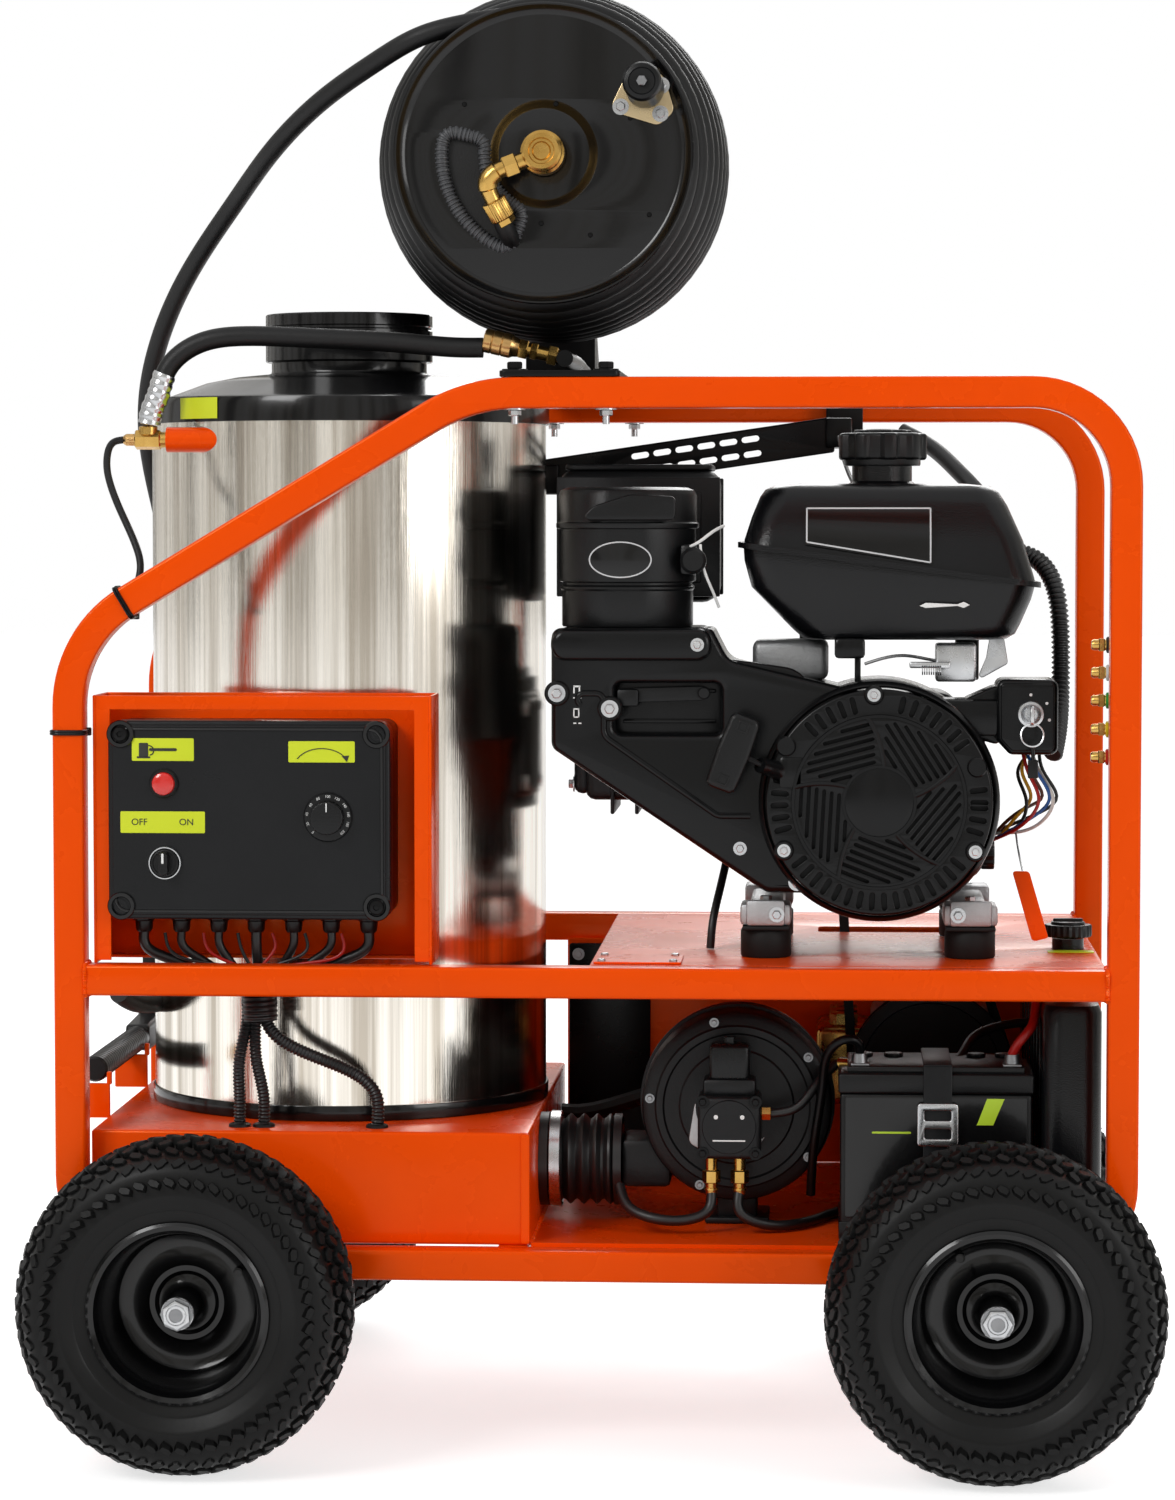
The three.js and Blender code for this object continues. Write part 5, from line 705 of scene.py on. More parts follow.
piece("boiler_base_box", base_box(), ORANGE, replaces="boiler_base")
deck_outline = rectangle((-5, 494.7), (-269.7, 269.7), 3)
deck_holes = [rectangle((400, 216), (76, 136), 8)[::-1], circle(16.5, 24, (468, -86))]
deck_sheet = plate(deck_outline, 476, 480, 1.2, deck_holes)
piece("engine_deck_sheet", [deck_sheet, block((-5, -1), (-269.7, 269.7), (454, 479), 1.4)], ORANGE,
      replaces="engine_deck")
print("frame and sheets made")

# %% [markdown]
# ## Wheels
# A tyre is a turned carcass with rings on its side walls, and some 500 lugs set on its crown. The rim
# is a pressed, dished wheel in gloss black with a zinc-plated nut on the axle's end.

# %% Tyres
WHEEL_RADIUS, WHEEL_Y, AXLE_X = 162.5, 372.5, 386

def carcass():
    """The tyre's body without its lugs: bead, side wall with rings, shoulder and crown."""
    side = [(80.3, 46), (80.3, 50), (84, 51.5), (92, 52.2), (96, 54.6), (99, 54.8), (101, 56.4), (110, 59.4),
            (112, 60.6), (115, 60.9), (117, 60.2), (128, 61.4), (136, 60.4), (143, 56.4), (148, 50),
            (151.4, 40), (153.2, 26), (154, 9)]
    mirrored = [(r, -y) for r, y in reversed(side)]
    inside = [(148, -46), (148, 46)]
    return ring_of(side + mirrored + inside, 96)

def lugs(rows, pitch_count, height=9.8):
    """Lugs on the crown: a row at each lateral angle a sits at y = 60.5 sin a and
    r = 109 + 45 cos(a) ** 0.62, and leans out by 0.86 a, at most 78 degrees."""
    shape_xy = np.array([(-1, -0.62), (-0.3, -1), (1, -0.62), (1, 0.62), (0.3, 1), (-1, 0.62)])
    k = len(shape_xy)
    base = np.column_stack([shape_xy, np.zeros(k)])
    mid = np.column_stack([shape_xy * 0.93, np.full(k, 0.8)])
    top = np.column_stack([shape_xy * 0.8, np.ones(k)])
    template = np.concatenate([base, mid, top])
    faces = [grid(3, k, wrap_cols=True), 2 * k + np.arange(k)[None]]
    all_points, all_faces, start = [], [], 0
    for j, (a_deg, length, width) in enumerate(rows):
        a = math.radians(a_deg)
        r, y = 109 + 45 * abs(math.cos(a)) ** 0.62, 60.5 * math.sin(a)
        lean = math.radians(min(abs(a_deg) * 0.86, 78)) * (1 if a_deg > 0 else -1)
        t = TURN * (np.arange(pitch_count) + 0.5 * (j % 2)) / pitch_count
        out = np.stack([np.cos(t), np.sin(t), np.zeros_like(t)], -1)
        tangent = np.stack([-np.sin(t), np.cos(t), np.zeros_like(t)], -1)
        up = np.array([0, 0, 1.0])
        normal = out * math.cos(lean) + up * math.sin(lean)
        side = up * math.cos(lean) - out * math.sin(lean)
        spin = math.radians(34 if j % 2 else -34)
        x = template[:, 0] * length * math.cos(spin) - template[:, 1] * width * math.sin(spin)
        z = template[:, 0] * length * math.sin(spin) + template[:, 1] * width * math.cos(spin)
        centre = out * r + up * y - normal * 1.5
        v = (centre[:, None] + tangent[:, None] * x[None, :, None] + side[:, None] * z[None, :, None]
             + normal[:, None] * (template[:, 2] * height)[None, :, None])
        numbers = (np.arange(pitch_count) * len(template))[:, None, None]
        all_faces += [(numbers + f[None]).reshape(-1, f.shape[1]) + start for f in faces]
        all_points.append(v.reshape(-1, 3))
        start += v.shape[0] * v.shape[1]
    return np.concatenate(all_points), all_faces

LUG_ROWS = [(-79, 6.4, 4.2), (-57, 7.0, 4.6), (-38, 7.4, 4.8), (-20, 7.6, 4.6), (0, 7.6, 4.6), (20, 7.6, 4.6),
            (38, 7.4, 4.8), (57, 7.0, 4.6), (79, 6.4, 4.2)]
tyre_shape = joined(carcass(), lugs(LUG_ROWS, 56))

def pressed_rim():
    """Lip, barrel, dished disc with two raised rings, and a hub tube. Local +Z looks outwards."""
    outer = [(16, 48), (16, -6), (20, -9.5), (27, -11), (31, -8.5), (36, -8.5), (40, -12), (52, -15.5),
             (60, -15.5), (66, -12), (70.5, 4), (73, 30), (76.5, 47), (80, 53.4), (84.5, 55.3),
             (87.4, 53.5), (87.5, 50.4), (80, 50.2), (80, -50.2), (87.5, -50.4), (87.4, -53.5),
             (84.5, -55.3), (80, -53.4), (76, -44), (73, -24), (68, -18.5), (52, -20), (38, -17),
             (20, -14.5), (16, -12), (16, -48), (10.6, -48), (10.6, 48)]
    return ring_of(outer, 96)

def hub_end():
    """Nut, washer and the hollow end of the axle outside the hub. Local +Z looks outwards."""
    washer = sleeve(10.6, 15.6, 48.4, 50.4, 40)
    nut = plate(circle(14.2, 6), 50.6, 58.5, 1.1, [circle(7.5, 24)], steps=2)
    end = ring_of([(6.4, 44), (9.6, 44), (9.6, 59.4), (8.8, 60.2), (6.8, 60.2), (6.4, 59.4)], 32)
    return joined(washer, nut, end)

valve = joined(tube([(66, 0, 20), (67, 0, 34), (69, 0, 44)], 4.2, 14),
               tube([(69, 0, 43.6), (70.2, 0, 52)], 3.4, 14))
wheel_turns = {("near", "left"): 0.6, ("near", "right"): 2.1, ("far", "left"): 1.2, ("far", "right"): 3.0}
for (side, end), spin in wheel_turns.items():
    at = (AXLE_X if end == "right" else -AXLE_X, -WHEEL_Y if side == "near" else WHEEL_Y, WHEEL_RADIUS)
    axis = "-y" if side == "near" else "y"
    body = f"{side}_{end}_wheel"
    piece(f"{side}_{end}_tyre_tread", moved(tyre_shape, at, axis, spin), RUBBER, body, f"{side}_{end}_tyre",
          sharp=28)
    piece(f"{side}_{end}_pressed_rim", moved(joined(pressed_rim(), valve), at, axis, spin), GLOSS_BLACK,
          body, f"{side}_{end}_rim")
    piece(f"{side}_{end}_hub_nut", moved(hub_end(), at, axis, spin), ZINC)
print("tyre points:", len(tyre_shape[0]))

# %% [markdown]
# ## Boiler
# A rolled stainless wrap with a lap seam at the back, a black foot ring, and a gloss black lid whose
# dome runs up to the flue.

# %% Boiler
BOILER = (-269, 0, 0)
wrap_profile = [(200.2, 327), (203, 327), (203, 1017.5), (200.2, 1017.5)]
foot_profile = [(199.8, 315.4), (204.6, 315.4), (205.2, 317), (205.2, 329), (204.6, 330.4), (203.1, 330.6),
                (199.8, 330.6)]
seam = moved(block((-9, 9), (-0.6, 0.6), (332, 1008), 0.5), (-269, 203.2, 0))
piece("boiler_wrap", [moved(ring_of(wrap_profile, 160), BOILER), seam], STAINLESS, replaces="boiler_shell")
piece("boiler_foot_ring", moved(ring_of(foot_profile, 160), BOILER), GLOSS_BLACK)

def lid_profile():
    """Skirt with a rolled lower edge, shoulder, dome, neck and the wider collar of the flue."""
    outside = [(206.3, 1010), (206.3, 1030), (204.8, 1034.4), (200.5, 1036), (184, 1038.6), (147.6, 1052.1),
               (118, 1058), (84, 1061.4), (80.6, 1062.6), (80, 1064.6), (80, 1073), (81, 1074), (85, 1074),
               (86, 1075), (86, 1106), (84.8, 1107.2), (84.8, 1109.4), (86, 1110.6), (86, 1121.4),
               (85.2, 1122.6), (83.6, 1122.6), (83, 1121.4)]
    inside = [(83, 1076), (77, 1074), (77, 1060), (118, 1055), (147.6, 1049), (184, 1035.6), (199, 1031),
              (203.3, 1026), (203.3, 1010)]
    return outside + inside

piece("boiler_lid_cover", moved(ring_of(lid_profile(), 160), BOILER), GLOSS_BLACK, replaces="boiler_lid")
coil_rings = sleeve(180, 193, 340, 899, 64)
piece("coil_sleeve", moved(coil_rings, BOILER), MACHINED, replaces="heating_coil")

# %% Outlet tee and probe
stub = tube([(-371, -156, 992), (-431, -156, 992)], 12.5, 32)
stub_rim = moved(sleeve(8.6, 12.6, 0, 3, 32), (-431, -156, 992), "-x")
leg = tube([(-371, -156, 992), (-371, -156, 901)], 9, 20)
piece("outlet_stub", [stub, stub_rim], ORANGE, replaces="outlet_tee")
tee_body = [
    moved(hex_bar(10, 0, 26, 1.2), (-440, -156, 992), "-x", 0.26),
    tube([(-432, -156, 992), (-441, -156, 992)], 8, 24),
    moved(revolve([(0, 0), (8, 0), (8, 4), (9.4, 4.6), (9.4, 12), (8, 12.8), (0, 12.8)], 32),
          (-453, -156, 992.6), "z"),
    moved(hex_bar(9.2, 7.4, 13.2, 0.8), (-453, -156, 992.6), "z"),
]
piece("outlet_tee_body", [tee_body, leg], BRASS)
probe = [moved(revolve([(0, 0), (6, 0), (6, 9), (4.4, 11.5), (3, 12.6), (0, 12.6)], 24), (-466, -156, 992),
               "-x"),
         moved(hex_bar(6.6, 1, 6, 0.6), (-466, -156, 992), "-x")]
piece("probe_fitting", probe, YELLOW_ZINC)
ferrule_line = spline(SUPPLY_POINTS[:5] * 1000, 40)
piece("hose_start_ferrule", [tube(ferrule_line[:26], 11.4 + 0.5 * np.cos(np.arange(26) * 1.6), 24),
      aimed(hex_bar(9.6, -1.5, 6, 0.8), ferrule_line[0], ferrule_line[3] - ferrule_line[0])], ZINC)

probe_cable = spline([(-478.4, -156, 992), (-486, -162, 990), (-491, -176, 975), (-484, -200, 948),
                      (-468, -226, 918), (-452, -243, 888), (-446, -250, 868), (-449, -256, 848),
                      (-461, -262, 828), (-472, -262, 818)], 120)
cable_sides = tube(probe_cable, 3.6, 16)
piece("probe_cable", cable_sides, HOSE)
print("boiler made")

# %% [markdown]
# ## Controls
# A folded orange tray holds the grey enclosure. Its lid carries a red lamp, a selector switch and a
# thermostat dial. The labels keep their places but carry only generic signs.

# %% Text as shapes
def text_shape(words, size, depth=0.25):
    """Flat letters as a shape, centred, with their face towards local +Z."""
    curve = bpy.data.curves.new("words", "FONT")
    curve.body, curve.size, curve.extrude = words, size, depth / 2
    curve.align_x, curve.align_y = "CENTER", "CENTER"
    holder = bpy.data.objects.new("words", curve)
    bpy.context.scene.collection.objects.link(holder)
    bpy.context.view_layer.update()
    mesh = bpy.data.meshes.new_from_object(holder.evaluated_get(bpy.context.evaluated_depsgraph_get()))
    v = np.zeros(len(mesh.vertices) * 3)
    mesh.vertices.foreach_get("co", v)
    groups = {}
    for p in mesh.polygons:
        groups.setdefault(len(p.vertices), []).append(list(p.vertices))
    bpy.data.objects.remove(holder)
    bpy.data.curves.remove(curve)
    faces = [np.array(g) for g in groups.values()]
    bpy.data.meshes.remove(mesh)
    return v.reshape(-1, 3), faces

# %% Tray and enclosure
tray_parts = [
    block((-488, -157), (-213, -210), (480.3, 742), 1.2),
    block((-488, -485), (-285, -211), (480.3, 742), 1.2),
    block((-160, -157), (-285, -211), (480.3, 742), 1.2),
    block((-488, -157), (-229, -211), (480.3, 483.3), 1.2),
    wall([(-485.2, 483.5), (-471, 483.5), (-471, 728), (-174, 728), (-174, 483.5), (-159.8, 483.5),
          (-159.8, 741.6), (-485.2, 741.6)], (-285, -282), 0.6),
]
piece("control_tray_sheet", tray_parts, ORANGE, replaces="control_tray")

box_outline = rectangle((-471, -196), (525, 718), 12, 8)
lid_face = wall(inset(box_outline, 4.5), (-300, -297.6), 1.2)
lid_skirt = wall(box_outline, (-297.8, -268.6), 3.2)
box_body = wall(inset(box_outline, 1.2), (-268.0, -213.3), 1.6)
lugs_at = [(-460, 706.5), (-207, 706.5), (-460, 536.5), (-207, 536.5)]
corner_pads = [moved(revolve([(0, 0), (9.4, 0), (9.4, 1.6), (8.4, 2.4), (6.2, 2.4), (6.0, 1.0), (0, 1.0)],
        32), (x, -297.9, z), "-y") for x, z in lugs_at]
piece("enclosure_lid", [lid_face, lid_skirt, corner_pads], CONTROL_GREY, replaces="control_lid")
piece("enclosure_back", box_body, CONTROL_GREY, replaces="control_box")
cross = [block((-4, 4), (-0.7, 0.7), (0, 0.5), 0.2), block((-0.7, 0.7), (-4, 4), (0, 0.5), 0.2)]
screw = joined(revolve([(0, 0), (5.2, 0), (5.0, 0.8), (0, 1.0)], 24), [moved(c, (0, 0, 0.9)) for c in cross])
screws = [moved(screw, (x, -298.9, z), "-y", 0.6) for x, z in lugs_at]
piece("enclosure_screws", screws, MOULDED)

# %% Labels, lamp, switch and dial
def sticker(x, z, y=-300.4):
    """A thin label with rounded corners."""
    return wall(rectangle(x, z, 1.2, 4), (y, y + 0.5), 0.15)

piece("yellow_labels", [sticker((-447, -386.5), (679, 701)), sticker((-294.5, -230), (678, 698.5)),
      sticker((-458.5, -376), (609, 630))], STICKER)
t = np.linspace(math.radians(152), math.radians(28), 30)
arc = np.stack([-262 + 27 * np.cos(t), np.full(30, -300.7), 672.5 + 19 * np.sin(t)], -1)
arrow_tip = wall([(-237.5, 678.4), (-235.4, 684.8), (-242.6, 684.2)], (-300.9, -300.5), 0.05)
mark = wall(rectangle((-430, -403), (688.6, 691.4), 1.2, 4), (-300.9, -300.5), 0.05)
words = [moved(text_shape("OFF", 9), (-440, -300.6, 619.5), "-y"),
         moved(text_shape("ON", 9), (-394, -300.6, 619.5), "-y")]
fuel_sign = [wall(rectangle((-440, -431), (683, 696.5), 1, 3), (-300.9, -300.5), 0.05),
             wall(rectangle((-442, -429), (681.6, 683.4), 0.3, 2), (-300.9, -300.5), 0.05),
             pipe([(-430.6, -300.7, 694), (-427, -300.7, 692.4), (-426.6, -300.7, 686),
                   (-429.4, -300.7, 684.6)], 20, 0.55, 8)]
piece("label_print", [tube(arc, 0.45, 8), arrow_tip, words, fuel_sign, mark], INK)

bezel = revolve([(12.6, 0), (14.2, 0), (14.2, 2.2), (12.8, 3.8), (11.4, 3.8), (11.0, 2.4)], 48)
piece("lamp_bezel", moved(bezel, (-416, -300, 657), "-y"), MOULDED)
lens = revolve([(0, 0), (11.2, 0), (11.2, 4.6), (10.4, 6.6), (8.2, 7.8), (4.5, 8.2), (0, 8.3)], 48)
piece("lamp_lens", moved(lens, (-416, -300, 657), "-y"), RED_LENS)

SWITCH_AT, DIAL_AT = (-415, -300.3, 580), (-256, -300.3, 625)
collar = revolve([(0, 0), (14.4, 0), (14.4, 2.6), (13.2, 4.4), (11.6, 4.8), (11.2, 3.6), (0, 3.6)], 48)
grip_bar = plate(rectangle((-4.6, 4.6), (-11.2, 11.2), 3.6, 6), 3.4, 16.6, 1.6)
piece("switch_knob", moved(joined(collar, grip_bar), SWITCH_AT, "-y"), MOULDED, "heating_selector",
      "heating_switch")
piece("switch_pointer", moved(plate(rectangle((-1.1, 1.1), (0.5, 10.4), 0.8, 3), 16.5, 17.0, 0.1),
        SWITCH_AT, "-y"), WHITE_INK, "heating_selector")

dial_skirt = revolve([(0, 0), (24, 0), (24, 1.6), (22.6, 3.6), (17, 4.4), (16.2, 4.4)], 64)
flutes = circle(16, 96)
flutes = flutes * (1 + 0.018 * np.cos(np.arange(96) * TURN / 96 * 24))[:, None]
knob = plate(flutes, 4.2, 16.4, 1.6)
piece("dial_knob", moved(joined(dial_skirt, knob), DIAL_AT, "-y"), MOULDED, "thermostat", "thermostat_knob")
numbers = []
for k, value in enumerate(range(0, 210, 20)):
    a = math.radians(225 - 27 * k)
    place = (20.2 * math.cos(a), 20.2 * math.sin(a), 4.3)
    numbers.append(moved(text_shape(str(value), 3.6, 0.2), place, "z", a - math.pi / 2))
marker = plate(rectangle((-0.6, 0.6), (6, 14.6), 0.5, 3), 16.2, 16.6, 0.1)
piece("dial_print", moved(joined(numbers, marker), DIAL_AT, "-y"), WHITE_INK, "thermostat")

# %% Glands and conduits
GLAND_X = [-445 + 37 * i for i in range(7)]
gland_shapes = []
for x in GLAND_X:
    gland_shapes += [moved(hex_bar(10.6, -6, 0.6, 1.0), (x, -245, 525), "z"),
                     moved(revolve([(0, -17), (6.6, -17), (8.2, -14.5), (8.8, -6.2), (0, -6.2)], 32),
                             (x, -245, 525), "z")]
piece("cable_glands", gland_shapes, MOULDED)

def conduit_route(i, x):
    """From a gland down into the collecting sleeve."""
    end = -332 + (i / 6 - 0.5) * 26
    front = -240 + 5 * math.sin(i * 2.1)
    return spline([(x, -245, 508.4), (x, -245, 498), ((x * 2 + end) / 3, (front - 245) / 2, 478),
                   ((x + 2 * end) / 3, front, 462), (end, -240, 446), (end, -240, 436)], 60)

inlets = [tube(conduit_route(i, x), 4.2 if i % 3 else 5.2, 14) for i, x in enumerate(GLAND_X)]
outlets = []
for start, foot_x, r in ((-344, -352, 5.6), (-336, -328, 5.6), (-326, -216, 6.0)):
    line = spline([(start, -240, 436), (start, -240, 424), ((start + foot_x) / 2 - 3, -244, 384),
                   (foot_x, -240, 344), (foot_x, -240, 316)], 60)
    outlets.append(ribbed(line, r, 1.2, 3.6))
collector = ribbed(spline([(-333, -240, 460), (-332, -240, 440), (-331, -240, 420)], 12), 17, 1.4, 5, 24)
piece("conduits", [inlets, outlets, collector], CONDUIT, replaces="conduit_loom")
WIRE_ENDS = [(-424, -318), (-386, -322), (-352, -328), (-318, -336), (-286, -342), (-250, -346)]
wires = [pipe([(x, -247, 507), (x + 3, -249, 494), ((x + e) / 2, -250, 476), (e, -246, 458)], 40, 1.7, 10)
         for x, e in WIRE_ENDS]
piece("red_leads", wires[1::2], RED_WIRE)
piece("black_leads", wires[::2], CONDUIT)
grommets = [moved(ring_of([(6.4, 0), (11, 0), (10.6, 2.6), (8.4, 3.6), (6.4, 3.2)], 32), (x, -240, 315),
                  "z") for x in (-352, -328, -216)]
piece("base_grommets", grommets, MOUNT_RUBBER)
print("controls made")

# %% [markdown]
# ## Hose reel
# Two pressed discs on a barrel carry the hose. The near disc has a kidney-shaped hole with a ribbed
# rubber trim round it, where a brass elbow leads the water in. The discs turn with the hose.

# %% Reel drum
REEL_X, REEL_Z = -55, 1271.5
REEL = (REEL_X, 0, REEL_Z)

def kidney(inner, outer, start, end, round_by, steps=26):
    """A band between two radii and two angles, with rounded corners, as an outline about the hub."""
    t = np.radians(np.linspace(start, end, steps))
    arc_out = outer * around(t)
    arc_in = inner * around(t[::-1])
    radii = np.zeros(2 * steps)
    radii[[0, steps - 1, steps, 2 * steps - 1]] = round_by
    corners = np.concatenate([arc_out, arc_in])
    ends = np.array([0, steps - 1, steps, 2 * steps - 1])
    keep = np.ones(2 * steps, bool)
    keep[np.concatenate([ends[[0, 2]] + 1, ends[[0, 2]] + 2, ends[[1, 3]] - 1, ends[[1, 3]] - 2])] = False
    return rounded(corners[keep], radii[keep], 6)

KIDNEY = kidney(58, 101, 166, 251, 12)
near_plate = plate(circle(137, 160), 180, 184, 0.6, [KIDNEY[::-1], circle(53, 72)[::-1]])
near_hub = ring_of([(53.4, 184), (50, 182.4), (46, 178.6), (44, 178), (12, 178), (12, 175), (46, 175),
                    (53.4, 180)], 72)
near_rim = ring_of([(136, 184), (139, 185), (143, 189.6), (145, 191.6), (146.6, 191.8), (147.8, 190.6),
                    (147.8, 188.4), (146, 187.6), (142.6, 184.6), (139, 181), (136, 180)], 160)
drum_body = joined(
    moved(joined(near_plate, near_hub, near_rim), REEL, "-y"),
    moved(ring_of([(50, -150), (147, -150), (148, -149), (148, -147), (147, -146), (55, -146), (55, 179.5),
                   (50, 179.5)], 128), REEL, "-y"),
    moved(revolve([(0, -198), (14, -198), (15, -197), (15, 174), (0, 174)], 40), REEL, "-y"),
    [moved(ring_of([(62 + r, -151.2), (65 + r, -151.2), (66 + r, -150), (61 + r, -150)], 96), REEL, "-y")
     for r in (0, 58)],
)
piece("reel_discs_and_barrel", drum_body, GLOSS_BLACK, "reel", "reel_drum")

def on_reel(radius, degrees, y):
    """A point on the reel at a radius and an angle."""
    a = math.radians(degrees)
    return (REEL_X + radius * math.cos(a), y, REEL_Z + radius * math.sin(a))

rivets = [moved(revolve([(0, 1.2), (1.8, 1.0), (2.6, 0), (0, 0)][::-1], 16), on_reel(r, a, -184), "-y")
          for r, a in [(92, 148), (50, 76), (92, 22), (92, 300), (68, 268), (120, 330)]]
piece("reel_rivets", rivets, REEL_BLACK, "reel")

def trim(outline, radius=6.2, pitch=4.2):
    """A rubber edge trim: a closed tube round an outline whose radius swings by 12 % at each rib."""
    loop = np.concatenate([outline, outline[:1]])
    length = np.concatenate([[0], np.cumsum(np.linalg.norm(np.diff(loop, axis=0), axis=1))])
    count = int(length[-1] / pitch) * 6
    s = np.arange(count) * length[-1] / count
    line = np.column_stack([np.interp(s, length, loop[:, 0]), np.interp(s, length, loop[:, 1]),
            np.full(count, 182.4)])
    tangent = np.roll(line, -1, 0) - np.roll(line, 1, 0)
    side = np.cross(tangent, (0, 0, 1.0))
    side /= np.linalg.norm(side, axis=1)[:, None]
    t = np.arange(12) * TURN / 12
    r = radius * (1 + 0.12 * np.sign(np.sin(TURN * np.arange(count) / 6)))[:, None, None]
    sideways = side[:, None] * np.cos(t)[None, :, None]
    upwards = np.array((0, 0, 0.9)) * np.sin(t)[None, :, None]
    v = line[:, None] + r * (sideways + upwards)
    return v.reshape(-1, 3), [grid(count, 12, wrap_rows=True, wrap_cols=True)]

TRIM = finish("ribbed_trim", "#4a4b4e", (0.4, 0.55), second="#37383a", slot="hose_rubber")
piece("kidney_trim", moved(trim(KIDNEY), REEL, "-y"), TRIM, "reel", sharp=50)

# %% Brass elbow
def fluted(radius, count, depth, steps=144):
    """A circle whose radius swings count times by a share depth, as on a knurled nut."""
    t = np.arange(steps) * TURN / steps
    return circle(radius, steps) * (1 + depth * np.cos(count * t))[:, None]

hub_shape = revolve([(0, 217.6), (8, 217.6), (9.4, 216), (12, 216), (13, 218.6), (17.4, 218.6),
                     (19.4, 216.8), (19.4, 205), (21.6, 203), (21.6, 184), (20, 182), (20, 178.3),
                     (0, 178.3)][::-1], 56)
arm_line = spline([(-66, -207, 1266), (-88, -210, 1257), (-102, -211, 1250), (-108, -210, 1242),
                   (-106, -206.5, 1231), (-99, -201.5, 1217)], 50)
arm_radius = 8.2 + 1.6 * (np.linspace(0, 1, 50) > 0.46) * (np.linspace(0, 1, 50) < 0.72)
elbow_shapes = [
    moved(hub_shape, REEL, "-y"),
    tube(arm_line, arm_radius, 28),
    aimed(hex_bar(11.4, -6, 8, 1.0), arm_line[13], arm_line[15] - arm_line[12]),
    aimed(plate(fluted(12, 30, 0.025), -6, 14, 1.2, steps=2), arm_line[-3], arm_line[-1] - arm_line[-4]),
    aimed(hex_bar(10.8, 14, 21, 0.9), arm_line[-3], arm_line[-1] - arm_line[-4]),
]
piece("reel_brass_elbow", elbow_shapes, BRASS, "reel", "reel_elbow")
inner_hose = pipe([(-95, -197.5, 1206), (-90, -190, 1193), (-86, -178, 1186), (-84, -168, 1184)], 24, 9.4, 20)
piece("reel_inner_hose_end", inner_hose, HOSE, "reel")

# %% Winding grip on its zinc plate
GRIP_AT = (45, 0, 1334)
plate_outline = rounded([(9, 1313), (58, 1298), (74, 1312), (62, 1352), (28, 1352)], [9, 9, 10, 16, 16], 6)
grip_plate = wall(plate_outline, (-187.6, -184.1), 0.8)
grip_pin = moved(rod(5, 184, 257), GRIP_AT, "-y")
plate_bolts = [bolt((x, -187.6, z), "-y", 8.5) for x, z in ((21, 1316.5), (60, 1309.5), (61, 1337))]
piece("grip_plate_bolts", plate_bolts, ZINC, "reel")
piece("grip_zinc_plate", [grip_plate, grip_pin], PALE_ZINC, "reel")
grip_profile = [(5.4, 188.4), (17, 188.4), (19, 190.4), (19, 196), (17.2, 205), (15.8, 225), (16.8, 243),
                (19, 252), (19, 257.4), (17, 260.8), (13.4, 261.8), (12.2, 260.6), (6, 260), (0, 260)]
piece("winding_grip_knob", moved(revolve(grip_profile[::-1], 56), GRIP_AT, "-y"), MOULDED, "winding_grip",
      "reel_grip")

# %% Winding
def layer_radius(s):
    """The outer layer's radius at its share s of the way across the drum."""
    return 138 + 30 * np.sin(np.pi * s) ** 0.7

def winding_line(steps_per_turn=60):
    """The outer layer's centre line. Along its share s the radius is 138 + 30 sin(pi s) ** 0.7 and the
    place across the drum runs evenly from Y 132 to Y -166. The start dips below the layer."""
    turns = (132 + 166) / 21
    count = int(round(turns * steps_per_turn))
    i = np.arange(count + 1)
    s = i / count
    a = np.radians(95 - 360 * turns * (1 - s))
    radius = layer_radius(s) - 16.5 * np.maximum(0, 1 - i * 4 / steps_per_turn)
    v = np.stack([REEL_X + radius * np.cos(a), 132 - 298 * s, REEL_Z + radius * np.sin(a)], -1)
    tangent = np.array([-np.sin(a[-1]), 0, np.cos(a[-1])]) * 20
    return np.concatenate([v, v[-1] + tangent * np.linspace(0.1, 1, 6)[:, None]])

layer = tube(winding_line(), 10.2, 16)
s = np.linspace(1, 0, 20)
core_side = np.column_stack([layer_radius(s) - 14.5, 132 - 298 * s])
core = ring_of([(56, -179), (123, -179), *[(r, y) for r, y in core_side], (123, 145), (56, 145)], 96)
core = (core[0] * (1, 1, -1), core[1])
piece("wound_hose", [layer, moved(core, REEL, "-y")], HOSE, "reel", "hose_winding")
print("winding points:", len(layer[0]))

# %% Reel stand and swivel
stand_plate = plate(rectangle((-90, 26), (-300, 300), 6), 1049.3, 1055.3, 1.0)
arm = wall(rounded([(-98, 1054), (-24, 1054), (-24, 1290), (-42, 1308), (-80, 1308), (-98, 1290)],
                   [0, 0, 30, 22, 22, 30], 8), (158, 168), 1.0, [circle(15.6, 32, (REEL_X, REEL_Z))[::-1]])
boss = moved(ring_of([(15.5, -180), (29, -180), (30, -179), (30, -154), (29, -153), (15.5, -153)], 48),
             REEL, "-y")
gussets = [across([(167, 1054), (269, 1054), (262, 1060), (167, 1139)], (x, x + 6), 0.8) for x in (-98, -30)]
piece("reel_stand_frame", [stand_plate, arm, boss, gussets], REEL_BLACK, replaces="reel_stand")
stand_bolts = []
for x in (-76, 12):
    for y in (-285, 285):
        stand_bolts += [bolt((x, y, 1019), "-z", 11), moved(rod(3.4, -8, 6, 12), (x, y, 1012), "z")]
piece("stand_bolts", stand_bolts, ZINC)
stand_heads = [bolt((x, y, 1055.3), "z", 13) for x in (-76, 12) for y in (-285, 285)]
piece("stand_bolt_heads", stand_heads, REEL_BLACK)

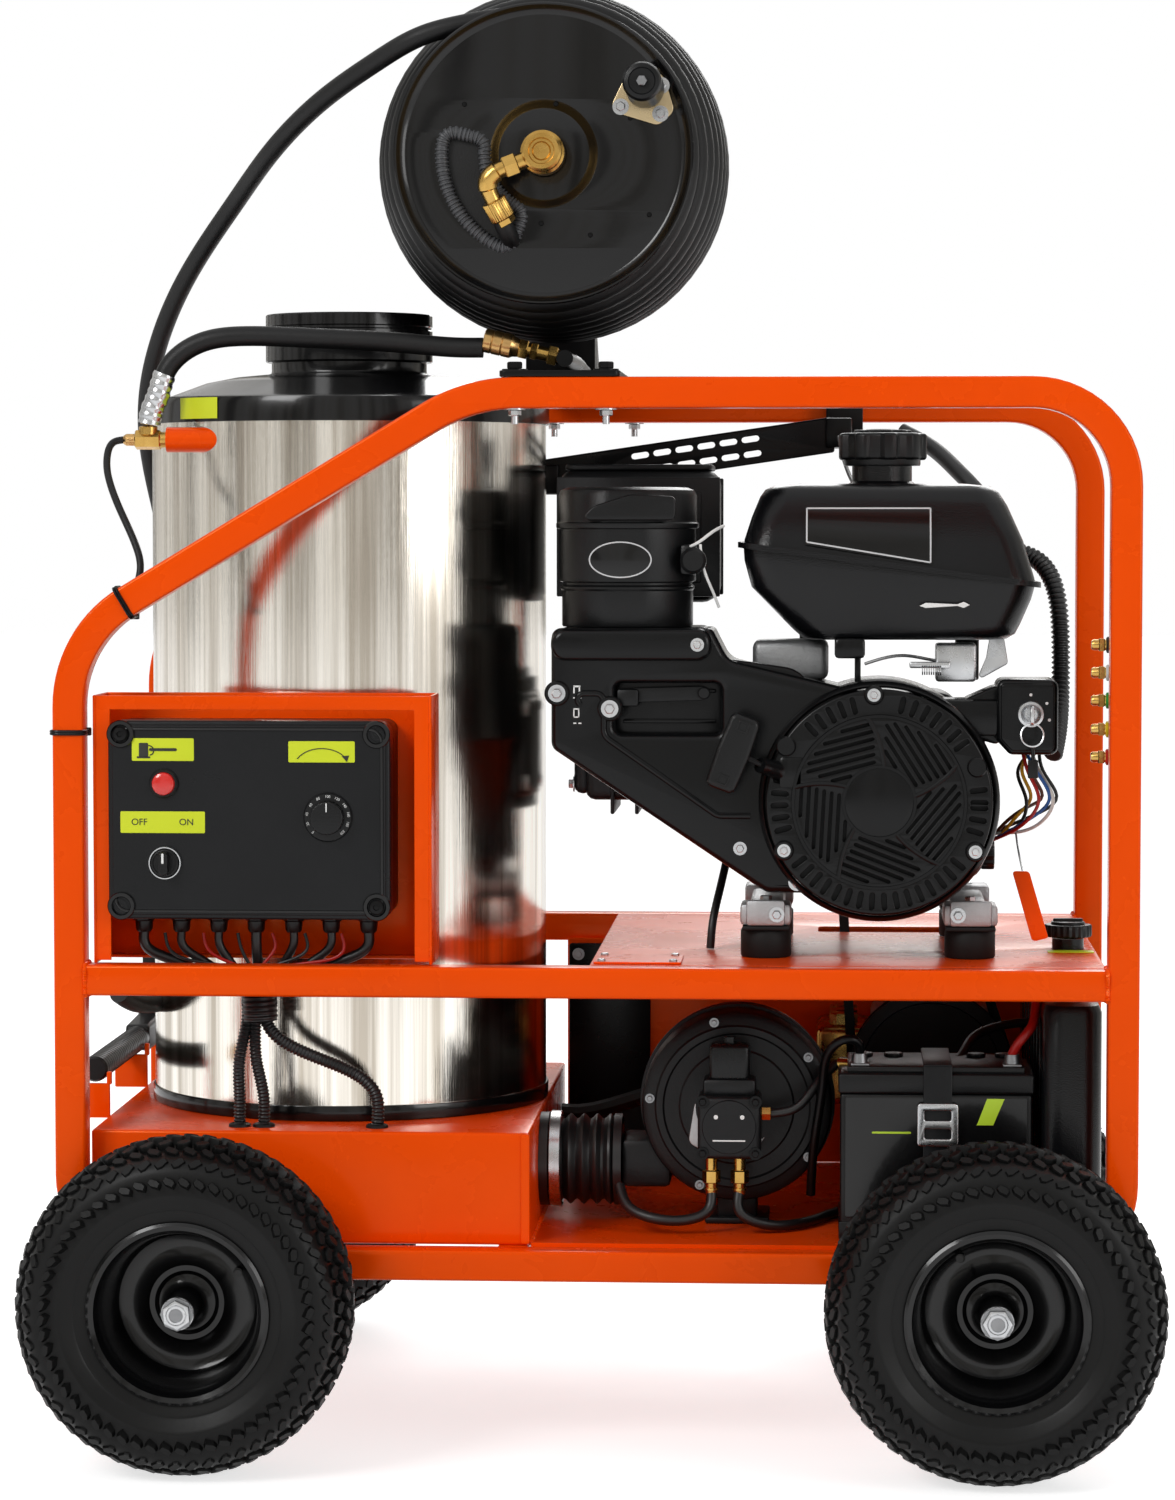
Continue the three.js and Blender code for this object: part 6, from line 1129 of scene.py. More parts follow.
ferrule = revolve([(9.8, -36), (12, -35), (12, -28), (11.2, -27), (12, -26), (12, -18), (11.2, -17),
                   (12, -16), (12, -8), (10, -5), (9, 0), (0, 0)], 40)
pipe_start, pipe_bend = np.array([-82, -150, 1082.7]), np.array([-36, -150, 1072.0])
way = pipe_bend - pipe_start
nut_places = [(0, 10.6, 9), (12, 9.2, 7), (30, 10.4, 9)]
swivel_brass = [tube([pipe_start, pipe_start + way * 0.5, pipe_bend], 7, 20)]
swivel_brass += [aimed(hex_bar(r, d, d + w, 0.9), pipe_start, way) for d, r, w in nut_places]
swivel_brass += [moved(revolve([(0, 228), (20, 228), (22, 226), (22, 216), (20.6, 215), (22, 214),
        (22, 200), (20, 198.4), (0, 198.4)], 40), REEL, "y")]
rear_pipe = pipe([(-36, -158, 1072), (-36, -100, 1072), (-36, 60, 1072), (-36, 190, 1072), (-37, 213, 1080),
                  (-40, 216, 1110), (-49, 216, 1210), (-53, 216, 1250)], 90, 8.4, 20)
piece("swivel_fittings", swivel_brass, BRASS, replaces="reel_swivel")
piece("swivel_pipe", rear_pipe, REEL_BLACK)
piece("hose_end_ferrule", aimed(ferrule, pipe_start, way), YELLOW_ZINC)
print("reel made")

# %% [markdown]
# ## Spray gun
# The gun hangs upside down in two cradles at the left end, with its trigger guard and insulated lance.

# %% Gun
GUN_X, GUN_Z = -510, 360
LANCE_END = (GUN_X, -262, GUN_Z)
gun_body = across(rounded([(95, 346), (180, 345), (258, 345), (258, 362), (256, 378), (256, 486),
        (222, 490), (222, 401), (178, 401), (178, 378), (95, 374)],
                          [6, 10, 8, 6, 0, 8, 8, 6, 4, 4, 6], 5), (-523, -497), 4.0)
guard = across(rounded([(178, 400), (184, 400), (184, 462), (223, 462), (223, 468), (178, 468)],
                       [0, 0, 3, 0, 0, 8], 4), (-518, -502), 2.0)
grip_ribs = [block((-523.6, -496.4), (223, 255), (z, z + 2.4), 1.0) for z in range(410, 480, 9)]
lance_grip = moved(revolve([(0, -130), (11, -130), (13, -127), (13, 128), (12, 131), (0, 131)], 36),
                   (GUN_X, -32, GUN_Z), "y")
grip_rings = [moved(ring_of([(12.6, -1.4), (13.3, -0.8), (13.3, 0.8), (12.6, 1.4)], 36), (GUN_X, y, GUN_Z),
                    "y") for y in range(-150, 90, 10)]
piece("spray_gun_body", [gun_body, guard, grip_ribs, lance_grip, grip_rings], MOULDED, replaces="spray_gun")
tip = revolve([(0, 0), (6.4, 0), (8, 2), (8, 12), (6.5, 14), (6.5, 30), (0, 30)], 32)
tip_collar = moved(plate(fluted(9.4, 18, 0.03, 72), 12, 22, 1.0), LANCE_END, "y")
inlet = moved(hex_bar(9.4, 490.2, 500, 0.9), (GUN_X, 239, 0), "z")
piece("lance_tip_and_inlet", [moved(tip, LANCE_END, "y"), tip_collar, inlet], BRASS)
trigger_shape = across(rounded([(199, 388), (211, 388), (212, 396), (208, 420), (211, 447), (204, 448),
        (199, 424)], [5, 5, 3, 8, 3, 3, 10], 5), (-516, -504), 2.2)
pin_shape = moved(rod(3.6, -12.4, 12.4, 16), (GUN_X, 205, 392), "x")
piece("gun_trigger_lever", [trigger_shape, pin_shape], RED_WIRE, "trigger", "gun_trigger")
print("gun made")

# %% [markdown]
# ## Engine
# A single-cylinder engine with its fan to the front: a folded cowl, a recoil cover with fanned slots, an
# upright air cleaner at the left, a muffler behind it, and a moulded tank on top.

# %% Cowl and fan drum
FAN_X, FAN_Z = 276, 637
COWL = rounded([(-46, 688), (166, 546), (276, 546), (276, 740), (128, 775), (112, 806), (-46, 806)],
               [12, 20, 2, 2, 18, 8, 10], 6)
cowl_front = wall(COWL, (-215, -196), 8.0, [rectangle((17, 121), (702, 752), 7)[::-1]], 4)
cowl_side = wall(inset(COWL, 1.6), (-200, -62), 2.0, [inset(COWL, 6)[::-1]])
cowl_top = wall(rounded([(-46, 774), (112, 774), (112, 806), (-46, 806)], [14, 14, 14, 14], 6), (-222, -64),
                7.0)
drum = moved(ring_of([(116, 62), (118, 64), (118, 217), (116.6, 222), (113.5, 225), (111.5, 223),
                      (111.5, 64), (113, 62)], 128), (FAN_X, 0, FAN_Z), "-y")
panel_line = rounded([(-34, 742), (6, 742), (6, 700), (118, 622), (150, 622)], [6, 8, 14, 14, 0], 6)
ridge = tube(upright(panel_line, -214.6), 3.2, 12)
bosses = [moved(revolve([(0, -218), (11, -218), (12.4, -216.6), (12.4, -190), (0, -190)], 32), (x, 0, z),
                "y") for x, z in ((-40, 742), (12, 727))]
recess_back = wall(rectangle((12, 128), (696, 760), 9), (-192.5, -189), 0.8)
recess_ribs = [block((24, 116), (-197, -192), (z, z + 4), 1.5) for z in (712, 742)]
cowl_parts = [cowl_front, cowl_side, cowl_top, drum, ridge, bosses, recess_back, recess_ribs]
piece("engine_cowl", cowl_parts, ENGINE_BLACK, replaces="fan_shroud")
cowl_bolts = [bolt((-40, -218, 742), "-y", 9), bolt((12, -218, 727), "-y", 9),
              bolt((196, -215.5, 557), "-y", 9),
              bolt((140, -215.5, 590), "-y", 7), bolt((98, -222, 790), "-y", 7)]
piece("cowl_bolts", cowl_bolts, ZINC)
icons = [block((x, x + w), (-215.5, -214.9), (z, z + h), 0.1) for x, z, w, h in
         [(-24, 748, 7, 1.6), (-24, 742, 1.4, 7), (-18.6, 742, 1.4, 7), (-24, 737, 3, 1.2),
          (-19, 737, 3, 1.2), (-24, 718, 6, 1.3), (-24, 726, 6, 1.3), (-24, 718, 1.2, 9),
          (-19.2, 718, 1.2, 9), (-24, 712, 3, 1.2), (-19, 712, 3, 1.2)]]
piece("cowl_print", icons, WHITE_INK)
piece("bare_gold_badge", wall(rectangle((175, 190), (747, 760), 1.5), (-206, -205), 0.2), GOLD_LABEL)
badge_web = wall(rounded([(128, 700), (210, 700), (210, 764), (128, 776)], [4, 4, 30, 6], 6), (-205, -190),
                 4.0)
piece("cowl_web", badge_web, ENGINE_BLACK)

# %% Recoil cover
def capsule(start, end, radius, steps=5):
    """A slot's outline: two half circles joined by straight sides."""
    start, end = np.asarray(start, float), np.asarray(end, float)
    way = (end - start) / np.linalg.norm(end - start)
    a = math.atan2(way[1], way[0])
    t = np.linspace(-math.pi / 2, math.pi / 2, steps)
    far = end + radius * around(a + t)
    near = start - radius * around(a + t)
    return np.concatenate([far, near])

def sector_slots(middle, half, inner, outer, lean, pitch, radius):
    """Parallel slots cut to one sector: each line is sampled, and the part inside the sector is kept."""
    a = math.radians(middle)
    d = np.array([math.cos(a + lean), math.sin(a + lean)])
    n = np.array([-d[1], d[0]])
    centre = (inner + outer) / 2 * np.array([math.cos(a), math.sin(a)])
    t = np.linspace(-70, 70, 281)
    slots = []
    for k in range(-8, 9):
        line = centre + n * k * pitch + t[:, None] * d
        r = np.hypot(line[:, 0], line[:, 1])
        turn = (np.degrees(np.arctan2(line[:, 1], line[:, 0])) - middle + 180) % 360 - 180
        widest = half - 1.7 * radius / r * 57.3
        inside = line[(r > inner + radius) & (r < outer - radius) & (np.abs(turn) < widest)]
        if len(inside) > 24:
            slots.append(capsule(inside[0], inside[-1], radius)[::-1])
    return slots

COVER_BOLTS = [(93, 105), (207, 104), (333, 105), (20, 101), (149, 106)]
outer_slots = []
for degrees in range(0, 360, 7):
    if min(abs((degrees - b + 180) % 360 - 180) for b, _ in COVER_BOLTS) > 9:
        a = math.radians(degrees)
        ray = np.array([math.cos(a), math.sin(a)])
        outer_slots.append(capsule(ray * 91, ray * 103.5, 2.6)[::-1])
cover_ring = plate(circle(110.5, 120), 225.3, 234, 2.4, [circle(84, 96)[::-1], *outer_slots], hole_bevel=0.7)
inner_slots = [s for k in range(5) for s in sector_slots(54 + 72 * k, 33, 36, 80, 1.2, 7.4, 1.7)]
cover_disc = plate(circle(84.5, 96), 228, 236, 1.6, inner_slots, hole_bevel=0.6)
spokes = []
for k in range(5):
    t = np.linspace(0, 1, 12)
    a = np.radians(54 + 36 + 72 * k) + 0.28 * (t - 0.5)
    r = 34 + 50 * t
    spokes.append(tube(np.stack([r * np.cos(a), r * np.sin(a), np.full(12, 235.4)], -1), 2.4, 10))
rings = [ring_of([(r - 2.2, 233), (r - 1.4, 237.4), (r + 1.4, 237.4), (r + 2.2, 233)], 96) for r in (35, 84)]
cap_disc = revolve([(0, 238.2), (28, 238), (33, 236.4), (33, 232), (0, 232)][::-1], 64)
cover_bosses = [moved(revolve([(0, 238), (8.4, 238), (9.8, 236.4), (9.8, 225.4), (0, 225.4)][::-1], 28),
                      (r * math.cos(math.radians(d)), r * math.sin(math.radians(d)), 0))
                      for d, r in COVER_BOLTS]
cover_shape = moved(joined(cover_ring, cover_disc, spokes, rings, cap_disc, cover_bosses),
                    (FAN_X, 0, FAN_Z), "-y")
piece("recoil_cover_grille", cover_shape, ENGINE_BLACK, replaces="recoil_cover")
cover_bolts = [bolt((FAN_X + r * math.cos(math.radians(d)), -237.8, FAN_Z + r * math.sin(math.radians(d))),
                    "-y", 6.8) for d, r in COVER_BOLTS[:3]]
piece("recoil_cover_bolts", cover_bolts, ZINC)
screen = moved(rod(108, 220, 224, 64), (FAN_X, 0, FAN_Z), "-y")
piece("fan_screen", screen, CAST_BLACK)
guide_way = [(188, -222, 664), (176, -230, 668), (166, -244, 672), (160, -251, 674)]
piece("rope_guide", [pipe(guide_way, 14, np.linspace(11, 7.5, 14), 20),
                           block((178, 204), (-236, -226), (650, 682), 5)], ENGINE_BLACK)
print("slots:", len(outer_slots) + len(inner_slots))

# %% Starter grip and rope
grip_outline = rounded([(-15, -38), (15, -38), (16.5, 0), (15, 38), (-15, 38), (-16.5, 0)],
                       [7, 7, 30, 7, 7, 30], 6)
grip_core = plate(grip_outline, 241, 262.5, 5.0, steps=4)
grip_marks = [plate(rectangle((-6, 6), (z, z + 11), 2), 262.3, 263.6, 0.5,
                    [rectangle((-4, 4), (z + 2, z + 9), 1)[::-1]]) for z in (-33, 22)]
STARTER = (134, 0, 686)
piece("starter_grip_handle", moved(joined(grip_core, grip_marks), STARTER, "-y", spin=-math.radians(21)),
      MOULDED, "starter", "starter_grip")
rope_line = spline([(176, -226, 668), (163, -248, 673), (152, -252, 679), (140, -252, 684)], 40)
rope = piece("starter_rope", tube(rope_line, 2.6, 10), REEL_BLACK)
world_now = rope.matrix_world.copy()
rope.parent = None
rope.matrix_world = world_now
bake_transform(rope)

# %% Lever, lock and key
LEVER, LOCK = (104, 0, 742), (424, 0, 722)
lever_arm = moved(plate(rounded([(-84, -9), (-66, -9), (0, -7), (6, 0), (0, 7), (-66, 5), (-84, 3)],
        [3, 6, 6, 7, 6, 6, 3], 4), 199, 203, 0.9), LEVER, "-y")
lever_knob = block((18.5, 40), (-211, -196), (729, 746), 3.0)
lever_pin = moved(revolve([(0, 194), (6, 194), (6, 206), (5, 207), (0, 207)], 20), LEVER, "-y")
piece("throttle_lever_arm", [lever_arm, lever_knob, lever_pin], MOULDED, "throttle", "throttle_lever")
box_outline = rounded([(391, 696), (404, 682), (451, 682), (451, 756), (391, 756)], [6, 8, 8, 8, 8], 5)
key_case = wall(box_outline, (-200, -120), 5.0, steps=4)
key_face = wall(inset(box_outline, 4), (-202, -199), 1.4)
key_arm = joined(block((300, 400), (-196, -128), (700, 736), 6),
                 wall(rounded([(360, 736), (396, 752), (396, 690), (360, 700)], [6, 6, 6, 6], 4),
                      (-186, -130), 3))
piece("key_switch_box", [key_case, key_face, key_arm], ENGINE_BLACK, replaces="key_box")
lock_ring = moved(ring_of([(6.5, 201.6), (13.4, 201.6), (13.4, 205), (12.4, 207.4), (10, 208), (6.5, 206)],
                          40), LOCK, "-y")
piece("lock_bezel", lock_ring, ZINC)
barrel = moved(revolve([(0, 203), (6.8, 203), (6.8, 206.6), (6, 207.6), (0, 207.6)][::-1], 28), LOCK, "-y")
blade = block((422.8, 425.2), (-228, -207), (716, 728), 0.6)
bow = across(rounded([(-228, 712), (-226, 732), (-240, 731), (-240, 713)], [2, 2, 6, 6], 5), (422, 426), 0.9)
ring_line = np.stack([424 + 11 * np.cos(np.arange(41) * TURN / 40),
                      -234 + 2 * np.sin(np.arange(41) * TURN / 40),
                      703 + 11 * np.sin(np.arange(41) * TURN / 40)], -1)
chain = [pipe([(424, -234, 692), (425, -233, 685), (425, -232, 678)], 10, 1.8, 8),
         block((420, 430), (-234, -231), (661, 679), 1)]
piece("key_and_ring", [barrel, blade, bow, tube(ring_line, 0.9, 8)], ZINC, "key", "ignition_key")
piece("key_fob", chain, MOULDED, "key")
dots = [moved(revolve([(0, 202.2), (1.5, 202.1), (1.5, 201), (0, 201)], 14),
              (424 + 19 * math.cos(a), 0, 722 + 19 * math.sin(a)), "-y") for a in (1.57, 0.6, -0.3)]
piece("key_switch_print", dots, WHITE_INK)

# %% Air cleaner and muffler
AIR = (26, -142)
air_profile = [(0, 806.4), (66, 806.4), (67, 808), (67, 842), (68.5, 844), (68.5, 846), (66, 848),
               (66, 850), (69.6, 851.5), (70, 853), (70, 903), (72.4, 904), (73, 905), (73, 908.6),
               (71.5, 910), (71, 912), (71, 936), (68.5, 941.5), (62, 944), (55, 944.4), (52, 941),
               (0, 941)]
p = np.array(air_profile)
t = np.arange(96) * TURN / 96
squared = (np.abs(np.cos(t)) ** 3.4 + np.abs(np.sin(t)) ** 3.4) ** (-1 / 3.4)
squared = squared / squared.max() * 1.115
v = np.concatenate([p[:, None, :1] * np.minimum(squared, 1.0)[None, :, None] * around(t)[None],
                    np.broadcast_to(p[:, None, 1:], (len(p), 96, 1))], -1).reshape(-1, 3)
air_body = moved((v, [grid(len(p), 96, wrap_cols=True)]), (*AIR, 0))
raised = moved(plate(rounded([(-44, 912), (50, 912), (50, 935), (6, 937), (-30, 926)], [4, 5, 5, 16, 16],
        6), 60, 72.4, 1.6), (AIR[0], AIR[1], 0), "-y")
lid_ribs = [block((AIR[0] - 60 + 8 * k, AIR[0] - 57 + 8 * k), (AIR[1] - 44, AIR[1] + 44), (940, 943.4), 1)
            for k in range(3, 13)]
knob = joined(moved(revolve([(0, 0), (12, 0), (13, 2), (13, 11), (10, 14), (0, 14)], 24), (93, -190, 872),
                    "-y"), block((80, 96), (-196, -160), (858, 888), 4))
piece("air_cleaner_housing", [air_body, raised, lid_ribs, knob], MOULDED, replaces="air_cleaner")
oval = circle(1, 56) * (31, 18) + (AIR[0] - 4, 873)
print_rim = plate(oval, 69.4, 70.6, 0.2, [circle(1, 56)[::-1] * (29.6, 16.6) + (AIR[0] - 4, 873)])
piece("bare_oval_badge", moved(plate(oval, 68.6, 70.2, 0.3), (0, AIR[1], 0), "-y"), GLOSS_BLACK)
piece("oval_badge_rim", moved(print_rim, (0, AIR[1], 0), "-y"), PALE_LABEL)
ties = [pipe([(86, -192, 884), (98, -196, 890), (110, -190, 899), (122, -170, 906)], 20, 1.6, 8),
        pipe([(100, -196, 888), (103, -198, 866), (112, -190, 842), (118, -182, 826)], 20, 1.4, 8),
        pipe([(92, -196, 874), (99, -200, 880), (104, -198, 868), (97, -195, 864), (92, -196, 872)], 24,
             1.4, 8)]
piece("white_cable_ties", ties, WHITE_INK)

muffler_body = block((-50, 113), (-38, 94), (828, 964), 16, 5)
guard_skin = joined(
    block((-52, 115), (-40, -37), (834, 956), 1.4), block((-52, 115), (93, 96), (834, 956), 1.4),
    plate(rectangle((-44, 107), (-32, 88), 12), 963, 969, 2.0,
          [capsule((x, y), (x, y + 26), 3.6)[::-1] for x in range(-30, 100, 16) for y in (-20, 22, 56)],
          hole_bevel=0.6))
louvres = [block((-40 + 18 * k, -30 + 18 * k), y, (848, 940), 2.2) for y in ((-42.5, -38), (94, 98.5))
           for k in range(8)]
pipes = [moved(sleeve(11, 16, 748, 830, 28), (62, 34, 0)), moved(sleeve(12.4, 15, 92, 122, 32),
        (30, 0, 900), "y"),
         moved(plate(rectangle((-26, 26), (-26, 26), 8), 748.2, 757, 1), (62, 34, 0))]
piece("muffler_and_guard", [muffler_body, guard_skin, louvres, pipes], CAST_BLACK, replaces="muffler")
print("engine top left made")

# %% Engine tank
CAP = (279, -92, 0)

def loft(levels, steps=10):
    """Rounded rectangles stacked into a closed body. Each level gives left, right, front, back, corner
    radius and the heights at its left and right end, so a level may slope."""
    rings = []
    for left, right, front, back, radius, low, high in levels:
        o = rounded([(left, front), (right, front), (right, back), (left, back)], radius, steps)
        share = (o[:, 0] - left) / (right - left)
        rings.append(np.column_stack([o, low + share * (high - low)]))
    n = len(rings[0])
    caps = [np.arange(n)[None, ::-1], (len(rings) - 1) * n + np.arange(n)[None]]
    return np.concatenate(rings), [grid(len(rings), n, wrap_cols=True), *caps]

tank_levels = [(222, 388, -160, -15, 16, 793.4, 793.4), (208, 402, -178, 2, 24, 793.8, 794.6),
               (200, 410, -188, 11, 28, 796, 800), (190, 415, -193, 16, 30, 805, 810),
               (150, 425, -202, 25, 30, 846, 834), (143, 428, -204, 27.6, 30, 872, 845),
               (142, 429, -205, 28, 30, 886, 849), (143, 428, -203.6, 27, 30, 893, 855),
               (150, 417, -194, 19, 28, 915, 892), (158, 402, -182, 8, 28, 935, 926),
               (163, 394, -176, 2, 26, 942, 939), (172, 385, -168, -6, 22, 946, 945.4),
               (196, 360, -148, -26, 16, 948, 948)]
flange_levels = [(136.5, 434.5, -209.6, 32.4, 32, z, z - 39.6) for z in (885, 890.6)]
tank_shape = joined(loft(tank_levels), loft(flange_levels))
feet_straps = [block((196, 220), (-4, 22), (748, 800), 2), block((356, 380), (-4, 22), (748, 800), 2),
               block((232, 262), (-196, -120), (776, 796), 4),
               block((252, 258), (-170, -120), (745, 780), 2)]
neck = moved(ring_of([(24, 940), (34, 940), (34, 948), (30, 951), (30, 966), (24, 966)], 48), CAP)
piece("engine_tank_body", [tank_shape, neck], TANK, replaces="engine_fuel_tank", sharp=40)
piece("engine_tank_brackets", feet_straps, ENGINE_BLACK)

label_front = rounded([(203, 925), (327, 925), (327, 869), (203, 889)], [5, 5, 5, 5], 5)

def on_tank(shape, depth):
    """A flat label pressed to the tank's leaning upper front: y moves back as the height grows."""
    v, faces = shape
    lean = np.interp(v[:, 2], [846, 893, 915, 935, 942], [-204, -203.6, -194.5, -183, -176])
    return np.column_stack([v[:, 0], lean - depth * (v[:, 1] < -0.5), v[:, 2]]), faces

def label_strip(outline, cuts=10):
    """A label as a fine grid, so that it can lean with the tank."""
    low, high = outline.min(0), outline.max(0)
    t = np.linspace(0, 1, cuts)
    left = np.column_stack([np.full(cuts, low[0]), np.interp(t, [0, 1], [high[1], 888])])
    right = np.column_stack([np.full(cuts, high[0]), np.interp(t, [0, 1], [high[1], 868])])
    return upright(np.stack([left, right], 1).reshape(-1, 2), -1.0), [grid(cuts, 2)]

piece("tank_bare_label", on_tank(label_strip(label_front), 1.2), GLOSS_BLACK)

def border(points, width):
    """Thin strips along a closed line of corners in X and Z, as a printed frame."""
    pts = np.asarray(points, float)
    strips = []
    for a, b in zip(pts, np.roll(pts, -1, 0)):
        t = np.linspace(0, 1, 12)[:, None]
        line = a + (b - a) * t
        n = np.array([-(b - a)[1], (b - a)[0]]) / np.linalg.norm(b - a) * width / 2
        v = np.stack([line + n, line - n], 1).reshape(-1, 2)
        strips.append((upright(v, -1.0), [grid(12, 2)]))
    return joined(strips)

piece("tank_label_rim", on_tank(border([(204.5, 923.5), (325.5, 923.5), (325.5, 870.5), (204.5, 890.5)],
        1.5), 1.5), PALE_LABEL)
mark = wall([(315, 828), (321, 831), (352, 829.6), (358, 832), (364, 829), (358, 826), (352, 828),
             (321, 826)], (-204, -201), 0.1)
piece("tank_fuel_mark", mark, WHITE_INK)
lobes = circle(42.5, 120) * (1 + 0.055 * np.tanh(3 * np.cos(9 * np.arange(120) * TURN / 120)))[:, None]
cap_skirt = ring_of([(33, 966.4), (38, 966.4), (38.6, 968), (38.6, 978), (33, 978)], 64)
cap_shape = joined(plate(lobes, 972, 999, 3.5, steps=4), cap_skirt, plate(lobes * 0.66, 998, 1002.2, 2.0),
                   ring_of([(14, 1002), (16, 1003), (18, 1002)], 48))
piece("engine_tank_cap_lobed", moved(cap_shape, CAP), MOULDED, "petrol_cap", "engine_tank_cap")
print("tank points:", len(tank_shape[0]))

# %% Crankcase and mounts
case_outline = rounded([(160, 545), (385, 545), (385, 700), (345, 738), (160, 738)], [16, 26, 30, 30, 10], 6)
crankcase_body = wall(case_outline, (-59, 60), 7.0, steps=4)
side_cover = wall(inset(case_outline, 9), (58, 75), 5.0, steps=3)
cover_ribs = [wall(capsule((FAN_X + 52 * math.cos(a), FAN_Z + 52 * math.sin(a)),
        (FAN_X + 84 * math.cos(a), FAN_Z + 84 * math.sin(a)), 2.5), (72, 77), 1)
              for a in np.radians([20, 65, 115, 160, 200, 245, 295, 340])]
snout = moved(ring_of([(24, 70), (34, 72), (34, 84), (30, 86), (24, 86)], 48), (FAN_X, 0, FAN_Z), "y")
barrel_block = block((-22, 165), (-52, 70), (626, 734), 10, 3)
fins = [block((4 + 25 * k, 8 + 25 * k), (-56, 75), (612, 748), 1.6) for k in range(6)]
rocker = block((-34, -16), (-44, 62), (632, 728), 8, 3)
oil = [moved(joined(rod(11, 0, 12, 24), plate(fluted(15, 10, 0.06, 80), 12, 26, 2)), (372, 30, 566), "x"),
       moved(hexagon(15, 0, 9), (180, 75, 558), "y")]
piece("crankcase_castings", [crankcase_body, side_cover, cover_ribs, snout, barrel_block, fins, rocker],
      CAST_BLACK, replaces="crankcase")
piece("oil_plugs", oil, MOULDED)
cover_screws = [bolt((x, 75, z), "y", 9) for x, z in ((176, 558), (240, 556), (310, 556), (368, 562),
        (372, 630), (366, 690), (330, 722), (250, 726), (178, 722))]
cover_screws += [bolt((-34, y, z), "-x", 9) for y in (-34, 52) for z in (642, 718)]
piece("case_screws", cover_screws, ZINC)
foot_bolts = []
for side, (x0, x1) in (("left", (140, 190)), ("right", (340, 393))):
    foot = joined(
        block((x0, x1), (-200, -150), (512.5, 534), 4), block((x0, x1), (25, 70), (512.5, 534), 4),
        block((x0 + 8, x1 - 8), (-152, 28), (514, 530), 4),
        block((x0 + 6, x1 - 6), (-204, -196), (512.5, 538), 3))
    rubber = joined(
        [moved(revolve([(0, 480.3), (24, 480.3), (25, 482), (25, 506), (24, 507.8), (0, 507.8)], 40),
               ((x0 + x1) / 2, y, 0)) for y in (-175, 45)],
        block((x0 + 2, x1 - 2), (-204, 74), (508.2, 512.2), 1))
    piece(side + "_engine_foot", foot, CAST_GREY)
    piece(side + "_rubber_mounts", rubber, MOUNT_RUBBER, replaces=side + "_engine_mount")
    foot_bolts += [bolt((x0 + 36 if side == "left" else x0 + 14, -204.5, 524), "-y", 8)]
    foot_bolts += [bolt(((x0 + x1) / 2, y, 534), "z", 10) for y in (-175, 48)]
piece("mount_bolts", foot_bolts, ZINC)

# %% Engine wires, hoses and the slotted strut
STRUT_START, STRUT_RUN, STRUT_RISE = (-78, 959), 307.0, 45.0
strut_length = float(np.hypot(STRUT_RUN, STRUT_RISE))
strut_lean = math.atan2(STRUT_RISE, STRUT_RUN)
slots = [capsule((x, z), (x + 13, z), 3.2)[::-1] for x in range(96, 232, 24) for z in (-8, 8)]
strut_flat = plate(rectangle((0, strut_length), (-19, 19), 3), 0, 2.5, 0.5, slots, hole_bevel=0.3)
strut_lip = block((0, strut_length), (16.5, 19), (0, 16), 0.8)
v, faces = joined(strut_flat, strut_lip)
c, s = math.cos(strut_lean), math.sin(strut_lean)
strut = (np.column_stack([STRUT_START[0] + v[:, 0] * c - v[:, 1] * s, 200 + v[:, 2],
                          STRUT_START[1] + v[:, 0] * s + v[:, 1] * c]), faces)
ends = [block((-98, -66), (196, 270), (940, 972), 2), block((222, 250), (196, 270), (990, 1022), 2),
        block((222, 262), (250, 262), (1000, 1049), 1)]
piece("slotted_strut", [strut, ends], REEL_BLACK)
fuel_pipe = ribbed([(418, 20, 880), (438, 10, 872), (456, -10, 845), (462, -20, 800), (462, -30, 740),
                    (458, -60, 700), (452, -90, 676)], 8.6, 2.4, 5.2)
smooth_pipe = pipe([(302, 120, 1006), (330, 100, 990), (360, 60, 962), (390, 30, 925), (404, 20, 890),
                    (410, 16, 868)], 50, 8.5, 16)
thin_pipe = pipe([(122, -60, 562), (116, -90, 535), (110, -110, 505), (108, -112, 481)], 30, 4.2, 12)
cable = pipe([(236, 130, 1000), (240, 90, 980), (250, 20, 952), (254, -10, 940), (256, -20, 920)], 30, 2.2,
             10)
piece("engine_pipes", [fuel_pipe, smooth_pipe, thin_pipe, cable], CONDUIT)
WIRES = [("#b3140c", 0, 0), ("#1b5aa8", 9, 4), ("#d7a012", -6, 10), ("#e4e2dc", 12, -6), ("#141414", -10, -4),
         ("#5a2a14", 4, 14), ("#141414", 16, 6)]
for k, (code, sway, lift) in enumerate(WIRES):
    line = spline([(418 + 3 * k, -160 + 6 * k, 684), (424 + sway, -166 + 5 * k, 662),
                   (434 + sway * 1.2, -168 + 4 * k + lift, 636), (420 + sway * 0.6, -160 + 4 * k, 612 + lift),
                   (404 - 2 * k, -140 + 4 * k, 600), (392, -110 + 8 * k, 592)], 40)
    piece("engine_wire_" + str(k), tube(line, 1.8, 8), finish("wire_colour_" + str(k), code, (0.35, 0.45)))
tag_line = pipe([(412, -160, 602), (414, -176, 585), (418, -180, 566)], 16, 1.0, 8)
tag = across(rounded([(-186, 566), (-172, 566), (-168, 500), (-182, 496)], [3, 3, 3, 3], 4), (414, 416), 0.4)
v, faces = tag
tag = (np.column_stack([416 + (v[:, 1] + 179) * 1.2 + (566 - v[:, 2]) * 0.22, -178 + (v[:, 0] - 415),
                        v[:, 2]]), faces)
piece("tag_wire", tag_line, ZINC)
piece("orange_tag", tag, ORANGE)
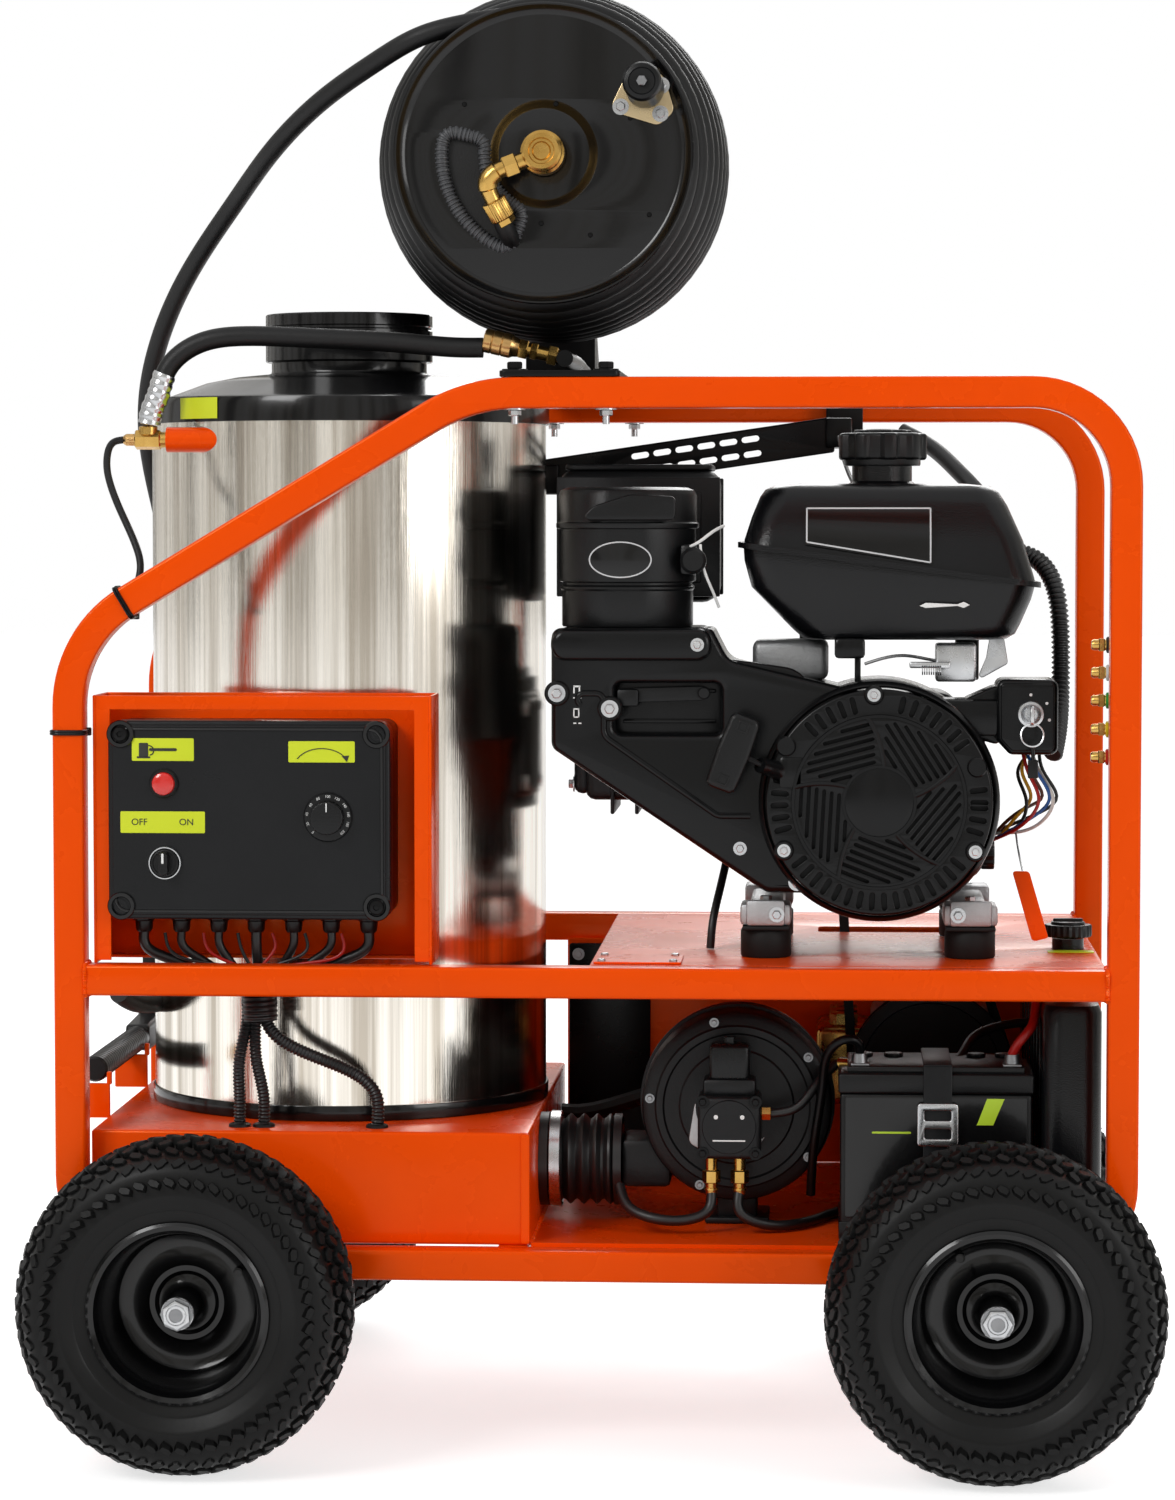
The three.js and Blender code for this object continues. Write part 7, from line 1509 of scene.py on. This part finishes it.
linkage = [pipe([(262, -170, 770), (300, -160, 778), (340, -150, 772), (372, -140, 776)], 30, 1.6, 8),
           block((306, 346), (-176, -160), (766, 772), 1.5), block((332, 372), (-160, -120), (752, 790), 3),
           wall(rounded([(372, 752), (404, 770), (398, 806), (386, 800), (382, 776)], [3, 4, 3, 3, 6], 4),
                (-150, -147), 0.8)]
linkage += [moved(sleeve(3.4, 4.6, k * 2.2, k * 2.2 + 1.2, 16), (318, -178, 764), "x") for k in range(9)]
piece("throttle_linkage", linkage, ZINC)
carburettor = joined(block((150, 226), (-120, -40), (752, 792), 8, 3),
                     moved(revolve([(0, 738), (22, 738), (24, 742), (24, 756), (0, 756)], 32),
                             (188, -84, 0)))
piece("carburettor", carburettor, CAST_GREY)
print("engine dressed")

# %% [markdown]
# ## Pump drive
# A V-belt drives the high-pressure pump under the deck through the slot in it.

# %% Pump, pulleys and belt
def grooved(radius, width, bore):
    """A V-belt pulley's closed section: a groove in a rim, a web and a hub."""
    web, ring, foot = bore + 8, radius - 14, radius - 9
    return [(bore, 0), (web, 0), (web, width * 0.3), (ring, width * 0.3), (radius - 12, 0), (radius, 0.6),
            (radius, 3), (foot, 8), (foot, width - 8), (radius, width - 3), (radius, width - 0.6),
            (radius - 12, width), (ring, width * 0.7), (web, width * 0.7), (web, width), (bore, width)]

CRANK, PUMP_DRIVE = (FAN_X, 0, FAN_Z), (335, 0, 330)
pulley = moved(ring_of([(r, 92 + z) for r, z in grooved(45, 28, 12)], 72), CRANK, "y")
shaft = moved(revolve([(0, -190), (12, -190), (12.4, -188), (12.4, 124), (11.4, 125), (0, 125)], 32), CRANK,
              "y")
flywheel = joined(moved(ring_of([(24, -198), (70, -198), (94, -196), (94, -168), (24, -168)], 72), CRANK,
                        "y"),
                  [moved(block((66, 92), (-1.5, 1.5), (197, 206), 1), CRANK, "-y", spin=k * TURN / 20)
                   for k in range(20)])
piece("crankshaft_and_drive_pulley", [pulley, shaft], MACHINED, "crank", "crankshaft")
piece("flywheel_fan", flywheel, CAST_GREY, "crank")
piece("pump_drive_pulley", moved(ring_of([(r, 92 + z) for r, z in grooved(86, 28, 12)], 96), PUMP_DRIVE,
        "y"), CAST_BLACK, "pump_drive", "pump_pulley")

def belt_line(r0, c0, r1, c1, steps=40):
    """The outer tangent loop round two circles: both arcs meet the straight runs at angle
    a + acos((r0 - r1) / d) on either side of the line of centres."""
    d = np.array(c1, float) - c0
    a, h = math.atan2(d[1], d[0]), math.acos((r0 - r1) / np.hypot(*d))
    t0 = np.linspace(a + h, a - h + TURN, steps)
    t1 = np.linspace(a - h, a + h, steps)
    return np.concatenate([np.array(c0) + r0 * around(t0), np.array(c1) + r1 * around(t1)])

belt_outer, belt_inner = [belt_line(46.6 - depth, (FAN_X, FAN_Z), 87.6 - depth, (335, 330))
                          for depth in (0, 10)]
loops = [upright(o, y) for o, y in ((belt_outer, 98), (belt_outer, 114), (belt_inner, 110),
        (belt_inner, 102))]
piece("v_belt", (np.concatenate(loops), [grid(4, len(belt_outer), True, True)]), RUBBER,
      replaces="drive_belt")

pump_case = joined(block((272, 402), (134, 214), (263, 397), 12, 3),
                   [block((x, x + 4), (130, 216), (270, 390), 1.5) for x in range(284, 396, 16)])
pump_head = joined(block((214, 274), (140, 260), (288, 372), 8, 3),
                   [moved(hex_bar(15, 0, 13, 1.4), (243, y, 372), "z") for y in (160, 200, 240)],
                   [moved(hex_bar(15, 0, 11, 1.4), (214, y, 312), "-x") for y in (160, 200, 240)])
pump_shaft = moved(rod(11.6, 88, 140, 28), PUMP_DRIVE, "y")
pump_feet = [block((280, 394), (y, y + 16), (207.6, 266), 3) for y in (140, 192)]
piece("pump_crankcase", [pump_case, pump_feet, pump_shaft], CAST_GREY, replaces="pump")
piece("pump_valve_head", pump_head, BRASS)
pump_bolts = [bolt((x, 214.4, z), "y", 10) for x in (286, 388)
              for z in (276, 384)] + [bolt((x, 150, 223), "-y", 9) for x in (288, 386)]
piece("pump_bolts", pump_bolts, ZINC)

# %% [markdown]
# ## Burner
# The blower's round scroll faces the front with the fuel pump on it, and a ribbed duct leads to the base.

# %% Blower, fuel pump and duct
BLOWER, FUEL_PUMP, DUCT = (136, 0, 328), (130, 0, 316), (0, -115, 267)
scroll = moved(joined(ring_of([(20, 66), (88, 66), (93, 69), (95, 74), (95, 157), (93, 162), (88, 165),
        (20, 165)], 96),
                      ring_of([(93, 110), (98, 111), (98, 121), (93, 122)], 96)), BLOWER, "-y")
face_steps = moved(revolve([(0, 168), (40, 168), (44, 167), (56, 167), (58, 165.4), (72, 165.4), (74, 167),
        (80, 167), (82, 165)][::-1], 72), BLOWER, "-y")
motor = moved(joined(revolve([(0, -58), (44, -58), (51, -54), (52, -50), (52, 66), (0, 66)][::-1], 64),
                     [moved(block((50, 54.5), (-1.6, 1.6), (-46, 40), 1), spin=k * TURN / 24)
                      for k in range(24)]), BLOWER, "-y")
blower_foot = joined(block((104, 168), (-150, -70), (207.6, 214), 2),
                     block((116, 156), (-140, -80), (212, 240), 4))
outlet = block((20, 70), (-152, -78), (244, 292), 6)
piece("blower_scroll", [scroll, face_steps, motor, blower_foot, outlet], CAST_BLACK, replaces="burner_blower")
blower_screws = [bolt((BLOWER[0] + 87 * math.cos(a), -165.2, BLOWER[2] + 87 * math.sin(a)), "-y", 5)
                 for a in np.radians([35, 105, 175, 245, 325])]
piece("blower_screws", blower_screws, MACHINED)
fuel_pump = joined(
    block((99, 161), (-226, -168), (284, 346), 5, 3),
    moved(revolve([(0, 165), (26, 165), (28, 168), (28, 224), (26, 227), (0, 227)][::-1], 48), FUEL_PUMP,
          "-y"),
    moved(revolve([(0, 226), (20, 226.6), (20, 224), (0, 224)][::-1], 40), FUEL_PUMP, "-y"),
    block((104, 156), (-216, -176), (345, 362), 4))
coil_can = joined(block((110, 150), (-214, -182), (360, 396), 5, 3), moved(rod(6, 396, 402), (130, -198, 0)))
piece("fuel_pump_body", fuel_pump, CAST_BLACK, replaces="burner_fuel_pump")
piece("fuel_pump_coil", coil_can, MOULDED)
flange = wall(rounded([(88, 292), (108, 280), (152, 280), (166, 300), (160, 352), (108, 356), (94, 330)], 8,
                      5), (-167.8, -165.4), 0.8)
piece("fuel_pump_flange", flange, CAST_GREY)
piece("fuel_pump_print", [wall(circle(1, 20) * (2.2, 2.2) + (x, 326), (-227.4, -226.8), 0.1)
                          for x in (117, 143)] + [block((114, 146), (-227.4, -226.8), (302, 303.4), 0.1)],
                          WHITE_INK)
fittings = [joined(moved(hex_bar(9, 257, 270, 1), (x, -200, 0)),
                   moved(revolve([(0, 246), (5.5, 246), (6, 248), (6, 285), (0, 285)], 20), (x, -200, 0)),
                   moved(ring_of([(5, 249), (7, 250), (7, 252), (5, 253)], 20), (x, -200, 0)))
                   for x in (112, 140)]
fittings += [moved(hex_bar(7, 0, 10, 0.8), (161, -196, 326), "x"),
             tube([(236, -170, 373), (280, -172, 369), (330, -172, 366)], 5.5, 16)]
piece("brass_fittings", fittings, BRASS)
pump_screws = [bolt((x, -226.4, z), "-y", 6.5) for x in (104, 156) for z in (290, 341)]
piece("fuel_pump_screws", pump_screws, REEL_BLACK)
lines = [pipe([(112, -200, 250), (110, -206, 232), (88, -214, 222), (52, -214, 224), (30, -200, 232),
               (20, -180, 250)], 50, 5.2, 14),
         pipe([(140, -200, 250), (140, -206, 230), (160, -206, 218), (190, -190, 214), (228, -120, 213),
               (240, -90, 212)], 50, 5.2, 14),
         pipe([(170, -196, 326), (196, -196, 332), (214, -188, 352), (236, -170, 373)], 34, 4.6, 12),
         pipe([(330, -172, 366), (352, -150, 372), (376, -90, 392), (430, -60, 402), (437, -58, 402)], 40,
              4.6, 12)]
piece("fuel_lines", lines, CONDUIT)
duct_line = [(x, *DUCT[1:]) for x in (-62.7, -40, -15, 20)]
duct = ribbed(duct_line, 43, 5.5, 13.4, 40)
duct_collar = moved(joined(sleeve(36, 47, -62.7, -54), sleeve(36, 46, 12, 20)), DUCT, "x")
piece("flexible_duct", [duct, duct_collar], CONDUIT, replaces="burner_duct")
clamp = moved(joined(ring_of([(47, -53), (48.4, -52), (48.4, -42), (47, -41)], 64),
                     block((40, 54), (-7, 7), (-52, -42), 2)), DUCT, "x")
piece("duct_clamp", clamp, ZINC)
print("burner made")

# %% [markdown]
# ## Battery and diesel tank
# A small starting battery stands under a strap in the lower bay. The diesel tank stands at the right end.

# %% Battery
battery_body = joined(
    block((239, 426), (-238, -114), (207.8, 352), 3, 3), block((237, 428), (-240, -112), (352, 372), 3, 3),
    block((246, 419), (-232, -120), (371, 378), 2),
    block((237.6, 427.4), (-239.4, -112.6), (207.8, 226), 2))
battery_caps = [moved(plate(fluted(9, 12, 0.05, 60), 377.6, 381.6, 0.8), (x, -150, 0))
                for x in (262, 292, 374, 402)]
posts = [joined(block((x - 9, x + 9), (-226, -206), (377, 380), 1),
                moved(revolve([(0, 380), (8, 380), (7, 389), (0, 389)], 24), (x, -216, 0)))
                for x in (258, 407)]
piece("battery_case", [battery_body, battery_caps], MOULDED, replaces="battery")
piece("battery_posts", posts, MACHINED)
piece("battery_label", wall(rectangle((244, 421), (230, 350), 3), (-239.2, -237.8), 0.3), GLOSS_BLACK)
mark = wall([(372, 322), (388, 322), (399, 348), (382, 348)], (-239.9, -239), 0.2)
piece("battery_green_mark", [mark, wall(rectangle((270, 308), (313, 315), 0.5), (-239.9, -239), 0.2)],
      GREEN_PRINT)
strap_shape = joined(block((320, 348), (-243, -240.3), (208, 381), 1),
                     block((320, 348), (-243, -109), (378.6, 381.4), 1),
                     block((320, 348), (-111.7, -109), (208, 381), 1))
piece("battery_hold_strap", strap_shape, CONTROL_GREY, replaces="battery_strap")
buckle = wall(rectangle((314, 354), (302, 344), 4), (-247.5, -243), 1.2,
              [rectangle((321, 347), (309, 319), 2)[::-1], rectangle((321, 347), (327, 337), 2)[::-1]])
piece("strap_buckle", buckle, ZINC)
black_lead = pipe([(258, -216, 389), (256, -222, 400), (248, -226, 404), (232, -220, 396), (222, -200, 360),
                   (214, -180, 300), (210, -160, 240)], 60, 4.6, 12)
piece("black_battery_lead", black_lead, REEL_BLACK)
piece("red_battery_lead", pipe([(407, -216, 389), (414, -222, 402), (424, -220, 414), (430, -200, 430),
        (432, -180, 452), (428, -172, 474)], 50, 4.6, 12), RED_WIRE)

# %% Diesel tank
DIESEL_NECK = (468, -86, 0)
diesel_levels = [(449, 479, -244, 244, 12, 208, 208), (437, 491, -256, 256, 18, 210, 210),
                 (435, 493, -258, 258, 20, 216, 216), (435, 493, -258, 258, 20, 434, 434),
                 (438, 490, -255, 255, 18, 441, 441), (450, 478, -243, 243, 12, 443, 443)]
diesel_neck = moved(ring_of([(12, 436), (16, 437), (16, 491), (12, 491)], 40), DIESEL_NECK)
ribs = [block((433.8, 437), (y, y + 7), (236, 424), 1.4) for y in range(-200, 220, 60)]
piece("diesel_tank_body", [loft(diesel_levels), diesel_neck, ribs], TANK, replaces="diesel_tank", sharp=40)
diesel_lid = moved(joined(plate(fluted(23.4, 24, 0.025, 144), 492.5, 505, 1.8),
                          plate(circle(17, 48), 504, 508, 1.2),
                          plate(rectangle((-15, 15), (-3.4, 3.4), 2), 504, 511, 1.4)), DIESEL_NECK)
piece("diesel_cap_knurled", diesel_lid, MOULDED, "fuel_oil_cap", "diesel_cap")
piece("diesel_label", plate(rectangle((446, 492), (-128, -108), 1), 480.2, 480.9, 0.2), STICKER)
print("tanks made")

# %% [markdown]
# ## Small parts
# Wells and screws of the lid, the row of nozzles, cable ties, a sticker, the low hose and a deck plate.

# %% Corner wells, selector ring and grip bolt
wells, well_screws = [], []
for x in (-458, -209):
    for z in (538, 705):
        wells.append(moved(ring_of([(8.5, 298), (13.5, 298), (13.5, 301.4), (12.6, 302.6), (9.4, 302.6),
                (8.5, 301.4)], 40), (x, 0, z), "-y"))
        if (x < -300) == (z > 600):
            well_screws.append(cap_screw((x, -300.4, z), "-y", 15))
piece("lid_corner_wells", wells, GLOSS_BLACK)
piece("lid_corner_screws", well_screws, REEL_BLACK)
lid_line = rectangle((-463, -204), (533, 710), 12)
lid_step = tube(upright(lid_line, -300.0), 1.6, 8)
piece("lid_step_line", lid_step, GLOSS_BLACK)
selector_ring = moved(ring_of([(14.2, 300), (16.2, 300), (16.2, 303), (15.6, 304), (14.6, 304),
        (14.2, 303)], 48), (-415, 0, 580), "-y")
piece("selector_ring", selector_ring, ZINC)
piece("grip_end_bolt", moved(hexagon(9, 0, 5), (45, -260.5, 1334), "-y"), MACHINED, "winding_grip")

# %% Nozzle rack, ties and small lines
NOZZLE_COLOURS = ("#c81e14", "#e8c51a", "#2f9a3c", "#e6e6e4", "#1c1d1e")
for k, (code, z) in enumerate(zip(NOZZLE_COLOURS, NOZZLE_Z)):
    body = moved(ring_of([(3, 0), (7.6, 0), (8, 1), (8, 5), (6, 6), (3, 6)], 24), (500.8, -232, z), "-x")
    piece("nozzle_cap_" + str(k), body, finish("nozzle_colour_" + str(k), code, (0.35, 0.5)))
    metal = moved(joined(revolve([(0, -9), (5.2, -9), (5.2, 18), (4, 20), (0, 20)], 20),
                         hex_bar(7, 7, 13, 0.8)), (500.8, -232, z), "-x")
    piece("nozzle_metal_" + str(k), metal, BRASS)
tie_loops = []
for x, z, lean in ((-455, 832, 1.03), (-510, 706, 0.0)):
    t = np.arange(33) * TURN / 32
    half = 16.6
    squared = np.stack([np.clip(half * 1.25 * np.cos(t), -half, half),
                        np.clip(half * 1.25 * np.sin(t), -half, half)], -1)
    d = np.array([math.sin(lean), 0, math.cos(lean)])
    side = np.array([math.cos(lean), 0, -math.sin(lean)])
    line = np.array([x, -285, z]) + squared[:, :1] * side + squared[:, 1:] * np.array([0, 1.0, 0])
    tie_loops += [tube(line + d * w, 1.5, 8) for w in (-1.2, 1.2)]
    tie_loops.append(moved(block((-4, 4), (-4, 4), (0, 6), 1), line[4], "-y"))
piece("frame_cable_ties", tie_loops, REEL_BLACK)
sticker_turn = np.repeat(np.linspace(-0.84, -0.57, 10), 2)
sticker_height = 1013 + 21 * np.tile([0, 1], 10)
label_points = np.column_stack([-269 + 207.2 * np.sin(sticker_turn), -207.2 * np.cos(sticker_turn),
        sticker_height])
piece("outlet_sticker", (label_points, [grid(10, 2)]), STICKER)
low_hose = pipe([(-520, 236, 470), (-500, 200, 440), (-470, 150, 425), (-440, 60, 420), (-455, -60, 418),
                 (-478, -120, 424), (-487, -150, 436)], 70, 10, 18)
piece("low_water_hose", low_hose, HOSE)
panel = plate(rectangle((-2, 84), (-262, -190), 4), 480.2, 482.2, 0.5)
seam_bead = weld_bead(np.column_stack([np.full(60, -62.4), np.linspace(-266, 266, 60), np.full(60, 206.6)]),
                      2.4, seed=9)
piece("floor_pan_weld", seam_bead, ORANGE)
piece("deck_inspection_plate", panel, ORANGE)
piece("deck_plate_screws", [cap_screw((x, y, 482.2), "z", 8) for x in (6, 76) for y in (-255, -198)], ZINC)

# %% [markdown]
# ## Solids that stay
# Some solids already have their final shape. They keep their meshes and get these finishes.

# %% Finishes on the kept solids
KEPT = {"floor_pan": ORANGE, "left_axle": MACHINED, "right_axle": MACHINED, "pressure_hose": HOSE}
taken = {n for o in pieces for n in o.get("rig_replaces", [])}
kept = [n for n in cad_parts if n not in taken]
for name in kept:
    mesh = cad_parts[name].data
    mesh.materials.clear()
    mesh.materials.append(KEPT[name])
    mesh.shade_smooth()
    mesh.set_sharp_from_angle(angle=math.radians(30))
print("kept solids:", kept)

# %% [markdown]
# ## Floor
# A plain pale floor takes the machine's shadow.

# %% Floor
ground = bpy.data.meshes.new("floor")
ground.from_pydata([(-30, -30, 0), (30, -30, 0), (30, 30, 0), (-30, 30, 0)], [], [(0, 1, 2, 3)])
ground.materials.append(FLOOR)
floor_object = bpy.data.objects.new("floor", ground)
bpy.context.scene.collection.objects.link(floor_object)
print("floor made")
